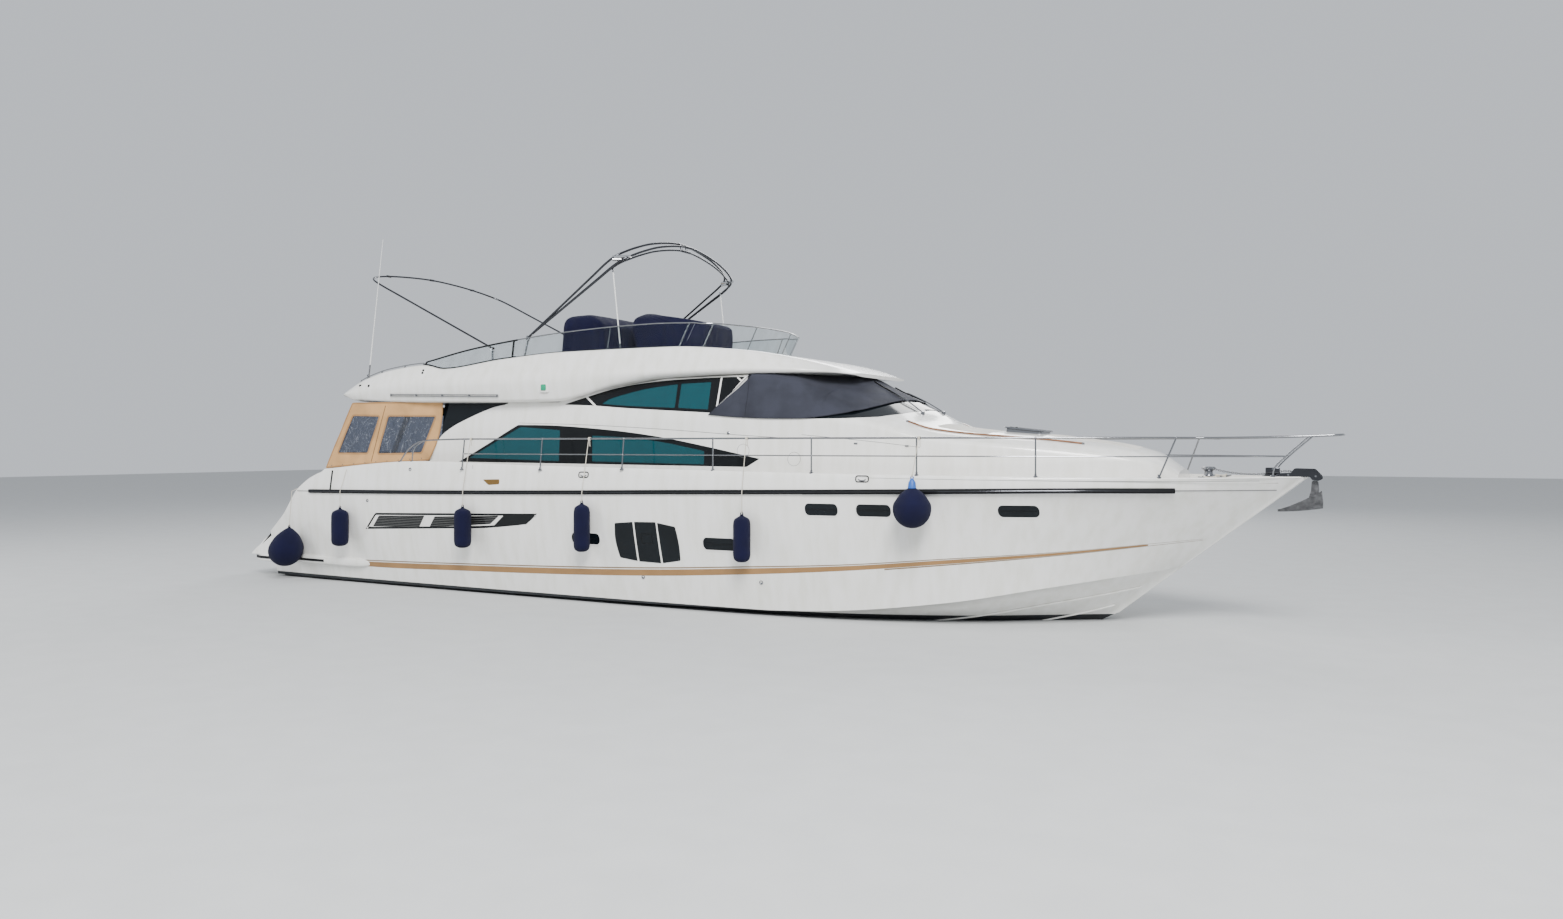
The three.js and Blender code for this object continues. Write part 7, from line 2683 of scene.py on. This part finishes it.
def make_step_noses():
    """A bright strip on each step's front edge."""
    made = Shape()
    for _, y0, y1, x, top in stairs(0.04):
        made.block((x - 0.003, y0, top - 0.030), (x + 0.010, y1, top - 0.006), 0.004, 2)
    return made


def x_panel(shape, outline, x, steps, mat=0):
    """A raised panel on a face that looks aft. steps are pairs of height and pull-in."""
    rings = []
    for height, pull in steps:
        rings.append([(x - height, p[0], p[1]) for p in (inset(outline, pull) if pull else outline)])
    return shape.loft(rings, mat)


def make_transom_panel():
    made = Shape()
    door = rounded([(-1.18, 0.50), (1.18, 0.50), (1.18, 1.56), (-1.18, 1.56)], 0.09, 6)
    x_panel(made, inset(door, -0.014), TRANSOM_X + 0.004, ((0, 0), (0.0055, 0)), 1)
    x_panel(made, door, TRANSOM_X + 0.003, ((0, 0), (0.012, 0), (0.018, 0.006), (0.0185, 0.05)), 0)
    recess = rounded([(-0.11, 0.60), (0.11, 0.60), (0.11, 0.67), (-0.11, 0.67)], 0.03, 5)
    x_panel(made, recess, TRANSOM_X - 0.014, ((0, 0), (0.003, 0)), 1)
    for sign in (-1, 1):
        for k in range(4):
            z = 1.30 + 0.035 * k
            made.block((TRANSOM_X - 0.0185, sign * 0.98 - 0.11, z),
                       (TRANSOM_X - 0.013, sign * 0.98 + 0.11, z + 0.014), 0.002, 1, 1)
    return made


def make_transom_fittings():
    made = Shape()
    rail = [(TRANSOM_X + 0.01, -1.05, 1.64), (TRANSOM_X - 0.06, -1.02, 1.64),
            (TRANSOM_X - 0.07, -0.9, 1.64), (TRANSOM_X - 0.07, 0.9, 1.64), (TRANSOM_X - 0.06, 1.02, 1.64),
            (TRANSOM_X + 0.01, 1.05, 1.64)]
    made.tube(spline(rail, 5), 0.0125, 12)
    for y in (-1.05, 1.05):
        made.lathe([(0.032, 0), (0.032, 0.006), (0.020, 0.010), (0, 0.010)], (TRANSOM_X + 0.002, y, 1.64),
                   (-1, 0, 0), 20)
    for y in (-0.6, 0.6):
        made.tube([(TRANSOM_X - 0.07, y, 1.64), (TRANSOM_X + 0.003, y, 1.64)], 0.009, 10)
    made.tube([(TRANSOM_X - 0.022, -0.09, 0.635), (TRANSOM_X - 0.022, 0.09, 0.635)], 0.008, 10)
    for y in (-0.09, 0.09):
        made.tube([(TRANSOM_X - 0.022, y, 0.635), (TRANSOM_X - 0.012, y, 0.635)], 0.008, 10)
    for sign in (-1, 1):
        made.lathe([(0.045, 0), (0.045, 0.008), (0.036, 0.014), (0.012, 0.015), (0.010, 0.030),
                    (0, 0.031)],
                   (TRANSOM_X + 0.001, sign * 1.26, 0.62), (-1, 0, 0), 24, 0)
    return made


def make_stern_lamps():
    made = Shape()
    for y in (-1.26, 1.26):
        made.lathe([(0.038, 0), (0.038, 0.008), (0.030, 0.022), (0.014, 0.030), (0, 0.031)],
                   (TRANSOM_X + 0.001, y, 1.20), (-1, 0, 0), 24)
    return made


piece("step_treads", make_treads(), ["teak"], slot="teak")
piece("step_noses", make_step_noses(), ["stainless"], slot="stainless")
piece("transom_panel", make_transom_panel(), ["gelcoat", "shadow"], slot="gelcoat")
piece("transom_fittings", make_transom_fittings(), ["stainless"], slot="stainless")
piece("stern_lamps", make_stern_lamps(), ["acrylic"], slot="clear_acrylic")


# Gates at the head of the steps: a moulded leaf on a bright pin, with a latch
GATE = {"x": -7.6, "hinge": -1.97, "inner": -1.362, "low": 1.282, "high": 2.05, "half": 0.018}


def make_gate(sign):
    g = GATE
    made = Shape()
    outline = rounded([(g["hinge"] + 0.034, g["low"]), (g["inner"], g["low"]), (g["inner"], g["high"]),
                       (g["hinge"] + 0.034, g["high"])], [0.02, 0.05, 0.09, 0.02], 5)
    rings = []
    for h, pull in ((-g["half"], 0.007), (-g["half"] + 0.007, 0.0), (g["half"] - 0.007, 0.0),
                    (g["half"], 0.007)):
        rings.append([(g["x"] + h, p[0], p[1]) for p in inset(outline, pull)])
    made.loft(rings, 0)
    field = inset(outline, 0.07)
    for way in (-1, 1):
        ring = [(g["x"] + way * (g["half"] + 0.0008), p[0], p[1]) for p in field]
        made.tube(ring, 0.0022, 6, 1, closed=True)
    return made.side(sign)


def make_gate_metal(sign):
    g = GATE
    made = Shape()
    made.tube([(g["x"], g["hinge"], g["low"] + 0.06), (g["x"], g["hinge"], g["high"] - 0.06)], 0.012, 14)
    for z in (1.36, 1.62, 1.88):
        made.tube([(g["x"], g["hinge"], z), (g["x"], g["hinge"], z + 0.09)], 0.0225, 16)
        made.block((g["x"] - 0.021, g["hinge"] + 0.01, z + 0.01),
                   (g["x"] + 0.021, g["hinge"] + 0.10, z + 0.08), 0.006, 2)
    made.block((g["x"] - 0.024, g["inner"] - 0.085, 1.86), (g["x"] + 0.024, g["inner"] - 0.030, 1.92),
               0.006, 2)
    made.lathe([(0.012, 0), (0.012, 0.018), (0.020, 0.024), (0.020, 0.034), (0.008, 0.040), (0, 0.040)],
               (g["x"] - 0.022, g["inner"] - 0.058, 1.89), (-1, 0, 0), 20)
    return made.side(sign)


for side, sign in SIDES:
    body = f"transom_gate_{side}"
    piece(f"{body}_leaf", make_gate(sign), ["gelcoat", "shadow"], body=body, slot="gelcoat",
          replaces=(body,))
    piece(f"{body}_hinges", make_gate_metal(sign), ["stainless"], body=body, slot="stainless")


# Bulkhead dressing and the sliding door
BULKHEAD_AFT = -4.45
DOORWAY = {"y0": -0.82, "y1": 0.18, "low": 1.42, "high": 3.19}


def make_bulkhead_panes():
    made = Shape()
    for y0, y1 in ((0.31, 1.62), (-1.62, -0.95)):
        outline = rounded([(y0, 1.62), (y1, 1.62), (y1 - math.copysign(0.05, y1) * (abs(y1) > 1), 3.08),
                           (y0, 3.08)],
                          0.06, 5)
        x_panel(made, outline, BULKHEAD_AFT + 0.001, ((0, 0), (0.004, 0), (0.005, 0.002)), 0)
    return made


def make_door_frame():
    made = Shape()
    d = DOORWAY
    outer = rounded([(d["y0"] - 0.035, d["low"] - 0.02), (d["y1"] + 0.035, d["low"] - 0.02),
                     (d["y1"] + 0.035, d["high"] + 0.035), (d["y0"] - 0.035, d["high"] + 0.035)], 0.02, 4)
    ring = [Vector((BULKHEAD_AFT - 0.004, p[0], p[1])) for p in outer]
    made.tube(ring, 0.011, 8, 0, closed=True)
    for y in (d["y0"] + 0.004, d["y1"] - 0.004):
        made.block((BULKHEAD_AFT - 0.003, y - 0.006, d["low"]),
                   (BULKHEAD_AFT + 0.046, y + 0.006, d["high"]), 0.003, 1)
    made.block((BULKHEAD_AFT - 0.006, d["y0"], 1.4065), (BULKHEAD_AFT + 0.046, d["y1"], 1.4245), 0.004, 1)
    return made


def make_door_frame_leaf():
    made = Shape()
    x0, x1, y0, y1, z0, z1 = -4.394, -4.356, -0.859, 0.219, 1.4075, 3.239
    stile = 0.055
    for low, high in (((x0, y0, z0), (x1, y0 + stile, z1)), ((x0, y1 - stile, z0), (x1, y1, z1)),
                      ((x0, y0 + stile - 0.001, z1 - stile), (x1, y1 - stile + 0.001, z1)),
                      ((x0, y0 + stile - 0.001, z0), (x1, y1 - stile + 0.001, z0 + 0.11))):
        made.block(low, high, 0.004, 2)
    grip = [(x1 - 0.004, y0 + 0.028, 2.14), (x1 + 0.030, y0 + 0.028, 2.16),
            (x1 + 0.030, y0 + 0.028, 2.42), (x1 - 0.004, y0 + 0.028, 2.44)]
    made.tube(grip, 0.008, 10)
    made.block((x0 - 0.0015, y0 + 0.012, 2.20), (x0 + 0.003, y0 + 0.044, 2.36), 0.001, 1, 1)
    return made


def make_door_glass():
    return Shape().block((-4.380, -0.806, 1.515), (-4.371, 0.166, 3.186), 0.0015, 1)


piece("bulkhead_panes", make_bulkhead_panes(), ["dark_glass"], slot="tinted_glass")
piece("door_frame", make_door_frame(), ["stainless"], slot="stainless")
piece("saloon_door_frame", make_door_frame_leaf(), ["stainless", "rubber"], body="saloon_door",
      slot="stainless", replaces=("saloon_door",))
piece("saloon_door_glass", make_door_glass(), ["teal_glass"], body="saloon_door", slot="tinted_glass")


# Engine hatch trim and its two sunk lifting rings
def make_hatch_trim():
    made = Shape()
    for x in (-6.50, -5.50):
        made.lathe([(0.036, -0.004), (0.036, 0.002), (0.034, 0.003), (0, 0.003)],
                   (x, 0.0, COCKPIT["floor"]), sides=24)
        ring = [(x + 0.020 * math.cos(a), 0.020 * math.sin(a), COCKPIT["floor"] + 0.0062)
                for a in angles(16)]
        made.tube(ring, 0.003, 6, 0, closed=True)
    edge = rounded([(-6.640, -0.610), (-5.360, -0.610), (-5.360, 0.610), (-6.640, 0.610)], 0.02, 3)
    made.tube([(x, y, COCKPIT["floor"] + 0.0006) for x, y in edge], 0.0028, 6, 1, closed=True)
    return made


piece("engine_hatch_trim", make_hatch_trim(), ["stainless", "rubber"], body="engine_hatch",
      slot="stainless")


# Cushions: each form is remeshed, blown up by the cloth solver and held to a cap
def subdivided(data):
    body = bpy.data.objects.new("scratch", data)
    bpy.context.collection.objects.link(body)
    body.modifiers.new("smooth", "SUBSURF").levels = 1
    graph = bpy.context.evaluated_depsgraph_get()
    made = bpy.data.meshes.new_from_object(body.evaluated_get(graph))
    bpy.data.objects.remove(body)
    return made


def as_shape(data):
    made = Shape()
    made.add([v.co for v in data.vertices], [list(p.vertices) for p in data.polygons])
    return made


def remeshed(form, voxel):
    body = scratch(form)
    change = body.modifiers.new("remesh", "REMESH")
    change.mode = "VOXEL"
    change.voxel_size = voxel
    graph = bpy.context.evaluated_depsgraph_get()
    data = bpy.data.meshes.new_from_object(body.evaluated_get(graph))
    bpy.data.objects.remove(body)
    return data


def blown_up(data, pressure=4.0, frames=20):
    """Where the cloth solver carries each point of a closed skin under pressure."""
    body = bpy.data.objects.new("scratch", data)
    bpy.context.collection.objects.link(body)
    cloth = body.modifiers.new("cloth", "CLOTH")
    cloth.settings.use_pressure = True
    cloth.settings.uniform_pressure_force = pressure
    cloth.settings.effector_weights.gravity = 0
    cloth.point_cache.frame_start = 1
    cloth.point_cache.frame_end = frames
    scene = bpy.context.scene
    for f in range(1, frames + 1):
        scene.frame_set(f)
    graph = bpy.context.evaluated_depsgraph_get()
    ended = body.evaluated_get(graph).to_mesh()
    places = [v.co.copy() for v in ended.vertices]
    bpy.data.objects.remove(body)
    scene.frame_set(1)
    return places


def cushion(size, voxel=0.020, cap=0.024, edge=0.030):
    """A pad of a size, its middle at the origin and its underside flat at the bottom."""
    half = Vector(size) / 2
    low = Vector((-half.x + 0.014, -half.y + 0.014, -half.z + 0.004))
    high = Vector((half.x - 0.014, half.y - 0.014, half.z - 0.026))
    data = remeshed(Shape().block(low, high, edge, 3), voxel)
    for v, place in zip(data.vertices, blown_up(data)):
        move = place - v.co
        if move.length > cap:
            move *= cap / move.length
        v.co += move
    made = as_shape(subdivided(data))
    for v in made.verts:
        v.z = min(max(v.z, -half.z), half.z)
        v.x = min(max(v.x, -half.x), half.x)
        v.y = min(max(v.y, -half.y), half.y)
    return made


def welt(pad, size, height, radius=0.0042):
    """The piped seam round a pad at a height, laid on its swollen side."""
    data = pad.mesh("tree")
    tree = BVHTree.FromPolygons([v.co for v in data.vertices], [list(p.vertices) for p in data.polygons])
    half_x, half_y = size[0] / 2, size[1] / 2
    line = rounded([(-half_x, -half_y), (half_x, -half_y), (half_x, half_y), (-half_x, half_y)], 0.05, 6)
    pts = []
    for x, y in resample(line, 96):
        hit = tree.find_nearest(Vector((x, y, height)))[0]
        pts.append(hit + Vector((x - hit.x, y - hit.y, 0)).normalized() * radius * 0.3)
    bpy.data.meshes.remove(data)
    return Shape().tube(pts, radius, 6, 0, closed=True)


SEAT_SIZE = (0.47, 0.81, 0.118)
BACK_SIZE = (0.33, 0.81, 0.105)
seat_pad = cushion(SEAT_SIZE)
back_pad = cushion(BACK_SIZE)
seat_welts = welt(seat_pad, SEAT_SIZE, 0.030).join(welt(seat_pad, SEAT_SIZE, -0.040))
back_welts = welt(back_pad, BACK_SIZE, 0.028).join(welt(back_pad, BACK_SIZE, -0.034))


def make_seat_base():
    x, z = COCKPIT["aft"] + 0.0005, COCKPIT["floor"] + 0.0005
    outline = rounded([(x, z), (x, z + 0.74), (x + 0.028, z + 0.74), (x + 0.052, z + 0.345),
                       (x + 0.575, z + 0.335), (x + 0.575, z + 0.285), (x + 0.535, z + 0.270),
                       (x + 0.50, z)],
                      [0, 0.012, 0.012, 0.02, 0.02, 0.02, 0.02, 0.0], 4)
    made = Shape().prism(outline, "y", -1.249, 1.249)
    for y in (-0.62, 0.0, 0.62):
        front = rounded([(y - 0.22, z + 0.07), (y + 0.22, z + 0.07), (y + 0.22, z + 0.23),
                         (y - 0.22, z + 0.23)], 0.03, 4)
        made.tube([(x + 0.505 + 0.13 * (h - z) + 0.0005, p, h) for p, h in front], 0.003, 6, 1,
                  closed=True)
    return made


def seat_parts(y):
    x, z = COCKPIT["aft"], COCKPIT["floor"]
    seat_at = Matrix.Translation((x + 0.345, y, z + 0.345 + 0.062))
    lean = Matrix.Rotation(math.radians(94 - 180), 4, "Y")
    back_at = Matrix.Translation((x + 0.098, y, z + 0.628)) @ lean.inverted()
    return seat_at, back_at


piece("cockpit_seat_base", make_seat_base(), ["gelcoat", "shadow"], slot="gelcoat",
      replaces=("cockpit_seat",))
for number, y in enumerate((-0.83, 0.0, 0.83), 1):
    seat_at, back_at = seat_parts(y)
    for name, pad, welts, at in (("seat", seat_pad, seat_welts, seat_at),
                                 ("back", back_pad, back_welts, back_at)):
        made = piece(f"cockpit_{name}_cushion_{number}", pad.moved(at), ["upholstery"],
                     slot="white_vinyl", angle=80)
        piece(f"cockpit_{name}_piping_{number}", welts.moved(at), ["piping"], slot="white_vinyl")


# Running gear under the water
SHAFT_SLOPE = math.atan(0.16)
PROP_AT = Vector((-8.0, -1.12, -0.98))
# Radius, chord, thickness and skew of a blade's sections
BLADE = [(0.050, 0.150, 0.026, 0.0), (0.110, 0.190, 0.020, 0.02), (0.180, 0.235, 0.015, 0.06),
         (0.250, 0.255, 0.011, 0.13), (0.310, 0.225, 0.008, 0.22), (0.350, 0.150, 0.005, 0.31),
         (0.368, 0.060, 0.003, 0.37)]
PITCH = 0.62


def blade_rings(turn):
    """One blade along the shaft's own axis, each section wrapped on its cylinder."""
    rings = []
    for r, chord, thick, skew in spline(BLADE, 4):
        angle = math.atan(PITCH / (2 * math.pi * r))
        ring = []
        for a in angles(20):
            along = math.cos(a) * chord / 2
            across = math.sin(a) * thick / 2 * (1.15 if math.cos(a) > 0 else 0.9)
            axial = along * math.sin(angle) + across * math.cos(angle)
            around = (along * math.cos(angle) - across * math.sin(angle)) / r + skew + turn
            ring.append((axial - 0.05 * (r / 0.37) ** 2, r * math.cos(around), r * math.sin(around)))
        rings.append(ring)
    return rings


def make_propeller(sign):
    made = Shape()
    made.lathe([(0.058, -0.095), (0.062, -0.06), (0.063, 0.04), (0.060, 0.094)], (0, 0, 0), (1, 0, 0), 28)
    made.lathe([(0.003, -0.152), (0.020, -0.146), (0.034, -0.130), (0.040, -0.108), (0.052, -0.096)],
               (0, 0, 0), (1, 0, 0), 28)
    for k in range(4):
        made.loft(blade_rings(math.pi / 2 * k))
    place = Matrix.Translation(PROP_AT) @ Matrix.Rotation(-SHAFT_SLOPE, 4, "Y")
    return made.moved(place).side(sign)


for side, sign in SIDES:
    piece(f"propeller_{side}_blades", make_propeller(sign), ["bronze"], body=f"propeller_{side}",
          slot="bronze", replaces=(f"propeller_{side}",), angle=40)


# Foil rudders that narrow towards the tip, on round stocks
RUDDER_PLAN = [(0.150, 0.0), (0.135, 0.014), (0.09, 0.026), (0.01, 0.031), (-0.10, 0.028), (-0.22, 0.016),
               (-0.33, 0.004)]


def make_rudder(sign):
    made = Shape()
    outline = RUDDER_PLAN + [(x, -y) for x, y in reversed(RUDDER_PLAN[1:])]
    rings = []
    for z, size, thick in ((-0.462, 0.97, 0.8), (-0.475, 1.0, 1.0), (-0.80, 0.97, 0.95),
                           (-1.10, 0.88, 0.8), (-1.27, 0.78, 0.62), (-1.315, 0.70, 0.45),
                           (-1.328, 0.55, 0.2)):
        rings.append([(-8.65 + x * size + 0.02 * (1 - size), -1.12 + y * thick, z) for x, y in outline])
    made.loft(rings)
    made.tube([(-8.65, -1.12, -0.50), (-8.65, -1.12, -0.2305)], 0.0375, 20)
    made.tube([(-8.65, -1.12, -0.462), (-8.65, -1.12, -0.440)], 0.052, 20)
    return made.side(sign)


for side, sign in SIDES:
    piece(f"rudder_{side}_blade", make_rudder(sign), ["antifouling"], body=f"rudder_{side}",
          slot="antifouling", replaces=(f"rudder_{side}",), angle=50)


# Trim tabs: a ribbed plate on a hinge of short knuckles
TAB_AT = Vector((-9.1703, -1.35, -0.245))
TAB_TILT = 0.257


def make_tab(sign):
    made = Shape()
    made.block((-0.43, -0.40, -0.006), (-0.012, 0.40, 0.006), 0.004, 2)
    for y in (-0.30, -0.10, 0.10, 0.30):
        made.prism([(-0.40, 0.004), (-0.05, 0.004), (-0.05, 0.022), (-0.20, 0.034), (-0.40, 0.010)], "y",
                   y - 0.004, y + 0.004)
    for k in range(8):
        y = -0.40 + 0.1 * k
        made.tube([(0, y + 0.004, 0), (0, y + 0.096, 0)], 0.018, 14)
    made.tube([(0, -0.399, 0), (0, 0.399, 0)], 0.010, 10)
    place = Matrix.Translation(TAB_AT) @ Matrix.Rotation(-TAB_TILT, 4, "X")
    return made.moved(place).side(sign)


for side, sign in SIDES:
    piece(f"trim_tab_{side}_plate", make_tab(sign), ["stainless"], body=f"trim_tab_{side}",
          slot="stainless", replaces=(f"trim_tab_{side}",))


# Engines seen through the open cockpit hatch
ENGINE_AT = Vector((-5.9, -0.78, -0.1495))


def engine_blocks(made):
    made.block((-0.72, -0.26, 0.03), (0.62, 0.26, 0.26), 0.03, 3, 1)
    made.block((-0.74, -0.34, 0.24), (0.62, 0.34, 0.60), 0.03, 3, 0)
    for way in (-1, 1):
        lean = Matrix.Rotation(way * -0.5, 3, "X")
        made.block((-0.66, way * 0.25 - 0.13, 0.56), (0.56, way * 0.25 + 0.13, 0.80), 0.03, 3, 0, lean)
        made.block((-0.62, way * 0.315 - 0.10, 0.76), (0.52, way * 0.315 + 0.10, 0.86), 0.035, 4, 0, lean)
        for k in range(6):
            x = -0.54 + 0.20 * k
            made.tube([(x, way * 0.20, 0.80), (x, way * 0.12, 0.90), (x, way * 0.05, 0.93)], 0.028, 10, 0)
        for x in (-0.58, 0.46):
            made.block((x - 0.07, way * 0.40 - 0.07, 0.20), (x + 0.07, way * 0.40 + 0.07, 0.26), 0.01, 2,
                       1)
            made.block((x - 0.05, way * 0.40 - 0.05, 0.0), (x + 0.05, way * 0.40 + 0.05, 0.21), 0.01, 2,
                       1)
    made.tube([(-0.64, 0, 0.95), (0.54, 0, 0.95)], 0.075, 18, 0)
    return made


def engine_ends(made):
    made.lathe([(0.30, 0.0), (0.30, 0.03), (0.24, 0.10), (0.18, 0.12), (0, 0.12)], (-0.74, 0, 0.42),
               (-1, 0, 0), 28, 0)
    made.block((0.60, -0.28, 0.20), (0.70, 0.28, 0.66), 0.03, 3, 0)
    for y, z, r in ((0.0, 0.30, 0.115), (0.21, 0.55, 0.06), (-0.21, 0.56, 0.07), (0.0, 0.74, 0.065)):
        made.lathe([(r * 0.6, 0), (r * 0.6, 0.02), (r, 0.03), (r * 0.9, 0.05), (r, 0.07),
                    (r * 0.5, 0.075), (0, 0.075)],
                   (0.70, y, z), (1, 0, 0), 24, 2)
    belt = spline([(0.0, 0.185), (0.20, 0.49), (0.265, 0.57), (0.20, 0.61), (0.04, 0.80), (-0.04, 0.80),
                   (-0.22, 0.625), (-0.275, 0.56), (-0.21, 0.49)], 4, closed=True)
    made.tube([(0.750, y, z) for y, z in belt], 0.010, 6, 1, closed=True)
    made.lathe([(0.06, 0), (0.085, 0.03), (0.09, 0.10), (0.05, 0.13), (0, 0.13)], (-0.72, -0.26, 0.88),
               (-1, 0, 0), 24, 2)
    made.lathe([(0.04, 0), (0.06, 0.02), (0.06, 0.10), (0, 0.10)], (-0.70, 0.26, 0.88), (-1, 0, 0), 20, 2)
    made.tube(spline([(-0.70, -0.26, 0.90), (-0.58, -0.12, 0.985), (-0.40, 0.0, 0.985)], 5), 0.042, 12, 1)
    made.tube(spline([(-0.40, -0.40, 0.34), (0.10, -0.44, 0.36), (0.50, -0.40, 0.46),
                      (0.62, -0.30, 0.60)], 5), 0.020, 10, 1)
    for x in (-0.30, 0.0, 0.30):
        made.lathe([(0.045, 0), (0.045, 0.15), (0.038, 0.17), (0, 0.17)], (x, 0.40, 0.34), sides=20,
                   mat=1)
    return made


def make_engine(sign):
    made = engine_ends(engine_blocks(Shape()))
    return made.moved(Matrix.Translation(ENGINE_AT)).side(sign)


pair("engine_castings", make_engine, ["engine", "rubber", "stainless"], "engine_paint", "engine")


# Saloon furniture behind the tinted glass
SALOON_FLOOR = 1.4005


def make_saloon_floor():
    return Shape().block((-4.30, -1.88, SALOON_FLOOR), (2.88, 1.88, SALOON_FLOOR + 0.004), 0.001, 1)


def make_furniture():
    made = Shape()
    low = SALOON_FLOOR + 0.004
    for a, b in (((-3.70, 1.05, low), (-0.70, 1.72, low + 0.34)),
                 ((-3.95, -1.72, low), (-1.35, -1.20, low + 0.78)),
                 ((0.10, 1.02, low), (1.75, 1.72, low + 0.86)),
                 ((1.95, -1.62, low), (2.80, 1.62, low + 0.82)),
                 ((0.55, -1.50, low), (1.10, -0.62, low + 0.40))):
        made.block(a, b, 0.02, 3, 0)
    made.block((-3.99, -1.74, low + 0.781), (-1.31, -1.16, low + 0.815), 0.008, 2, 1)
    made.block((0.06, 0.98, low + 0.861), (1.79, 1.74, low + 0.895), 0.008, 2, 1)
    made.lathe([(0.20, 0), (0.20, 0.02), (0.045, 0.05), (0.045, 0.62), (0.12, 0.66), (0, 0.66)],
               (-2.2, 0.55, low), sides=28, mat=2)
    table = rounded([(-2.85, 0.22), (-1.55, 0.22), (-1.55, 0.90), (-2.85, 0.90)], 0.12, 6)
    made.prism(table, "z", low + 0.66, low + 0.695, 0)
    for k in range(5):
        made.block((-3.88 + 0.5 * k, -1.204, low + 0.10), (-3.46 + 0.5 * k, -1.190, low + 0.72), 0.004, 2,
                   0)
    return made


def make_helm():
    made = Shape()
    low = SALOON_FLOOR + 0.004
    made.prism([(2.05, low + 0.80), (2.82, low + 0.80), (2.82, low + 0.93), (2.30, low + 1.02),
                (2.12, low + 0.98)], "y",
               -1.55, -0.35, 0)
    centre = Vector((1.93, -1.02, low + 0.90))
    tilt = Matrix.Rotation(math.radians(-62), 3, "Y")
    ring = [centre + tilt @ Vector((0.19 * math.cos(a), 0.19 * math.sin(a), 0))
            for a in angles(36)]
    made.tube(ring, 0.014, 10, 1, closed=True)
    for k in range(3):
        a = 2 * math.pi * k / 3 + 0.5
        made.tube([centre, centre + tilt @ Vector((0.185 * math.cos(a), 0.185 * math.sin(a), 0))], 0.008,
                  8, 2)
    made.tube([centre, centre + Vector((0.16, 0, -0.03))], 0.022, 12, 2)
    return made


piece("saloon_floor", make_saloon_floor(), ["varnish"], slot="teak")
piece("saloon_furniture", make_furniture(), ["varnish", "upholstery", "stainless"], slot="teak")
piece("helm_console", make_helm(), ["shadow", "rubber", "stainless"], slot="black_frame")


def settee_places():
    low = SALOON_FLOOR + 0.344
    for k in range(3):
        x = -3.19 + 1.0 * k
        yield (Matrix.Translation((x, 1.35, low + 0.0595)) @ Matrix.Rotation(math.pi / 2, 4, "Z")
               @ Matrix.Diagonal((1.15, 1.15, 1.0, 1)))
        yield (Matrix.Translation((x, 1.63, low + 0.30)) @ Matrix.Rotation(math.radians(82), 4, "X")
               @ Matrix.Rotation(math.pi / 2, 4, "Z") @ Matrix.Diagonal((1.0, 1.15, 1.0, 1)))
    yield (Matrix.Translation((0.82, -1.06, SALOON_FLOOR + 0.404 + 0.0595))
           @ Matrix.Diagonal((1.05, 0.98, 1.0, 1)))
    yield (Matrix.Translation((0.62, -1.06, SALOON_FLOOR + 0.404 + 0.30))
           @ Matrix.Rotation(math.radians(82), 4, "Y") @ Matrix.Diagonal((1.0, 0.98, 1.0, 1)))


for number, at in enumerate(settee_places(), 1):
    source = back_pad if number % 2 == 0 else seat_pad
    made = piece(f"saloon_cushion_{number}", source.moved(at), ["upholstery"], slot="white_vinyl",
                 angle=80)


# CAD parts whose shape is right keep it, with a finish of their own and soft edges
KEPT = {"aft_bulkhead": "gelcoat", "cockpit_floor": "teak", "engine_hatch": "teak"}
for side, sign in SIDES:
    KEPT[f"shaft_{side}"] = "stainless"
    KEPT[f"shaft_bracket_{side}"] = "antifouling"

for name, finish in KEPT.items():
    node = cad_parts[name]
    for place in node.material_slots:
        place.link = "OBJECT"
        place.material = MAT[finish]
    edge = node.modifiers.new("edge", "BEVEL")
    edge.width = 0.003
    edge.segments = 2
    edge.limit_method = "ANGLE"


# Floor, light and background
def make_stage():
    floor = Shape().add([(-90, -90, 0), (90, -90, 0), (90, 90, 0), (-90, 90, 0)], [[0, 1, 2, 3]])
    data = floor.mesh("floor")
    data.materials.append(plain("floor_paint", (0.52, 0.53, 0.53), 0.8, vary=0.02))
    ground = bpy.data.objects.new("floor", data)
    bpy.context.collection.objects.link(ground)
    world = bpy.data.worlds.new("world")
    bpy.context.scene.world = world
    world.use_nodes = True
    world.node_tree.nodes["Background"].inputs["Color"].default_value = (0.80, 0.84, 0.90, 1)
    world.node_tree.nodes["Background"].inputs["Strength"].default_value = 0.85
    for name, place, size, power in (("key", (16, -22, 22), 12, 15000),
                                     ("fill", (-20, -16, 12), 14, 3000),
                                     ("back", (-6, 24, 16), 14, 4000)):
        data = bpy.data.lights.new(name, "AREA")
        data.size = size
        data.energy = power
        lamp = bpy.data.objects.new(name, data)
        lamp.location = place
        lamp.visible_glossy = name != "fill"
        lamp.rotation_euler = (Vector((0, 0, 1.5)) - Vector(place)).to_track_quat("-Z", "Y").to_euler()
        bpy.context.collection.objects.link(lamp)


make_stage()
